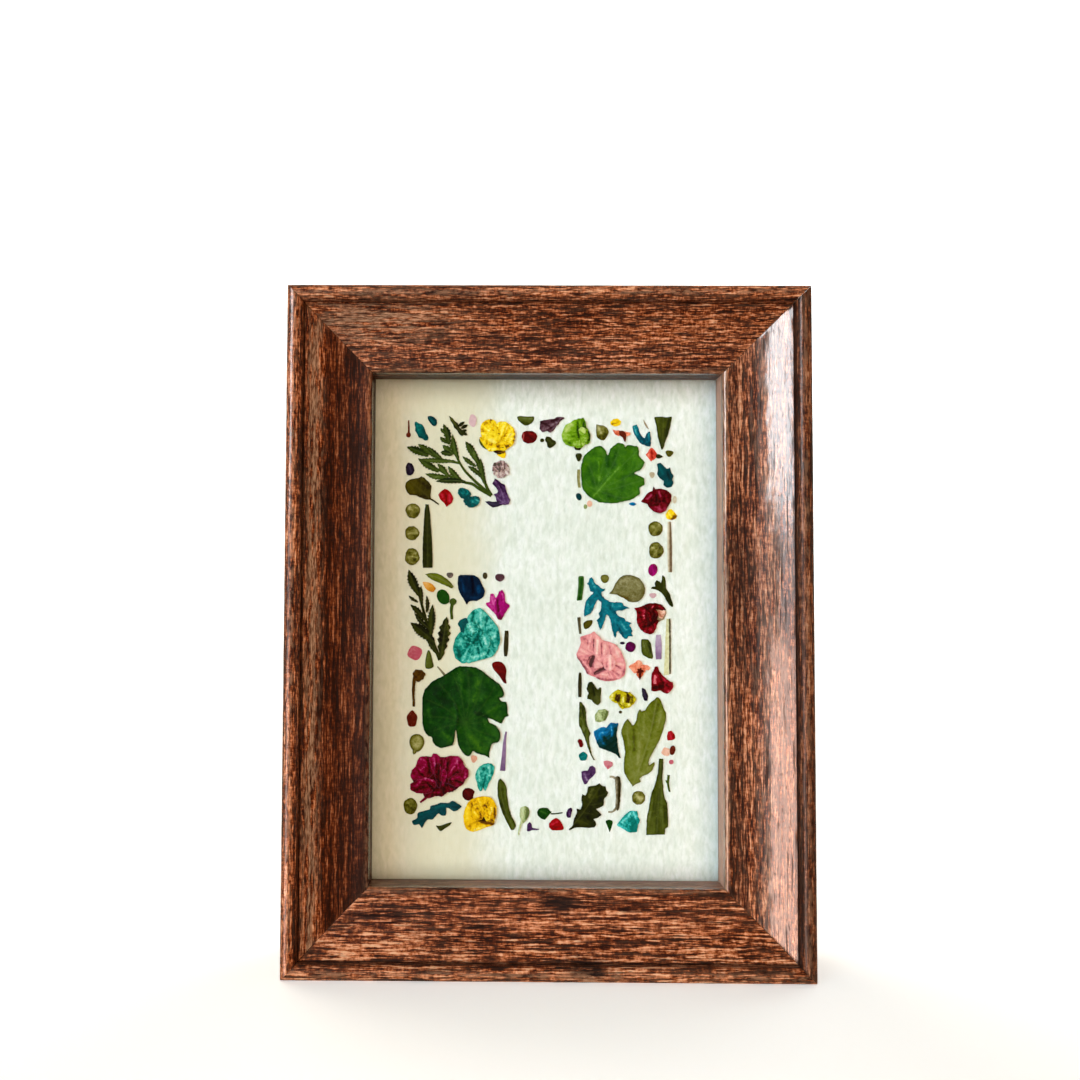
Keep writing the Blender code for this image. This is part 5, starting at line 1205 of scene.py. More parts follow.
leaf("scrap_beige", "brown", "beige", blob(651.6, 475.2, 5.2, 6, waves=((3, 0.1, 0),)), tone=0.6, **TINY)
for i, (x, y, w, h) in enumerate(((655, 529, 14.5, 15), (655.6, 550.5, 14.6, 16.4))):
    leaf("disc_olive_right_%d" % (i + 1), "olive", "olive_disc", blob(x, y, w, h, waves=((3, 0.03, 50 + 60 * i), (5, 0.02, 90 * i))),
         tone=0.40, base=0.07, wob=0.10, edge=0.12, node=False, step=0.9, crease=0.1, tone_crease=0.4, amp=0.35, seed=51 + i,
         veins=[(mid(x - 3, y + 6, x + 4, y - 5), 0.5, 0.7), (mid(x, y, x + 5, y + 2), 0.35, 0.5)],
         marks=[([(x - 3, y - 2)], 2.0, 0.32), ([(x + 3, y + 4)], 2.0, -0.40), ([(x + 4, y - 4)], 1.6, 0.25 - 0.5 * i), ([(x - 4, y + 4)], 1.5, -0.30), ([(x - 4, y - 5)], 1.4, -0.3)])
leaf("bar_tan", "brown", "beige", blade(669.4, 572.4, 668.8, 521.8, 4.6, peak=0.4, ends=(0.9, 0.7), n=50), tone=lambda x, y, d: np.clip(0.95 - 0.42 * (x - 667.6), 0.02, 0.95), wob=0.1,
     veins=[(mid(669.4, 572, 668.8, 522), 0.4, 0.6)], **{k: v for k, v in TINY.items() if k != "wob"})
leaf("petal_magenta_small", "magenta", "magenta", blob(652.4, 570, 9.2, 12.2, tilt=-12, dents=((-75, -0.1, 14),)), tone=0.35, crease=0.25, tone_crease=0.5, **TINY)

# ---------------------------------------------------------------- lower left quarter
f = Pressed("fern_small_left_pressed", "dark_green", "fern_small_left")
f.fan(P["fern_dark"], [(420.4, 597, 408.7, 569.6, 9.0, 0.42), (422.3, 606, 421.3, 585.5, 3.8, 0.5), (427, 613, 426.7, 595.5, 3.8, 0.5), (430.9, 636, 432.7, 604.4, 7.2, 0.46),
      (418.6, 602.6, 408.7, 595.6, 3.2, 0.4), (425.6, 620.8, 410.5, 604.6, 5.8, 0.5), (435.2, 643, 410.5, 622.6, 10.5, 0.42), (431, 630, 414.5, 612.8, 4.6, 0.36), (439, 656, 427, 640, 4.4, 0.4)],
      stems=[([(419, 594), (422.5, 607), (430.7, 635), (440, 660)], 3.2)], seed=7)
f.done()
f = Pressed("fern_small_right_pressed", "dark_green", "fern_small_right")
f.sheet(P["fern_dark"], [blade(440.5, 659.5, 446.7, 616.8, 13.0, peak=0.6, ends=(0.2, 0), lobes=6, depth=0.30, sweep=0.55, n=110)], base=0.12, tone=0.44, wob=0.10, wob_s=6,
        edge=0.08, edge_w=1.5, seed=33, step=0.85, amp=0.2, veins=feather(441, 658, 446.6, 618.5, 6, 7, width=0.38, power=0.6, slant=0.8), vein_h=0.03,
        marks=[([(447, 624), (449.5, 634)], 1.3, 0.25), ([(441.5, 632), (440.5, 644)], 1.4, -0.25), ([(448, 640), (446, 648)], 1.4, -0.2), ([(443.5, 648), (442.4, 655)], 1.0, 0.25)])
f.done()
leaf("leaf_olive_narrow", "olive", "olive_leaf", blade(453, 587.5, 425.3, 574.3, 8, peak=0.62, bend=-2, ends=(0.35, 0)),
     tone=down(426, 574, 453, 587, 0.55, 0.2), veins=[(mid(453, 587, 427, 575, -2), 0.5, 0.8)], step=0.85)
leaf("petal_navy", "navy", "navy", ol(458, 575, 473.3, 575, 478.7, 577.7, 482, 584.3, 485.3, 591.7, 483.3, 597, 477.3, 601, 469.3, 601, 466.7, 605, 464.7, 601, 460, 593.7, 457.7, 587),
     tone=0.3, wob=0.15, crease=0.12, stretch=(1, 3, 0), tone_crease=0.2, veins=[(mid(466, 602, 472, 577), 0.6, 0.5), (mid(467, 600, 480, 585), 0.5, 0.4)],
     marks=[([(478.7, 587), (479, 592)], 2.0, 0.5), ([(462, 580), (464, 592)], 1.3, 0.25), ([(472, 578), (473, 592)], 1.6, -0.2), ([(470, 598), (480, 597.5)], 1.2, 0.2)])
m = Pressed("petal_magenta_lobed_pressed", "magenta", "petal_magenta_lobed")
m.sheet(P["magenta"], [ol(490, 593.7, 493.3, 593.7, 496, 598.3, 499.3, 591, 502, 589.7, 504.7, 593.7, 505.3, 602.3, 509.3, 605, 510, 606.3, 506.7, 610.3, 504, 615.7, 501.3, 620.3,
        498, 619.7, 495.3, 614.3, 491.3, 610.3, 486, 605, 486, 603, 490, 601.7)], base=0.12, crease=0.22, crease_s=4, stretch=(1, 2.6, 0),
        tone=lambda x, y, d: 0.45 + 0.25 * (x < 496) - 0.3 * np.clip((y - 611) / 9, 0, 1), tone_crease=0.5, seed=12, step=0.8, vein_h=-0.03,
        veins=[(mid(500, 618, 493.5, 596), 0.5, 0.7), (mid(500.5, 616, 502, 593), 0.5, 0.7), (mid(500, 615, 488, 604), 0.4, 0.5), (mid(501, 614, 508, 606), 0.4, 0.5)],
        marks=[([(497, 600), (498.5, 611)], 1.0, -0.4), ([(502.5, 594), (503.5, 602)], 0.9, 0.3), ([(491.5, 597), (493, 604)], 0.9, 0.3)])
m.done()
b = Pressed("petal_aqua_big_pressed", "aqua", "petal_aqua_big")
A = P["aqua"]
b.sheet(P["teal_double"], [ol(466, 617.5, 460, 620, 457.5, 624, 460, 628, 461, 634, 456, 639, 462, 642, 470, 634, 473, 624)], base=0.10, tone=0.2, seed=32, step=0.9)
b.flap(A, ol(480, 607.7, 484, 610.3, 491.3, 618.3, 495, 624, 490, 633, 481, 637, 473, 633, 469.5, 625, 466.7, 617.7, 473.3, 609.7), face=92, z0=0.26, z1=0.34, tone=0.5, seed=31,
       crumple=0.18, deep=0.2, marks=[([(474, 612), (472, 622)], 1.4, -0.35), ([(480, 612), (482, 626)], 1.5, 0.25), ([(487, 617), (486, 630)], 1.1, -0.3), ([(490.5, 621)], 1.6, 0.3)])
b.flap(A, ol(490, 618, 491.3, 618.3, 498.7, 628.3, 500.7, 640.3, 496.7, 651.7, 490, 650, 481, 645, 479, 637, 484, 627), face=8, z0=0.3, z1=0.38, tone=0.5, seed=32, crumple=0.18, deep=0.2,
       marks=[([(487, 640), (495, 636)], 1.8, 0.3), ([(498, 631), (498.6, 645)], 1.5, -0.35), ([(486, 633), (492, 629)], 1.1, -0.3), ([(490, 646), (495, 643)], 1.2, -0.25)])
b.flap(A, ol(462.7, 663.7, 455.3, 658.3, 452.7, 648.3, 455.3, 638.3, 460, 631.7, 467, 633, 475, 638, 477, 647, 473, 656, 468, 662), face=205, z0=0.28, z1=0.36, tone=0.36, seed=33,
       crumple=0.18, deep=0.2, marks=[([(460, 656), (457, 648)], 2.0, -0.35), ([(462, 640), (459, 645)], 1.3, 0.3), ([(468, 650), (463, 660)], 1.3, 0.25), ([(470, 642), (466, 648)], 1.2, -0.3)])
b.flap(A, ol(466, 661, 468, 650, 475, 643, 486, 643, 495, 647, 496.7, 651.7, 492, 657, 476.7, 661, 468, 663.4), face=-80, z0=0.36, z1=0.42, tone=0.50, seed=34, crumple=0.18, deep=0.2,
       marks=[([(472, 657), (486, 654)], 1.5, 0.3), ([(478, 648), (480, 658)], 1.0, -0.35), ([(489, 650), (486, 657)], 1.0, -0.3), ([(470, 652)], 1.6, -0.2)])
b.flap(A, ol(466, 624, 472, 621, 479, 625, 483, 632, 482, 641, 475, 646, 467, 643, 463, 635), face=140, z0=0.5, z1=0.62, tone=0.46, seed=36, crumple=0.5,
       marks=[([(473, 632), (470, 627)], 1.8, 0.4), ([(478, 636), (474, 643)], 1.2, -0.4), ([(467, 636), (470, 641)], 1.1, -0.3), ([(480, 629)], 1.3, -0.3)])
b.flap(A, ol(480, 634, 487, 633, 491, 639, 489, 647, 482, 650, 477, 645), face=-25, z0=0.52, z1=0.64, tone=0.52, seed=37, crumple=0.18, deep=0.25,
       marks=[([(484, 637), (486, 644)], 1.0, 0.4), ([(480, 641), (482, 647)], 0.9, -0.35)])
b.done()
leaf("petal_orange_small", "yellow", "orange", blade(434.6, 590.6, 422.6, 582, 7.6, peak=0.4, ends=(0.5, 0)), tone=down(423, 582, 434, 590, 0.75, 0.25), **TINY)
leaf("leaf_green_oval", "green", "green_small", blob(443.2, 597, 12, 15.6, tilt=25, dents=((-60, -0.08, 14),)), tone=0.4,
     veins=[(mid(446, 604, 440.5, 590.5), 0.45, 0.6)], **TINY)
leaf("scrap_taupe", "brown", "mauve", blob(450, 575.2, 6.6, 5.6, waves=((3, 0.08, 0),)), tone=0.1, **TINY)
leaf("scrap_dark_olive", "dark_green", "stem", blob(485, 575.8, 4.8, 6.6), tone=0.2, **TINY)
leaf("scrap_mauve_brown", "brown", "plum", blob(499.8, 577.4, 9.4, 8, dents=((-90, -0.1, 18), (90, 0.15, 30))), tone=0.4, **TINY)
leaf("sprig_green_branched", "dark_green", "fern", blob(453, 601.8, 6.8, 7), blade(453.5, 604, 456.6, 600.2, 3), strip([(452.6, 603), (451.4, 610), (452, 619.4)], 3.6, 2.6),
     tone=0.5, **TINY)
leaf("bar_dark_narrow", "dark_green", "stem", blade(505.6, 656.4, 506.6, 630.6, 4.6, peak=0.4, ends=(0.6, 0.8)), tone=0.12, **TINY)
leaf("petal_rose", "pink", "rose", blob(415, 653, 14.2, 14, waves=((4, 0.06, 20),), dents=((40, -0.05, 20),)), tone=0.5, crease=0.15, tone_crease=0.3, **TINY)
leaf("leaf_olive_wedge", "olive", "wedge", soft([(428.6, 649.5), (430.6, 652), (432.4, 660), (434.2, 667), (430, 669), (425, 668.3), (425.6, 660), (426.8, 653)], 2),
     tone=down(426, 660, 433, 660, 0.85, 0.35), veins=[(mid(429.6, 668, 428.8, 651), 0.45, 0.6)], **TINY)
c = Pressed("leaf_brown_curled_pressed", "brown", "leaf_brown_curled")
c.sheet(P["brown"], [blob(419, 675.3, 12, 12, waves=((3, 0.08, 40), (7, 0.05, 10))), strip([(416, 674), (414.2, 682), (413.6, 693), (414, 706.6)], 4, 2.2)],
        base=0.12, crease=0.35, crease_s=4, tone=0.45, tone_crease=0.5, seed=6, step=0.8)
c.done()
leaf("petal_dark_red_long", "crimson", "dark_red", soft([(491.4, 664), (495, 661.4), (501.4, 661.6), (505, 665.6), (506.6, 670), (505.6, 678), (506.8, 684),
     (503.6, 683), (499, 675.5), (493.4, 669.5)], 2), tone=down(493, 663, 505, 683, 0.6, 0.4), crease=0.15, tone_crease=0.3, **TINY)
leaf("stem_grey_thin", "brown", "stem", strip([(437.6, 666.5), (441, 670.5), (445.5, 676)], 1.2, 2.6), tone=0.62, **TINY)

g = Pressed("leaf_big_green_pressed", "green", "leaf_big_green")
big = ol(458.4, 666.2, 466.8, 666.2, 476.6, 667.3, 482.2, 670.8, 489.2, 676.7, 498.3, 683, 502.5, 688.6, 504.3, 694.2, 503.2, 696.7, 498.8, 698, 501.8, 701.2, 506, 701.6, 507.4, 706.8,
         507.4, 713.1, 508.5, 715.9, 504.6, 717.3, 501.8, 723.3, 499, 722.6, 487.3, 717.3, 489.2, 722.2, 495.5, 725, 499, 729.2, 500.8, 734.8, 499, 741.8, 492, 743.2, 490.6, 747.4,
         489.2, 753, 489.5, 757.9, 485, 755.1, 478, 753.7, 473.1, 750.6, 469.6, 755.8, 466.8, 755.8, 462.6, 752.3, 458.8, 746, 457.4, 739, 456, 728.5, 454.6, 739, 452.8, 745.3,
         447.9, 746, 441.6, 748.1, 436, 746, 432.9, 741.8, 431.8, 736.6, 428.3, 736.2, 424.1, 729.9, 422.7, 722.2, 422.4, 708.2, 422.7, 695.6, 425.5, 688.6, 432.5, 681.3, 443, 676, 451.4, 670.4)
hub = (465.5, 723.5)
tips = [(428, 716), (425, 698), (437, 680), (452, 669.5), (468, 667.5), (484, 672.5), (497, 684), (503.5, 700), (503, 716), (495, 736), (489, 749),
        (471, 751), (446, 745), (432, 731)]
ribs = []
for tx, ty in tips:
    dx, dy = tx - hub[0], ty - hub[1]
    ribs.append((hub, (hub[0] + dx * 0.5 - dy * 0.05, hub[1] + dy * 0.5 + dx * 0.05), (hub[0] + dx * 0.93, hub[1] + dy * 0.93)))
side = []
for r in ribs:
    line = polyline(r)
    for k in range(7, len(line) - 3, 5):
        p0, p1 = line[k], line[k + 1]
        t = (p1 - p0) / np.hypot(*(p1 - p0))
        for sgn in (-1, 1):
            side.append(([tuple(p0), (p0[0] + (t[0] * 0.9 - t[1] * sgn) * 5, p0[1] + (t[1] * 0.9 + t[0] * sgn) * 5)], 0.35, 0.35))
g.sheet(P["green_big"], [big], base=0.10, wob=0.24, wob_s=17, edge=0.20, edge_w=3, amp=0.35, seed=23, step=1.15, veins=[(r, 0.7, 0.9) for r in ribs] + side, vein_h=0.03,
        tone=lambda x, y, d: 0.22 + 0.24 * np.clip((x - 430) / 60, 0, 1) + 0.12 * np.clip((y - 700) / 50, 0, 1) + 0.22 * fbm(x / 11, y / 11, 8, 3),
        marks=[([(456, 704), (458, 714), (456.5, 727)], 1.4, -0.2, 0.12), ([(436, 690), (450, 706)], 4.0, -0.1, 0.1), ([(478, 680), (474, 700)], 3.0, 0.22), ([(492, 692), (480, 708)], 2.6, -0.1),
               ([(470, 735), (480, 748)], 2.6, 0.22), ([(440, 728), (450, 740)], 2.2, 0.2), ([(428, 705), (431, 722)], 2.2, 0.18), ([(486, 716.5), (476, 713)], 2.0, -0.3, 0.1),
               ([(460, 672), (462, 690)], 2.4, 0.18), ([(500, 706), (488, 712)], 1.6, 0.2), ([(494, 737), (484, 733)], 1.8, -0.2)])
g.done()
leaf("petal_maroon", "crimson", "maroon", blob(412.2, 719, 10.4, 16, waves=((5, 0.05, 0),), dents=((80, -0.06, 14),)), tone=0.5, crease=0.15, tone_crease=0.3, **TINY)
leaf("disc_olive_tail", "olive", "olive_disc", blob(417, 742.5, 14.8, 17.6, waves=((3, 0.03, 0),)), blade(415.5, 749, 413.8, 754.4, 4, ends=(0.8, 0)),
     tone=lambda x, y, d: 0.25 + 0.45 * np.clip(d / 4, 0, 1), veins=[(mid(414.5, 752, 419, 735), 0.5, 0.6)], **{**TINY, "edge": 0.14})
leaf("petal_coral_tiny", "coral", "peach", blob(474, 758.6, 6, 7.4, waves=((3, 0.1, 40),)), tone=0.3, **TINY)
leaf("sliver_purple", "purple", "lilac", strip([(506.2, 731.5), (504.6, 742), (503.8, 756), (502.6, 770.6)], 1.6, 5.4), tone=down(504, 740, 503, 770, 0.35, 0.1),
     veins=[(mid(505.6, 735, 504.4, 768), 0.5, 0.4)], **TINY)

b = Pressed("carnation_magenta_pressed", "magenta", "carnation_magenta")
C = P["carnation"]
b.sheet(C, [ol(419.8, 756.6, 425.8, 756, 431.8, 756.6, 433.6, 753.3, 437.2, 753.6, 440.8, 757.2, 445.6, 756.9, 451, 755.4, 458.8, 756, 463, 760.8, 464.8, 766.2, 469, 769.8, 468.7, 776.4,
        465.4, 779.4, 463.6, 783.6, 460, 786, 455.8, 789.6, 452.8, 791.4, 446.8, 792, 443.2, 796.2, 436, 795.6, 430, 798, 425.8, 798, 424, 795.6, 422.8, 793.2, 416.8, 792.6, 410.8, 789,
        410.8, 783.6, 413.8, 781.8, 410.5, 776.4, 412, 769.8, 416.2, 766.2, 417.4, 760.8)], base=0.10, tone=0.15, seed=41, amp=0.35)
b.sheet(C, [strip([(433, 792), (427, 797), (420.4, 802.2)], 4.0, 1.6)], base=0.2, tone=0.35, seed=42, step=0.8)
dull = dict(crumple=0.2, deep=0.45, pleats=6, amp=0.6)
b.flap(C, ol(411.5, 773, 412, 769.8, 416.2, 766.2, 417.4, 760.8, 419.8, 756.6, 425.8, 756, 430, 757.5, 433, 764, 434, 773, 429, 779, 421, 778.5, 414, 780, 411, 777), face=150, z0=0.24, z1=0.4,
       tone=0.44, seed=41, marks=[([(425.8, 765), (421, 771)], 2.0, 0.18), ([(416, 768), (424, 776)], 1.0, -0.3), ([(428, 760), (430, 772)], 1.1, -0.3), ([(421, 758.5), (427, 762)], 1.0, 0.2)], **dull)
b.flap(C, ol(429, 757, 431.8, 756.6, 433.6, 753.3, 437.2, 753.6, 440.8, 757.2, 445.6, 756.9, 447, 763, 445, 772, 440, 780, 435, 776, 431.5, 768), face=98, z0=0.3, z1=0.46, tone=0.44, seed=42,
       marks=[([(439.6, 770.4), (439, 783.6)], 1.6, -0.5), ([(434.5, 757), (436, 768)], 1.0, 0.25), ([(442, 760), (441, 770)], 1.0, -0.25)], **dull)
b.flap(C, ol(444, 757, 451, 755.4, 458.8, 756, 463, 760.8, 464.8, 766.2, 462, 772, 455, 777, 447.5, 779, 443, 773, 442.5, 764), face=58, z0=0.28, z1=0.44, tone=0.46, seed=43,
       marks=[([(449.8, 773.4), (455, 766)], 1.5, 0.2), ([(448, 759), (448, 770)], 1.1, -0.3), ([(457, 759), (459, 768)], 1.1, 0.2), ([(461, 770), (453, 775)], 0.9, -0.3)], **dull)
b.flap(C, ol(455, 774, 464.8, 766.2, 469, 769.8, 468.7, 776.4, 465.4, 779.4, 463.6, 783.6, 460, 786, 454, 787, 448, 784, 449, 778), face=-5, z0=0.34, z1=0.44, tone=0.36, seed=44,
       marks=[([(466, 771), (465, 777)], 1.0, 0.3), ([(456, 780), (462, 782)], 1.0, -0.25), ([(452, 779), (460, 776)], 0.9, 0.25)], **dull)
b.flap(C, ol(410.8, 789, 410.8, 783.6, 413.8, 781.8, 419, 778.5, 426, 777, 434, 779, 437, 784, 434, 790, 428, 793, 422.8, 793.2, 416.8, 792.6), face=190, z0=0.5, z1=0.6, tone=0.36, seed=51,
       light=0.1, marks=[([(416.2, 785.4), (420, 781.5), (425.2, 778.2), (433.6, 780.6)], 1.3, 0.30), ([(415, 789), (424, 786)], 1.1, -0.25), ([(428, 783), (433, 788)], 1.3, -0.25)], **dull)
b.flap(C, ol(424, 795.6, 428, 790, 434, 784, 441, 781, 449, 783, 455, 786, 455.8, 789.6, 452.8, 791.4, 446.8, 792, 443.2, 796.2, 436, 795.6, 430, 798, 425.8, 798), face=-95, z0=0.46, z1=0.46,
       tone=0.12, seed=50, marks=[([(443.2, 778), (443.4, 784)], 1.5, 0.5), ([(432, 792), (440, 792)], 1.0, 0.3), ([(447, 787), (452, 789)], 1.0, 0.25)], **dull)
b.flap(C, ol(435.5, 764, 438.5, 761.5, 441, 765, 442.4, 772, 442, 780, 440.4, 788, 437.6, 787, 436, 780, 434, 772), face=88, z0=0.56, z1=0.70, tone=0.10, seed=47, crumple=0.3, deep=0.5, pleats=3,
       step=0.8, marks=[([(440.6, 767), (440.8, 780)], 0.8, 0.25)])
b.flap(C, ol(441.5, 770, 445, 768, 447.5, 772, 446.5, 779, 443.6, 784.5, 441.4, 780), face=70, z0=0.6, z1=0.76, tone=0.48, seed=53, crumple=0.3, deep=0.5, pleats=3, step=0.8)
b.done()
leaf("petal_maroon_round", "crimson", "dark_red", ol(462.6, 791, 465, 788.2, 469, 787.6, 472.6, 789, 475, 791.4, 473.6, 795, 473, 798.4, 469, 800.6, 465, 799.6, 462.4, 796), tone=0.12,
     crease=0.12, tone_crease=0.2, marks=[([(466, 791), (470, 796)], 1.1, 0.2)], **TINY)
a = Pressed("petal_aqua_oval_pressed", "aqua", "petal_aqua_oval")
a.sheet(A, [ol(487.8, 762.8, 492, 763.4, 495, 767, 493.8, 772.4, 491.4, 779, 488.4, 783.8, 487.2, 787.4, 485.4, 791, 483.9, 788.6, 483, 786.8, 481.8, 790.4, 480, 791, 477.6, 786.8, 477, 782,
        475.2, 777.2, 475.8, 772.4, 478.8, 767, 483, 764)], base=0.14, crease=0.2, crease_s=3.6, stretch=(1, 2.4, 18), tone=0.48, tone_crease=0.28, seed=8, step=0.82,
        marks=[([(484.2, 768.8)], 1.7, -0.4), ([(485.8, 775), (483.4, 787)], 0.9, -0.4), ([(489, 766), (490, 776)], 1.2, 0.3), ([(479, 770), (479.5, 781)], 1.2, 0.25), ([(492.5, 770), (489, 780)], 0.9, -0.25)])
a.done()
leaf("disc_olive_brown", "olive", "olive_disc", blob(410.6, 806, 13.6, 16.4, waves=((3, 0.02, 0), (5, 0.02, 50))), tone=0.26, tone_crease=0.3, marks=[([(409, 802)], 2.2, 0.15), ([(413, 809)], 2.2, -0.2)], **TINY)
leaf("fern_serrated_teal", "teal", "teal_dark",
     ol(412, 820.8, 417.4, 817.8, 418, 812.4, 424, 810.6, 430, 809.4, 430.6, 805.8, 437.2, 804, 440.8, 802.2, 448, 802.8, 452.8, 800.4, 457.6, 802.8, 462.4, 806.4, 457.6, 810, 454, 811.2,
        449.2, 808.2, 446.2, 807, 446.8, 812.4, 445.6, 815.4, 442, 815.4, 438.4, 813, 434.8, 817.2, 432.4, 819.6, 428.2, 819, 425.2, 822, 422.2, 828, 419.2, 823.8, 413.8, 825), tone=0.5,
     veins=[([(414, 824), (424, 817), (440, 808), (458, 804.6)], 0.6, 0.8), ([(424, 817), (421, 826)], 0.4, 0.6), ([(434, 811.4), (432, 818)], 0.4, 0.6), ([(441, 808), (444, 814)], 0.4, 0.6)],
     wob=0.12, step=0.85, marks=[([(421, 814), (428, 812)], 1.1, 0.25), ([(424, 820), (420, 822)], 1.2, -0.2), ([(436, 807), (444, 805)], 1.1, 0.25), ([(452, 806), (458, 807)], 1.2, -0.2)])
leaf("scrap_green_dark", "dark_green", "sprig", soft([(435.6, 825), (440, 825.8), (446, 823.4), (452.6, 821.6), (449.6, 825.6), (445.4, 828), (440.6, 831.6),
     (438, 828.4)], 1), tone=0.55, **TINY)

b = Pressed("blossom_yellow_low_pressed", "yellow", "blossom_yellow_low")
Y = P["yellow_low"]
b.sheet(P["dark_brown"], [ol(471, 805, 484, 800, 493, 803, 495, 812, 494, 821, 486, 826, 474, 827, 468, 820, 467, 812)], base=0.08, tone=0.3, seed=61)
b.flap(Y, ol(471, 831.2, 466.5, 829, 464, 823, 463.4, 815, 465.2, 808, 468.4, 801.6, 473, 798, 477.5, 800, 480, 807, 479.5, 816, 477, 824, 475.2, 831.2), face=180, z0=0.34, z1=0.32,
       tone=0.38, seed=61, deep=0.3, marks=[([(468, 806), (467.5, 818)], 1.6, 0.2), ([(472, 803), (473, 816)], 1.2, -0.25), ([(477.6, 807.8)], 2.0, -0.35), ([(470, 826), (475, 828)], 1.2, -0.25)])
b.flap(Y, ol(472, 799, 477, 796.6, 483, 795.8, 490.2, 796.4, 494.4, 800.6, 494, 805, 488.5, 807, 483.6, 809.5, 478, 810, 473.5, 806), face=85, z0=0.36, z1=0.4, tone=0.42, seed=62, deep=0.35,
       marks=[([(484.8, 804.8), (489.6, 808)], 1.2, -0.45), ([(479, 799), (481, 806)], 1.0, 0.25), ([(487, 798), (488, 804)], 0.9, -0.2)])
b.flap(Y, ol(487, 806, 494.4, 800.6, 496.8, 806, 496.8, 813.8, 495, 819.8, 489, 819.5, 485, 816, 484.4, 810.5), face=0, z0=0.36, z1=0.38, tone=0.42, seed=63,
       marks=[([(484.8, 804.8), (487, 809), (489.6, 813.8)], 1.1, -0.5), ([(494.8, 808), (494.8, 816.5)], 1.1, -0.5), ([(492, 819)], 1.4, -0.3), ([(491.2, 805), (491.8, 812)], 0.9, 0.3)])
b.flap(Y, ol(471, 831.2, 472, 825, 477, 820, 484, 821.5, 491, 819.5, 495, 819.8, 494.4, 824.6, 486, 827, 480, 829.4, 475.2, 831.2), face=-86, z0=0.38, z1=0.34, tone=0.45, seed=64,
       marks=[([(477, 818), (483, 821.6), (493.8, 824)], 1.3, -0.5), ([(474, 829.5), (484, 826)], 1.1, 0.35), ([(492, 819.8)], 1.5, -0.2)])
b.flap(Y, ol(472, 806, 478, 803.5, 483.5, 807, 485.5, 813, 482.5, 819, 476, 820, 471.5, 815), face=120, z0=0.56, z1=0.7, tone=0.42, seed=65, deep=0.35,
       marks=[([(477.6, 807.8)], 1.7, -0.35), ([(480, 811), (481, 817)], 1.0, -0.3), ([(474.5, 811), (478, 816)], 1.0, 0.25)])
b.flap(Y, ol(485, 808, 488.5, 807, 491.4, 812, 490, 819, 486.4, 820.5, 484, 816), face=-20, z0=0.6, z1=0.66, tone=0.58, seed=66, step=0.8, marks=[([(487.5, 810), (488, 817)], 0.8, -0.3)])
b.done()
leaf("leaf_olive_slender", "olive", "wedge", ol(498, 780.8, 500.4, 777.8, 504, 782, 506.4, 786.2, 507, 794, 508.2, 801.8, 509.4, 809, 511.8, 816.2, 514.8, 821.6, 516, 825.8, 514.2, 829.4,
     511.2, 830, 509.4, 826.4, 505.2, 818.6, 502.2, 812, 499.8, 804.8, 498, 797, 497.4, 788.6), tone=0.4, wob=0.12,
     veins=[([(514, 829), (506, 812), (501.6, 795), (499.8, 781)], 0.5, 0.9)], step=0.85, marks=[([(505, 786), (506, 800)], 1.1, 0.25), ([(500, 800), (505, 814)], 1.2, -0.25), ([(511, 820), (513.6, 827)], 1.1, 0.2)])
p = Pressed("bud_pale_pressed", "green", "bud_pale")
p.sheet(P["pale_green"], [ol(520.2, 808, 522.6, 806, 525.2, 805.8, 528.6, 807.4, 529.8, 811.6, 528.6, 816.2, 526.2, 820.4, 523.2, 823.4, 521.4, 822.2, 519.6, 815.6),
        strip([(522, 821), (519.6, 828), (518.4, 834.8)], 2.4, 1.4)], base=0.14, crease=0.35, crease_s=3.2, stretch=(1, 3, 10), tone=down(521, 806, 530, 806, 0.8, 0.1), tone_crease=0.5,
        seed=4, step=0.75, marks=[([(527.6, 809), (526, 818)], 1.2, -0.5), ([(522.6, 809), (522.4, 818)], 0.9, 0.25)])
p.done()
leaf("petal_purple_small", "purple", "purple", ol(527.4, 824, 529.8, 821.6, 531.6, 824, 532.2, 827.6, 535.8, 828.2, 540, 828.8, 537, 830, 532.8, 829.7, 528.6, 831.2, 526.8, 830.6, 527.1, 827),
     tone=0.35, crease=0.15, tone_crease=0.5, **TINY)
leaf("disc_dark_green", "dark_green", "green_small", ol(537, 812, 538.8, 808.4, 543.6, 807.2, 547.8, 807.8, 550.2, 810.8, 552, 811.4, 547.8, 816.2, 544.8, 819.8, 540.6, 818, 537.6, 815),
     tone=0.3, marks=[([(541, 811), (546, 813)], 1.2, 0.35), ([(543, 816.5)], 1.4, -0.2)], **TINY)
leaf("stem_thin_green", "dark_green", "fern", strip([(550.6, 813.6), (556, 813.4), (562.6, 812.4)], 1.5, 1.2), tone=0.35, **TINY)
leaf("petal_red_low", "crimson", "red", ol(549, 822.8, 552, 819.8, 556.2, 817.4, 559.8, 819.8, 562.2, 824, 564, 827.6, 562.8, 830, 556.8, 830, 552, 830, 549, 827), tone=0.4, crease=0.2,
     tone_crease=0.4, marks=[([(552, 824), (558, 821)], 1.1, 0.3), ([(556, 827.5)], 1.6, -0.3)], **TINY)
leaf("petal_violet_small", "purple", "purple", ol(566.4, 812, 568.2, 808.4, 571.2, 807.2, 572.4, 809.6, 571.2, 814, 570.6, 817.4, 567.6, 817.4, 566.1, 815.2), tone=0.15,
     marks=[([(569, 810), (569.6, 815)], 0.9, 0.3)], **TINY)

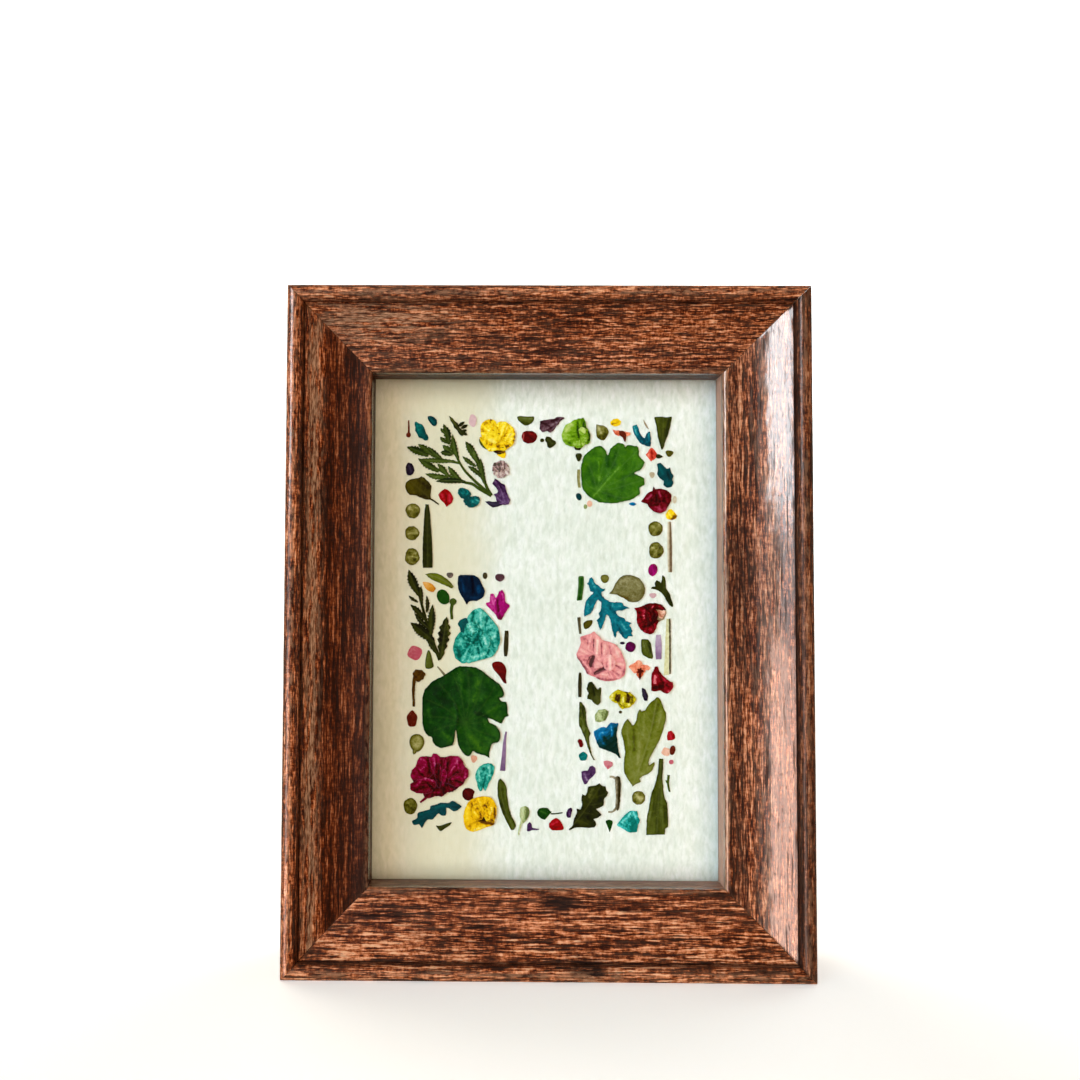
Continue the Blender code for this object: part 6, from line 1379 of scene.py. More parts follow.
# --------------------------------------------------------------- lower right quarter
T = P["teal"]
t = Pressed("leaf_teal_lobed_pressed", "teal", "leaf_teal_lobed")
t.sheet(T, [ol(591, 577, 592.9, 579.5, 594.8, 583.3, 599.2, 586.5, 601.8, 589, 604.9, 588.4, 603.7, 590.9, 601.1, 592.2, 601.8, 596, 604.9, 599.1, 610, 602.3, 616.3, 602.3, 621.4, 602.9,
        623.3, 605.5, 629, 608, 624.5, 609.3, 622, 611.2, 617.6, 610.5, 615.7, 611.8, 616.3, 614.3, 619.5, 616.9, 623.9, 618.1, 625.8, 621.3, 631.5, 623.2, 629, 625.1, 630.9, 628.3,
        632.2, 631.4, 630.9, 633.3, 632.8, 636.5, 628.4, 635.9, 625.8, 639, 623.9, 639, 621.4, 635.9, 617.6, 630.8, 616.3, 632.1, 615.7, 636.5, 614.4, 637.8, 612.5, 633.3, 611.3, 627,
        610, 620, 608.1, 616.9, 606.8, 614.3, 605.6, 615.6, 603.7, 622.6, 601.8, 627, 599.9, 630.8, 598.6, 627, 597.3, 622.6, 596.1, 620.7, 599.2, 616.9, 598.6, 613.7, 600.5, 609.3,
        601.1, 605.5, 600.5, 601.7, 598, 599.8, 596.7, 600.4, 594.8, 604.8, 592.3, 610.5, 589.7, 613.7, 585.9, 615.6, 584, 616.9, 583.4, 614.3, 584, 608, 584.7, 602.9, 586.6, 599.8,
        589.7, 596, 592.3, 594.1, 593.5, 592.2, 589.7, 591.5, 589.1, 589, 588.5, 585.2, 586.6, 583.3, 588.5, 582, 589.1, 578.2)],
        base=0.1, wob=0.16, wob_s=8, edge=0.12, edge_w=1.8, tone=0.46, tone_crease=0.4, crease=0.12, seed=9, step=0.85, amp=0.5,
        veins=[([(591, 579), (598, 594), (606, 606), (616, 622), (626, 637)], 0.6, 0.9), (mid(598, 597, 585, 615), 0.45, 0.8), (mid(603, 603, 599.5, 628), 0.45, 0.8),
               (mid(606, 606, 626, 608, 1.0), 0.45, 0.8), (mid(610, 614, 614, 634), 0.4, 0.6), (mid(616, 619, 629, 624), 0.4, 0.6)],
        marks=[([(590.5, 581), (595, 588)], 1.3, 0.25), ([(588, 602), (586.5, 611)], 1.3, 0.25), ([(601.5, 612), (600, 622)], 1.2, -0.3), ([(612, 606), (621, 606.6)], 1.2, 0.25),
               ([(609, 605), (614, 613)], 1.6, -0.3), ([(620, 621), (626, 630)], 1.4, 0.25), ([(617, 625), (623, 634)], 1.1, -0.3), ([(597, 590), (602, 597)], 1.4, -0.2)])
t.done()
leaf("bar_green", "green", "green_small", ol(578, 576.3, 583.6, 576.3, 583.6, 585.8, 582.4, 594.1, 581.8, 600.4, 576.2, 601, 577, 595.3, 578, 585.8), tone=0.85,
     marks=[([(581.4, 579), (580.4, 590), (579, 599)], 1.1, -0.45)], **TINY)
leaf("disc_olive_small", "olive", "olive_disc", blob(604.4, 578.8, 8.4, 8.4, waves=((3, 0.04, 0),)), tone=0.45, **TINY)
leaf("leaf_olive_round", "olive", "olive_round", ol(627.1, 574.8, 632.8, 575.7, 638.5, 578.2, 642.3, 582.7, 644.8, 588.4, 644.2, 594.1, 641.7, 598.5, 637.9, 601.7, 632.8, 602.6, 627.7, 601.7,
     623.9, 598.5, 619.5, 596.6, 616.3, 594.7, 612.5, 594.4, 608.7, 593.8, 611.3, 590.9, 613.2, 587.7, 615.1, 583.3, 618.9, 578.2, 622.7, 575.7),
     tone=lambda x, y, d: 0.64 - 0.5 * np.exp(-((x - 624) ** 2 / 60 + (y - 598) ** 2 / 12)) - 0.35 * np.exp(-((x - 642) ** 2 / 10 + (y - 592) ** 2 / 40)), wob=0.16, wob_s=11, edge=0.16,
     veins=feather(611, 593.4, 643, 585, 12, 6, width=0.4, power=0.4), step=1.0, crease=0.1, tone_crease=0.2,
     marks=[([(620, 582), (630, 579)], 1.8, 0.2), ([(630, 590), (638, 596)], 1.6, -0.2), ([(618, 590), (626, 590)], 1.2, -0.18), ([(636, 584), (640, 589)], 1.5, 0.18)])
leaf("sprig_forked", "dark_green", "sprig", ol(661.9, 575.1, 664.5, 577, 665.4, 582.7, 665.7, 589, 668.9, 592.8, 670.8, 599.1, 673, 605.5, 672.1, 607.4, 668.9, 605.5, 665.7, 600.4,
     663.2, 595.3, 660, 592.2, 655.6, 589.6, 650.5, 589, 651.2, 587.1, 655, 586.5, 654.3, 582.7, 656.2, 580.1, 659.4, 582, 660.7, 583.3), tone=0.45,
     veins=[([(672, 607), (667, 595), (664, 588), (662.5, 577)], 0.45, 0.8), ([(665, 592), (657, 582)], 0.4, 0.6)], step=0.8, marks=[([(663, 578), (663.6, 588)], 1.0, 0.25), ([(667, 594), (670.6, 603)], 1.0, -0.2)])
leaf("petal_pink_tiny", "pink", "pale_pink", blob(652.4, 595.6, 6.8, 5.2, waves=((3, 0.1, 0),)), tone=0.25, **TINY)

b = Pressed("flower_dark_red_pressed", "crimson", "flower_dark_red")
R = P["crimson"]
b.sheet(P["beige"], [ol(652, 605, 658, 604, 664, 608, 666, 613, 664, 619, 659, 622, 653, 619)], base=0.1, tone=0.3, crease=0.2, seed=72, step=0.85)
b.flap(R, ol(633.4, 608, 638.5, 607.4, 642.9, 605.5, 648, 605, 652, 610, 652, 618, 648, 624, 642, 625, 637.2, 625.1, 636, 620, 636.6, 614.3, 635.4, 610.5), face=180, z0=0.28, z1=0.36, tone=0.34,
       seed=71, deep=0.45, marks=[([(643.6, 611), (643.6, 617.5)], 1.3, 0.45), ([(638, 611), (642, 620)], 1.0, -0.25), ([(647, 609), (648.5, 619)], 1.4, -0.35)])
b.flap(R, ol(642.9, 605.5, 646.7, 603.6, 654.3, 603.2, 660.7, 604.5, 663.8, 607.4, 665.4, 610.5, 662, 611.5, 656, 609.5, 650, 610, 645, 610.5), face=86, z0=0.34, z1=0.42, tone=0.12, seed=72,
       step=0.85, marks=[([(651.2, 608), (653, 606)], 1.1, 0.55), ([(659, 606.5), (662.5, 609)], 0.9, 0.35)])
b.flap(P["peach"], ol(656, 612.5, 657.5, 609.6, 661, 610.8, 664.5, 610, 665.1, 614.3, 662.4, 616.6, 661.6, 619, 658.4, 618), face=-15, z0=0.36, z1=0.46, tone=0.45, seed=75, step=0.85,
       marks=[([(658, 613), (661, 617)], 0.9, -0.4), ([(663, 612)], 1.3, 0.3), ([(656, 616)], 1.4, -0.5)])
b.flap(R, ol(637.2, 625.1, 642, 623, 648, 621, 655, 619, 659.4, 620.7, 656.2, 625.1, 655.6, 628.3, 653.7, 632.1, 649.9, 634.6, 644.8, 633.3, 640.4, 630.2), face=-88, z0=0.36, z1=0.42, tone=0.34,
       seed=73, deep=0.45, marks=[([(649.9, 629.5)], 1.5, 0.5), ([(643, 627), (650, 625)], 1.1, -0.3), ([(653, 623), (655, 627)], 1.0, 0.25), ([(644, 631)], 1.3, 0.2)])
b.flap(R, ol(645, 611, 650, 608.5, 656, 610, 658, 615, 656, 621, 651, 625.5, 646.5, 624, 644.5, 618), face=110, z0=0.6, z1=0.8, tone=0.10, seed=77, crumple=0.3,
       marks=[([(648, 613), (650, 621)], 0.9, 0.35), ([(653, 613), (653.6, 620)], 1.2, -0.2), ([(655.8, 612)], 1.0, 0.4)])
b.done()
leaf("scrap_olive_brown", "olive", "heart", soft([(582.6, 623), (586.5, 620.6), (592.4, 619.8), (592, 624), (588.6, 628.4), (584, 629.6)], 2), tone=0.75, tone_crease=0.5, **TINY)
leaf("sliver_brown_right", "brown", "stem", strip([(578.6, 617.4), (579, 625), (580, 634)], 3.4, 2.2), tone=0.35, **TINY)

b = Pressed("blossom_pink_pressed", "pink", "blossom_pink")
K = P["pink"]
# the dark slits in this blossom's marks are painted shadow in openings between petals
b.sheet(K, [ol(593.5, 631.4, 599.2, 637.1, 602.4, 640.3, 610, 642.2, 616.3, 645.4, 620.4, 651, 623.1, 657.5, 625.1, 663.4, 625.1, 669.9, 624.2, 675.1, 618.9, 679.3, 613.1, 680.7, 605.5, 681.3,
        598.4, 679.5, 594.3, 676.9, 589.6, 675.4, 586.1, 673.4, 584.9, 669.9, 582, 666.3, 579.6, 661.6, 577, 658.7, 576.1, 654, 578.5, 648.7, 580.8, 642.9, 579.6, 637.1, 584.7, 635.2, 589.7, 634)],
        base=0.16, wob=0.12, tone=0.34, seed=82, crease=0.2, crease_s=4, tone_crease=0.4,
        marks=[([(577, 658), (584, 667), (587, 673.5)], 1.3, -0.3), ([(583, 662), (590, 671)], 1.0, 0.2), ([(593.2, 657), (591.4, 661), (590, 665.5)], 1.5, -0.6), ([(603.5, 668.6), (600, 670.6), (595, 673)], 1.6, -0.6)])
soft_k = dict(deep=0.26, light=0.12, crumple=0.16)
b.flap(K, ol(576.1, 654, 578.5, 648.7, 580.8, 642.9, 579.6, 637.1, 584.7, 635.2, 589.7, 634, 593.5, 631.4, 596.5, 634.5, 597, 643, 595, 651, 590, 656.5, 584, 658.5, 579, 657.5), face=135, z0=0.3, z1=0.42,
       tone=0.46, seed=81, pleats=4, marks=[([(585, 638), (589, 644)], 2.6, -0.22), ([(593.7, 640), (593.7, 649)], 1.1, -0.35), ([(581, 650), (587, 654)], 1.2, 0.2), ([(590.5, 636), (588, 648)], 0.9, 0.22)], **soft_k)
b.flap(K, ol(594.5, 633, 599.2, 637.1, 602.4, 640.3, 606, 643, 607, 650, 604.5, 658, 600, 663.5, 595.5, 660, 593.5, 652, 593.6, 642), face=100, z0=0.42, z1=0.54, tone=0.56, seed=82, pleats=4,
       marks=[([(597, 640.5), (596.6, 653.4)], 0.9, 0.4), ([(601, 643), (601.5, 656)], 1.1, -0.28), ([(604.5, 645), (603.6, 654)], 0.9, 0.2)], **soft_k)
b.flap(K, ol(604.5, 641.5, 610, 642.2, 616.3, 645.4, 620.4, 651, 623.1, 657.5, 618, 661, 611, 662, 606, 660, 604, 653, 604.5, 646), face=48, z0=0.36, z1=0.46, tone=0.54, seed=83, pleats=5,
       marks=[([(609, 646), (611, 656)], 1.1, -0.25), ([(615, 648), (618, 656)], 1.2, 0.2), ([(620.8, 653.5), (622, 659)], 1.0, -0.3)], **soft_k)
b.flap(K, ol(607, 661, 613, 658.5, 620, 658, 624, 659.5, 625.1, 663.4, 625.1, 669.9, 624.2, 675.1, 618.9, 679.3, 613.5, 678, 609, 672, 606.4, 666), face=-12, z0=0.36, z1=0.44, tone=0.50, seed=84, pleats=6,
       marks=[([(612, 664), (620, 668)], 1.0, -0.3), ([(611, 669), (618, 675)], 1.0, -0.22), ([(616, 663.5), (622.5, 665)], 1.0, 0.2), ([(624.4, 668), (622.5, 675)], 1.2, -0.35)], **soft_k)
b.flap(K, ol(594.5, 673, 600, 671, 606, 669, 611, 671.5, 616, 677, 613.1, 680.7, 605.5, 681.3, 598.4, 679.5, 594.3, 676.9), face=-84, z0=0.38, z1=0.42, tone=0.42, seed=85, pleats=6,
       marks=[([(604.5, 669), (600, 671), (595.5, 673.4)], 1.5, -0.6), ([(597, 678), (606, 680), (614, 679.6)], 1.2, -0.3), ([(600, 674), (607, 675)], 0.9, 0.25)], **soft_k)
b.flap(K, ol(579.5, 656, 585, 654, 590.6, 655.5, 590.6, 658.8, 587.6, 661.2, 586.6, 664.8, 583.5, 662.2), face=205, z0=0.34, z1=0.4, tone=0.44, seed=86, pleats=3, step=0.8, marks=[([(583, 660), (588, 660.5)], 0.8, -0.2), ([(590.8, 656.5), (588.6, 661), (587, 665)], 1.3, -0.55)], **soft_k)
b.flap(K, ol(604, 656, 608, 653.5, 613, 656, 615.5, 662, 613.5, 669, 608.5, 671.5, 603.8, 668.5, 601.8, 662), face=8, z0=0.56, z1=0.72, tone=0.62, seed=88, pleats=5,
       marks=[([(609.5, 656), (609.5, 669)], 1.0, 0.25), ([(606.3, 659), (606.5, 667)], 0.9, -0.28), ([(612.4, 660), (612, 667)], 0.8, -0.2)], **soft_k)
b.flap(K, ol(592.6, 665.5, 593.8, 661.5, 597, 659.5, 601.5, 663.5, 602.6, 666.4, 598.6, 668.6, 594.6, 669.6, 592, 668.6), face=-55, z0=0.44, z1=0.54, tone=0.56, seed=89, pleats=4, step=0.8,
       marks=[([(592.4, 663), (592.6, 667.4)], 1.0, -0.4), ([(602.4, 667.4), (598, 669.4), (594.6, 669.8)], 1.1, -0.5)], **soft_k)
b.done()
leaf("petal_beet_round", "purple", "plum_disc", blob(630.1, 647, 10.4, 10.4, waves=((4, 0.03, 0),)), tone=0.4, marks=[([(628, 645), (632, 649)], 1.3, 0.3)], **TINY)
leaf("scrap_grey_tail", "brown", "slate", blob(622, 643.2, 5, 2.8), tone=0.6, **TINY)
leaf("leaf_olive_short", "olive", "wedge", ol(640.7, 639.3, 647.7, 639.3, 650.6, 643.5, 651.2, 648.7, 652.7, 656.4, 652.1, 659, 648.3, 658.4, 642.4, 655.2, 641, 651.7, 640.7, 645.2),
     tone=0.5, veins=[(mid(651.5, 658, 644, 640.6), 0.5, 0.7)], marks=[([(643, 642), (645, 652)], 1.2, 0.25), ([(648.6, 643), (650, 653)], 1.1, -0.3)], **TINY)
leaf("bar_lilac", "purple", "lilac", blade(658.2, 659.4, 658, 634.8, 6.4, peak=0.5, ends=(0.85, 0.7)), tone=down(658, 636, 658, 658, 0.85, 0.3), **TINY)
s2 = Pressed("stem_pale_tall", "olive")
s2.sheet(P["pale_stem"], [strip([(667.4, 619), (666.8, 640), (666.3, 660), (665.8, 675)], 3.0, 5.2)], base=0.07, tone=0.8, seed=3, step=0.8)
s2.sheet(P["stem"], [strip([(669.1, 618.6), (669.5, 645), (669.5, 674)], 2.0, 1.5)], base=0.15, tone=0.42, seed=4, step=0.7)
s2.done()

q = Pressed("flower_coral_star_pressed", "coral", "flower_coral_star")
for k, (face, z, ring) in enumerate((
        (168, 0.16, ol(628.3, 665.8, 630.7, 664.6, 634.2, 662.8, 638, 664.5, 640.5, 669, 638.5, 673, 633.6, 673.4, 630.7, 669.9, 628.3, 667.5)),
        (10, 0.18, ol(640, 666, 642.4, 664.6, 647.1, 665.2, 650.1, 667.5, 648.3, 670.5, 645.4, 669.9, 644.2, 673.4, 640.5, 672.5, 638.6, 669)),
        (92, 0.28, ol(634.2, 662.8, 636.6, 660.5, 638.9, 659.9, 641.2, 662.2, 642.4, 664.6, 642.5, 669, 639.5, 671.5, 635.5, 668.5)),
        (-90, 0.22, ol(636, 671, 640, 670, 643.5, 671.5, 642.4, 675.7, 640.1, 677.5, 639.5, 680.4, 638.3, 678.1, 636, 675.1)))):
    q.flap(P["coral"], ring, face=face, z0=z, z1=z + 0.12, tone=0.64 if face != -90 else 0.34, seed=101 + k, pleats=3, step=0.75, crumple=0.2)
q.sheet(P["maroon"], [blob(639.5, 671, 5.4, 5.6, waves=((5, 0.28, 90),)), blade(639.5, 673, 639.3, 679.6, 2.6, ends=(0.8, 0))], base=0.42, tone=0.35, seed=9, step=0.65)
q.done()
b = Pressed("flower_crimson_bell_pressed", "crimson", "flower_crimson_bell")
# painted highlight: the first light stroke; the dark strokes are painted shade in its folds
b.sheet(R, [ol(654.2, 666.9, 657.1, 666.3, 658.3, 669.9, 661.2, 674.6, 665.9, 678.7, 670.6, 682.2, 672.4, 682.2, 672.6, 687.5, 669.4, 691.6, 666.5, 693.9, 663, 692.8, 660, 690.4, 654.2, 691.6,
        650.6, 691, 650.9, 684, 650.6, 678.1, 651.2, 673.4, 653, 670.5)], base=0.16, crease=0.35, crease_s=5, stretch=(1, 2.6, 20), tone_crease=0.35, seed=91, step=0.8, tone=0.46,
        marks=[([(655, 676), (654.4, 683)], 1.5, 0.65), ([(654, 688), (662, 686.5)], 2.2, -0.4), ([(658.5, 672), (662.5, 683)], 1.1, -0.3), ([(661, 677), (666, 682)], 1.0, 0.25), ([(655.5, 668.5)], 1.2, -0.3)])
b.flap(R, ol(663, 684, 667, 681, 672.4, 682.2, 672.6, 687.5, 669.4, 691.6, 666.5, 693.9, 663.4, 690), face=-15, z0=0.4, z1=0.48, tone=0.58, seed=92, step=0.8,
       marks=[([(666, 685), (669.5, 688)], 0.9, -0.3), ([(668, 691)], 1.0, 0.25)])
b.done()
leaf("bar_dark_right", "dark_green", "stem", blade(579.6, 697, 579.8, 672.6, 3.8, peak=0.5, ends=(0.8, 0.6)), tone=0.12, **TINY)
leaf("leaf_oak_small", "olive", "sprig", ol(588.4, 682.2, 591.4, 681.6, 593.7, 684.5, 595.5, 687.5, 597.8, 689.8, 599, 687.5, 600.8, 687.5, 600.8, 692.8, 600.2, 698.6, 600.5, 702.7, 597.2, 705.1,
     593.7, 703.3, 591.4, 699.8, 587.3, 698.6, 586.7, 696.3, 588.4, 693.3, 586.1, 688.6, 587, 686.9, 587.6, 684), tone=down(589, 683, 599, 703, 0.35, 0.85), wob=0.14, step=0.8,
     veins=[(mid(598, 703, 590, 683), 0.45, 0.8), (mid(597, 700, 600, 689), 0.4, 0.6), (mid(594, 696, 588, 697), 0.35, 0.5)], marks=[([(593, 688), (594, 695)], 1.1, -0.3), ([(596.5, 696), (598, 702)], 1.1, 0.25)])
b = Pressed("flower_yellow_dark_pressed", "yellow", "flower_yellow_dark")
Z = P["yellow_olive"]
b.sheet(P["dark_brown"], [ol(610.5, 697, 614, 692.5, 618, 690.5, 628, 692.3, 633, 696, 634, 699.5, 631, 704, 624, 706.5, 616, 702.5)], base=0.08, tone=0.5, seed=1, tone_crease=0.9, crease=0.1, crease_s=3)
b.flap(Z, ol(608.4, 698, 609.6, 695.1, 613.1, 692.2, 617.2, 689.2, 620.5, 690.6, 620.5, 694, 616, 694.4, 614.4, 699, 617.5, 703, 614.8, 703.3, 610.7, 700.4), face=175, z0=0.28, z1=0.34, tone=0.62, seed=111,
       step=0.8, marks=[([(612, 695), (611, 699)], 1.2, 0.25), ([(615.8, 694.4), (614.8, 700)], 1.1, -0.4)])
b.flap(Z, ol(626, 693.3, 629.2, 691.6, 631.9, 694.5, 634.2, 696.3, 636, 699.2, 634.2, 702.7, 631.3, 705.7, 628, 704, 629.6, 700, 630.8, 696.6, 628.6, 694.6), face=5, z0=0.28, z1=0.34, tone=0.44, seed=112,
       step=0.8, marks=[([(631.6, 696.5), (632, 702)], 1.1, -0.35), ([(629.4, 693.4)], 1.2, 0.2)])
b.flap(Z, ol(617.2, 689.6, 622.5, 691, 626, 693.3, 626.4, 697, 625.6, 702, 622, 705.6, 619, 703, 619.6, 698.6, 620.4, 694.4), face=-80, z0=0.4, z1=0.46, tone=0.62, seed=113, step=0.8,
       marks=[([(623, 697), (622, 702)], 1.0, 0.3), ([(625.6, 696), (625.4, 701)], 0.9, -0.4), ([(620.2, 697), (619.8, 701)], 0.8, -0.35)])
b.flap(Z, ol(616.4, 702, 620, 701.6, 625, 702.4, 630, 703.4, 631.3, 705.7, 628.3, 708, 624.2, 708, 621.9, 709.8, 618.9, 706.8), face=-90, z0=0.36, z1=0.4, tone=0.5, seed=114, step=0.8,
       marks=[([(628.3, 704.4)], 1.8, 0.45), ([(620, 704), (624, 706.6)], 1.0, -0.3)])
b.done()
leaf("scrap_tail_yellow", "brown", "stem", blob(620, 712.2, 3.2, 2.8), tone=0.2, **TINY)
leaf("petal_navy_purple", "purple", "slate", ol(641.2, 687.5, 644.8, 689.2, 647.7, 695.7, 647.1, 701, 644.2, 701, 643, 698.6, 641.8, 695.7), tone=0.35, marks=[([(643, 690), (645.4, 698)], 0.9, 0.25)], **TINY)
p = Pressed("petal_green_pale_pressed", "green")
p.sheet(P["pale_green"], [ol(598.6, 709.6, 604.9, 709.2, 608.1, 711.5, 607.5, 715.9, 604.9, 720.3, 599.2, 722.2, 594.8, 720.9, 594.6, 715, 597, 711)], base=0.12, tone=0.5, crease=0.4, crease_s=3.6,
        tone_crease=0.7, seed=5, step=0.8, marks=[([(607, 712), (604.6, 719.5)], 1.3, -0.6), ([(598, 713), (600, 719)], 1.2, 0.35), ([(602, 712.5), (602.6, 717)], 1.0, -0.35)])
p.done()
leaf("leaf_lance_olive", "olive", "wedge", ol(579, 701.3, 581.5, 702, 584.7, 707, 585.9, 712.1, 585.6, 715.9, 586.6, 723.5, 589.1, 731.1, 590.4, 733, 588.8, 736.2, 589.1, 743.1, 590.4, 748.8,
     591.6, 753.9, 594.2, 759, 595.4, 760.2, 592.9, 759.6, 590.4, 754.5, 587.8, 747.6, 584.7, 738.1, 581.5, 730.5, 579, 725.4, 578.6, 717.2, 579, 707.7),
     tone=lambda x, y, d: 0.62 - 0.38 * (fbm(x / 4, y / 9, 4, 2) > 0.08) + 0.2 * np.clip((y - 740) / 20, 0, 1), wob=0.14,
     veins=[([(594.6, 759.6), (587, 740), (583, 724), (580.6, 704)], 0.45, 0.9)], step=0.82, marks=[([(583, 709), (583.4, 718)], 1.1, -0.3), ([(580.6, 718), (584, 729)], 1.0, 0.25)])
p = Pressed("leaf_olive_lobed_pressed", "olive", "leaf_olive_lobed")
p.sheet(P["olive_leaf"], [ol(656.5, 696.9, 660, 699.4, 661.9, 704.5, 663.2, 708.9, 665.4, 712.1, 665.7, 717.8, 663.8, 724.8, 662.6, 730.5, 660.7, 735.5, 658.8, 740.6, 656.2, 745, 653.7, 749.5,
        651.2, 753.9, 648.6, 759, 648, 762.1, 648.6, 765.3, 651.2, 763.4, 654.3, 761.5, 653.7, 765.3, 651.8, 770.4, 648, 773.5, 642.9, 775.4, 639.1, 778, 640.1, 780.5, 640.4, 781.8, 635.3, 783.7,
        632.2, 786.2, 631.2, 783.7, 627.7, 779.2, 623.9, 772.3, 623.3, 764.7, 623.9, 758.3, 624.9, 752, 623.9, 745.7, 622.7, 739.3, 620.8, 733, 621.1, 729.2, 623.3, 723.5, 627.1, 718.4,
        630.3, 722.9, 631.5, 726, 633.4, 725.4, 636, 720.3, 636.6, 714, 639.1, 708.9, 641, 711.5, 644.8, 710.2, 646.7, 706.4, 649.9, 702.6, 653.7, 699.4)], base=0.1, wob=0.22, wob_s=14,
        edge=0.18, amp=0.3, tone=lambda x, y, d: 0.40 + 0.2 * np.clip((y - 700) / 60, 0, 1) - 0.25 * np.exp(-np.abs(x - 625) / 3) * (y > 735) + 0.2 * fbm(x / 8, y / 13, 3, 3),
        veins=feather(632, 785, 656, 700, 15, 8, bend=-3.0, width=0.45, power=0.55, slant=1.0) + [(mid(634, 772, 627, 721, 2), 0.45, 0.6), (mid(637, 765, 639, 712), 0.45, 0.6),
               (mid(634, 784, 653, 764), 0.45, 0.5)], seed=14, step=1.05,
        marks=[([(658, 704), (654, 720), (650, 736)], 1.6, -0.2), ([(661, 712), (657, 728)], 1.5, 0.2), ([(633, 728), (633.6, 750)], 1.6, -0.3, 0.1), ([(644, 714), (643, 735)], 1.5, 0.2),
               ([(640, 740), (637, 765)], 1.6, 0.2), ([(626.5, 728), (628, 744)], 1.3, 0.18), ([(646, 752), (641, 770)], 1.5, -0.22)])
p.done()
f = Pressed("petal_blue_fan_pressed", "teal", "petal_blue_fan")
# painted highlight: the first light stroke
f.sheet(P["blue"], [ol(593.5, 731.1, 596.7, 729.2, 599.9, 727.3, 603.7, 726.7, 606.2, 727.3, 609.4, 722.9, 611.9, 722.2, 615.1, 723.5, 617.9, 722.9, 617.6, 726.7, 616.3, 733, 617, 739.3,
        617.6, 745.7, 618.9, 753.3, 620.4, 757.7, 618.9, 757.7, 615.7, 753.9, 611.3, 752, 607.5, 750.7, 602.4, 748.8, 599.2, 747.6, 596.7, 743.1, 595.4, 738.7, 594.2, 735.5)],
        base=0.14, crease=0.35, crease_s=4.5, stretch=(1, 3.4, -45), tone=lambda x, y, d: np.clip(0.80 - 0.95 * ((x - 597) + (y - 728)) / 36, 0.04, 0.85), tone_crease=0.3, seed=15, step=0.85,
        marks=[([(601, 733), (607, 731.6)], 1.3, 0.22), ([(611, 726), (612, 736)], 1.0, 0.3), ([(604, 737), (612, 748)], 1.2, -0.25), ([(599, 734), (603, 743)], 1.0, 0.2), ([(615, 728), (614.6, 740)], 0.9, -0.2)])
f.done()
leaf("petal_red_right", "crimson", "red", ol(666.4, 736.8, 667.6, 731.7, 670.8, 730.5, 674, 734.3, 674.9, 738.1, 672.7, 740, 667, 740.6), tone=0.5, crease=0.2, tone_crease=0.4,
     marks=[([(669, 733), (671, 738)], 0.9, 0.3), ([(673, 737)], 1.1, -0.3)], **TINY)
leaf("petal_red_tiny", "crimson", "dark_red", ol(577.1, 740.6, 579, 738.7, 581.5, 739.3, 583.4, 744.4, 582.1, 746.9, 579.6, 746.9, 578.3, 743.1), tone=0.5, **TINY)
leaf("petal_teal_round", "teal", "teal_double", blob(583, 756.2, 8.6, 8.8, waves=((5, 0.05, 0),)), tone=0.42, crease=0.2, tone_crease=0.5, **TINY)
p = Pressed("petal_orange_pair", "coral")
p.sheet(P["peach"], [blob(665.6, 751.8, 9, 8.4, waves=((4, 0.08, 0),))], base=0.08, tone=0.6, seed=5, step=0.75)
p.sheet(P["maroon"], [blob(672, 750.2, 5.6, 9.6, tilt=-10)], base=0.14, tone=0.5, seed=6, step=0.75)
p.done()
leaf("petal_rose_tiny", "pink", "rose", blob(670.8, 762, 4.6, 4.6), tone=0.55, **TINY)
leaf("petal_pink_small", "pink", "rose", ol(603, 760.9, 607.5, 760.2, 612.5, 762.1, 612.5, 765.3, 609.4, 767.8, 607.5, 769.1, 604.3, 765.3), tone=0.75, crease=0.15, tone_crease=0.4, **TINY)
leaf("petal_purple_heart", "purple", "purple", ol(581.2, 771, 584.7, 770.4, 587.8, 770.4, 589.1, 766.6, 592.3, 765.3, 595.4, 767.8, 595.7, 772.3, 592.9, 776.1, 589.1, 779.2, 586.6, 783.7,
     584.3, 784.3, 581.5, 778), tone=0.45, crease=0.2, tone_crease=0.4, marks=[([(584, 773), (587, 780)], 1.1, 0.3), ([(591, 768), (591, 775)], 1.0, -0.25)], **TINY)
leaf("disc_olive_low", "olive", "olive_disc", ol(631.5, 796, 633.6, 792, 638, 790.4, 642.6, 791.6, 645, 795.4, 644.6, 800.4, 641, 804, 636, 804.4, 632.4, 801.4), tone=0.5, crease=0.25, tone_crease=0.5,
     marks=[([(635, 794), (641, 799)], 1.5, 0.25), ([(640, 794)], 1.6, -0.3), ([(635, 801)], 1.5, -0.25)],
     **{**TINY, "edge": 0.14})
leaf("scrap_green_wedge", "dark_green", "green_small", soft([(605, 820.4), (609.4, 819.2), (613, 821), (611.4, 827), (609.6, 832.6), (608, 828)], 1), tone=0.3, **TINY)
leaf("sliver_grey_green", "dark_green", "fern", strip([(668.2, 775), (667.6, 784), (669.2, 792)], 2.6, 1.8), blade(668, 784, 665.2, 780, 2.4), tone=0.6, **TINY)
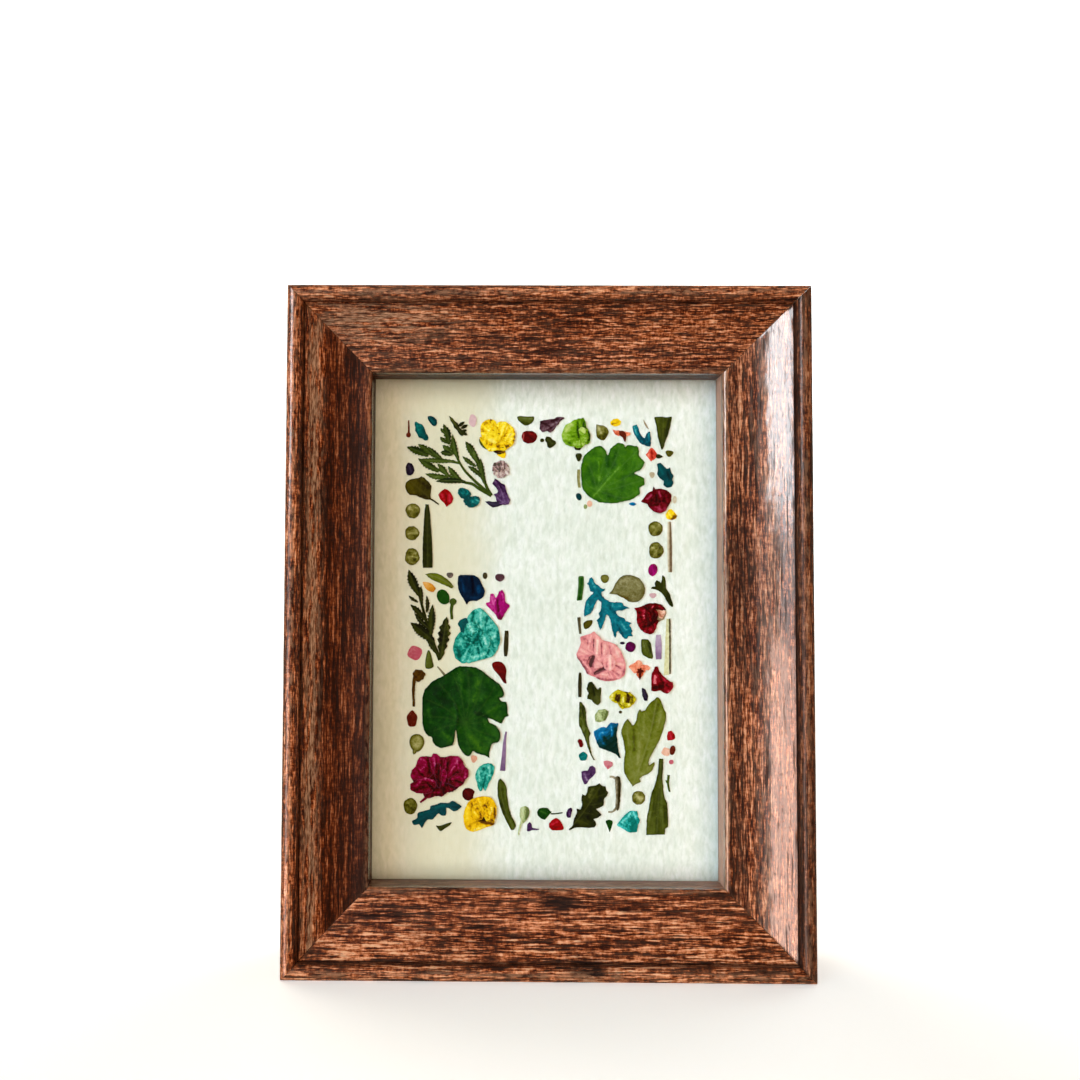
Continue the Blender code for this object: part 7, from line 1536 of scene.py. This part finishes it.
leaf("leaf_oak_dark", "dark_green", "fern_dark", ol(587.8, 786, 595.4, 785.3, 599.2, 782.8, 601.7, 785.3, 605.5, 786, 605.8, 789.1, 608, 792.3, 606.7, 795.4, 603.6, 798.6, 603.6, 804.9,
     599.2, 807.4, 595.4, 808.7, 598.5, 811.2, 601.4, 814.1, 597.9, 817.2, 592.8, 818.8, 595.4, 821.3, 596, 824.5, 594.1, 827, 587.2, 827.6, 580.8, 827, 575.2, 827, 569.5, 829.9, 568.2, 828.9,
     572.6, 825.1, 573.9, 818.2, 577.1, 811.9, 576.1, 808.1, 580.2, 809.3, 581.8, 804.9, 581.2, 799.2, 581.8, 793.5, 585.3, 795.4, 587.2, 791), base=0.1, wob=0.18, wob_s=10, edge=0.14, step=0.95,
     tone=lambda x, y, d: 0.42 + 0.22 * np.exp(-((x - 593) ** 2 + (y - 792) ** 2) / 80) + 0.14 * fbm(x / 6, y / 6, 3, 3), amp=0.25,
     veins=[([(569, 829), (580, 816), (590, 802), (600, 786)], 0.6, 0.9), ([(583, 812), (594, 814)], 0.4, 0.6), ([(588, 805), (601, 803)], 0.4, 0.6), ([(592, 798), (604, 794)], 0.4, 0.5),
            ([(590, 802), (584, 796)], 0.4, 0.5), ([(584, 811), (578, 809)], 0.4, 0.5), ([(578, 819), (590, 825)], 0.4, 0.6)],
     marks=[([(592, 789), (589, 797)], 1.6, 0.25), ([(598, 790), (600, 799)], 1.6, -0.2), ([(586, 815), (592, 820)], 1.8, -0.2), ([(578, 821), (586, 824)], 1.5, 0.2), ([(594, 806)], 1.6, 0.2)])
s3 = Pressed("stem_grey_curved_pressed", "brown", "stem_grey_curved")
s3.sheet(P["stem"], [ol(614.5, 777.4, 617, 775.6, 620, 777, 620.8, 784, 620.2, 796, 619.6, 806, 617.4, 810.6, 615.2, 808, 615.6, 796, 615, 785), strip([(609.3, 776.5), (613, 776.8), (616, 779)], 2.0, 2.2),
         strip([(608, 811.9), (613, 811), (616.4, 807)], 1.6, 2.2)], base=0.18, cup=-0.1, tone=down(614.6, 790, 620.0, 790, 0.75, 0.0), crease=0.15, stretch=(1, 4, 0), seed=7, step=0.75,
         marks=[([(616.4, 781), (616.6, 803)], 0.8, 0.25), ([(619.4, 782), (619, 804)], 0.8, -0.3)])
s3.done()
z = Pressed("petal_aqua_small_pressed", "aqua", "petal_aqua_small")
z.flap(P["aqua_bright"], ol(616.2, 825.1, 620, 819.4, 625.7, 813.1, 630.1, 810, 637.1, 810.6, 637.7, 816.3, 639.9, 820.1, 637.7, 825.1, 636.8, 831.4, 632, 832.4, 627, 831.4, 621.9, 827.6), face=135,
       z0=0.2, z1=0.36, tone=0.42, seed=11, deep=0.6, crumple=0.3,
       marks=[([(634, 822), (633, 830)], 2.4, -0.6), ([(622, 822), (630, 813.5)], 1.2, 0.3), ([(626, 826), (632, 817)], 0.9, -0.3), ([(635, 813), (636, 819)], 1.0, 0.2)])
z.done()
leaf("wedge_leaf_tall", "olive", "wedge", [(658.5, 758.5), (662.7, 758.8), (662.7, 767.6), (661.7, 775.8), (662.3, 783.4), (663.6, 795.4), (666.8, 802.4), (667.4, 811.9), (667.7, 826.4), (664.9, 828.3),
     (664.5, 834), (645.9, 834.6), (646.2, 827.6), (646.5, 818.2), (648.4, 808.7), (649.7, 799.2), (651.6, 791.6), (654.8, 783.4), (657.3, 772.7)],
     tone=lambda x, y, d: 0.46 + 0.16 * np.sin((x - 645) / 2.2 + 0.8 * np.sin(y / 9)) * np.clip((y - 770) / 40, 0, 1) - 0.15 * (y < 780) + 0.14 * fbm(x / 4, y / 16, 2, 2), wob=0.18, wob_s=14,
     veins=[(mid(656.5, 833, 660.4, 762), 0.55, 0.8), (mid(650.6, 833, 659, 775), 0.4, 0.5), (mid(662.6, 833, 661.2, 780), 0.4, 0.5), (mid(653.5, 833, 659.4, 785), 0.3, 0.4), (mid(660, 833, 660.6, 785), 0.3, 0.4)],
     marks=[([(652, 800), (649, 820)], 1.4, 0.2), ([(659.4, 790), (658, 812)], 1.3, -0.2), ([(664, 806), (664.6, 822)], 1.3, -0.2), ([(654.6, 815), (653.6, 830)], 1.2, 0.2)])


# --------------------------------------------------------------- backing and points
def board_material():
    s = Shader("hardboard")
    co = s.mm()
    wide = s.noise(co, 0.12, 4, 0.6)
    fibre = s.noise(s.scaled(co, (1.6, 1, 4.2)), 1, 5, 0.65, 1.2)
    fleck = s.noise(co, 3.2, 3, 0.6, 0.4)
    wx = s.n("ShaderNodeTexWave", {"Vector": co, "Scale": 0.36, "Distortion": 0.25, "Detail": 2.0},
             bands_direction="X").outputs["Fac"]
    wz = s.n("ShaderNodeTexWave", {"Vector": co, "Scale": 0.36, "Distortion": 0.25, "Detail": 2.0},
             bands_direction="Z").outputs["Fac"]
    screen = s.math("MULTIPLY", wx, wz)
    col = s.ramp(s.math("ADD", s.math("MULTIPLY", wide, 0.5), s.math("MULTIPLY", fibre, 0.5)),
                 [(0.3, (92, 62, 40)), (0.5, (124, 88, 58)), (0.7, (150, 110, 76))])
    col = s.mix(s.span(screen, 0.0, 0.9, 0.35, 0.0), col, (74, 48, 30))
    col = s.mix(s.span(fleck, 0.62, 0.75, 0.0, 0.5), col, (176, 138, 98))
    h = s.math("ADD", s.math("MULTIPLY", screen, 0.7), s.math("MULTIPLY", fibre, 0.5))
    s.set(color=col, rough=s.span(fibre, 0.3, 0.7, 0.9, 0.75), normal=s.bump(h, 0.00012, 0.7), spec=0.3)
    return s.mat


def board():
    nx, nz = 86, 120
    x = np.linspace(-PANE_W / 2, PANE_W / 2, nx)
    z = np.linspace(-PANE_H / 2, PANE_H / 2, nz)
    X, Z = np.meshgrid(x, z)
    edge = np.minimum(np.minimum(X + PANE_W / 2, PANE_W / 2 - X), np.minimum(Z + PANE_H / 2, PANE_H / 2 - Z))
    wave = 0.05 * fbm(X / 17, Z / 21, 61, 3) - 0.16 * np.exp(-edge / 0.35)
    back = np.stack([X, BOARD_Y + BOARD_T - 0.03 + wave, Z + MID_Z], -1).reshape(-1, 3)
    front = np.stack([X, BOARD_Y + 0.16 * np.exp(-edge / 0.35), Z + MID_Z], -1).reshape(-1, 3)
    n = nx * nz
    faces = []
    for j in range(nz - 1):
        for i in range(nx - 1):
            a = j * nx + i
            faces.append((a, a + nx, a + nx + 1, a + 1))
            faces.append((n + a, n + a + 1, n + a + nx + 1, n + a + nx))
    ring = ([i for i in range(nx)] + [j * nx + nx - 1 for j in range(1, nz)]
            + [(nz - 1) * nx + i for i in range(nx - 2, -1, -1)] + [j * nx for j in range(nz - 2, 0, -1)])
    for k, a in enumerate(ring):
        b = ring[(k + 1) % len(ring)]
        faces.append((a, b, n + b, n + a))
    return build("hardboard_back", np.concatenate([back, front]), faces, [board_material()], smooth=50)


own(board(), "board", "backing_board")


def metal_material():
    s = Shader("zinc_plate")
    co = s.mm()
    brush = s.noise(s.scaled(co, (0.6, 1, 9.0)), 1, 4, 0.6)
    blotch = s.noise(co, 0.9, 4, 0.6, 0.8)
    col = s.ramp(blotch, [(0.3, (150, 150, 148)), (0.55, (186, 186, 182)), (0.75, (206, 206, 200))])
    rough = s.math("MULTIPLY_ADD", brush, 0.25, 0.22)
    s.set(color=col, rough=rough, metal=1.0, normal=s.bump(brush, 0.00002, 0.5))
    return s.mat


ZINC = metal_material()


def point(name, node, sx, sz):
    """Flat flexible point: the blunt arrow end sits in the rail, the round end lies over the board."""
    wall = FRAME_W / 2 - REBATE_U
    nu, nv = 44, 25
    s = np.linspace(0, 1, nu)
    tip = wall + TAB_IN
    out = []
    for i, q in enumerate(s):
        along = tip - TAB_L * q
        if q < 0.16:
            half = TAB_W / 2 * (0.55 + 0.45 * q / 0.16)
        elif q > 0.80:
            half = TAB_W / 2 * math.sqrt(max(1 - ((q - 0.80) / 0.2) ** 2 * 0.86, 0))
        else:
            half = TAB_W / 2
        for t in np.linspace(-1, 1, nv):
            w = half * t
            bend = 0.10 * max(0.0, (q - 0.45) / 0.55) ** 2
            rib = 0.11 * math.exp(-(t / 0.16) ** 2) * min(max((q - 0.3) / 0.12, 0), 1) * min(max((0.86 - q) / 0.1, 0), 1)
            out.append((along, bend + rib, w))
    pts = np.array(out)
    top = np.stack([sx * pts[:, 0], TAB_Y + TAB_T + pts[:, 1] - 0.02, pts[:, 2] + MID_Z + sz * TAB_Z], -1)
    low = np.stack([sx * pts[:, 0], TAB_Y + pts[:, 1], pts[:, 2] + MID_Z + sz * TAB_Z], -1)
    n = nu * nv
    faces = []
    for i in range(nu - 1):
        for j in range(nv - 1):
            a = i * nv + j
            faces.append((a, a + nv, a + nv + 1, a + 1))
            faces.append((n + a, n + a + 1, n + a + nv + 1, n + a + nv))
    ring = ([j for j in range(nv)] + [i * nv + nv - 1 for i in range(1, nu)]
            + [(nu - 1) * nv + j for j in range(nv - 2, -1, -1)] + [i * nv for i in range(nu - 2, 0, -1)])
    for k, a in enumerate(ring):
        b = ring[(k + 1) % len(ring)]
        faces.append((a, b, n + b, n + a))
    obj = build(name, np.concatenate([top, low]), faces, [ZINC], smooth=50)
    bm = bmesh.new()
    bm.from_mesh(obj.data)
    bmesh.ops.recalc_face_normals(bm, faces=bm.faces)
    bmesh.ops.bevel(bm, geom=[e for e in bm.edges if len(e.link_faces) == 2 and e.calc_face_angle(0) > 1.0],
                    offset=0.00006, segments=2, affect="EDGES")
    bm.to_mesh(obj.data)
    bm.free()
    return own(obj, "metal", node)


for label, sx, sz in (("upper_left", -1, 1), ("lower_left", -1, -1), ("upper_right", 1, 1), ("lower_right", 1, -1)):
    point("zinc_point_" + label, "tab_" + label, sx, sz)


# ----------------------------------------------------------------- stage and lights
def stage():
    s = Shader("pale_stage")
    soft = s.noise(s.mm(), 0.004, 2, 0.5)
    s.set(color=s.ramp(soft, [(0.2, (250, 250, 249)), (0.8, (253, 253, 252))]), rough=0.95, spec=0.1)
    s.p.inputs["Emission Color"].default_value = (1.0, 1.0, 1.0, 1.0)
    s.p.inputs["Emission Strength"].default_value = 0.45
    prof = [(0.0, 0.0)] + [(0.45 * k / 6, 0.0) for k in range(1, 7)]
    prof += [(0.45 + 0.30 * math.sin(math.radians(a)), 0.8 * (1 - math.cos(math.radians(a)))) for a in range(5, 91, 5)]
    prof += [(0.75, 1.2), (0.75, 2.0)]
    turns = 96
    verts, faces = [(0, 0, 0)], []
    for r, z in prof[1:]:
        for k in range(turns):
            a = 2 * math.pi * k / turns
            verts.append((r * 1000 * math.cos(a), r * 1000 * math.sin(a), z * 1000 - 0.02))
    verts[0] = (0, 0, -0.02)
    for k in range(turns):
        faces.append((0, 1 + k, 1 + (k + 1) % turns))
    for q in range(len(prof) - 2):
        for k in range(turns):
            a, b = 1 + q * turns + k, 1 + q * turns + (k + 1) % turns
            faces.append((a, a + turns, b + turns, b))
    obj = build("stage", verts, faces, [s.mat], smooth=180)
    for flag in ("visible_shadow", "visible_diffuse", "visible_glossy", "visible_transmission"):
        setattr(obj, flag, False)


stage()


def place(name, data, towards, distance=0.0):
    o = bpy.data.objects.new(name, data)
    scene.collection.objects.link(o)
    v = Vector(towards).normalized()
    o.rotation_euler = v.to_track_quat("Z", "Y").to_euler()
    o.location = v * distance + Vector((0, 0, MID_Z / 1000))
    o.visible_camera = False
    return o


def sun(name, side, up, strength, angle, color):
    """side: degrees left of straight ahead. up: degrees above level. Gives no mirror image."""
    d = bpy.data.lights.new(name, "SUN")
    d.energy, d.angle, d.color = strength, math.radians(angle), color
    a, e = math.radians(side), math.radians(up)
    o = place(name, d, (-math.sin(a) * math.cos(e), -math.cos(a) * math.cos(e), math.sin(e)))
    o.visible_glossy = False
    o.visible_transmission = False


def window(name, side, height, across, tall, radiance, color, roll=0.0):
    """A softbox that only shows as a reflection. height: of its middle above the frame's middle, in m."""
    d = bpy.data.lights.new(name, "AREA")
    d.shape, d.size, d.size_y = "RECTANGLE", across, tall
    d.energy, d.color = radiance * math.pi * across * tall, color
    a, e = math.radians(side), math.atan2(height, 0.55)
    o = place(name, d, (-math.sin(a) * math.cos(e), -math.cos(a) * math.cos(e), math.sin(e)), math.hypot(0.55, height))
    o.rotation_euler.rotate_axis("Z", math.radians(roll))
    o.visible_diffuse = False
    o.visible_transmission = False


sun("key_left", 35, 5, 2.42, 40, (0.54, 0.80, 1.0))
sun("fill_right", -3, 3, 2.12, 46, (1.0, 0.80, 0.56))
sun("back_left", 140, 35, 1.3, 50, (1.0, 0.93, 0.84))
sun("back_right", -135, 25, 1.0, 50, (0.90, 0.95, 1.0))
window("window_upper", 48, 0.170, 0.27, 0.215, 19.0, (0.96, 0.97, 1.0), 5)
window("window_lower", 48, -0.135, 0.27, 0.23, 13.6, (1.0, 0.66, 0.55), 2)
window("window_gap", 54, 0.024, 0.16, 0.085, 4.0, (0.93, 0.95, 1.0))
window("window_grade", 28, 0.02, 0.12, 0.50, 1.5, (1.0, 0.80, 0.72))

# a dim warm room, darkest straight ahead of the glass
world = bpy.data.worlds.new("studio")
scene.world = world
world.use_nodes = True
wt = world.node_tree
bg = wt.nodes["Background"]
co = wt.nodes.new("ShaderNodeTexCoord")
sep = wt.nodes.new("ShaderNodeSeparateXYZ")
wt.links.new(co.outputs["Generated"], sep.inputs[0])
dark = wt.nodes.new("ShaderNodeMapRange")
dark.interpolation_type = "SMOOTHSTEP"
wt.links.new(sep.outputs["Y"], dark.inputs["Value"])
for k, v in (("From Min", -0.75), ("From Max", 0.25), ("To Min", 0.035), ("To Max", 0.50)):
    dark.inputs[k].default_value = v
wt.links.new(dark.outputs[0], bg.inputs["Strength"])
bg.inputs["Color"].default_value = (1.0, 0.87, 0.66, 1.0)
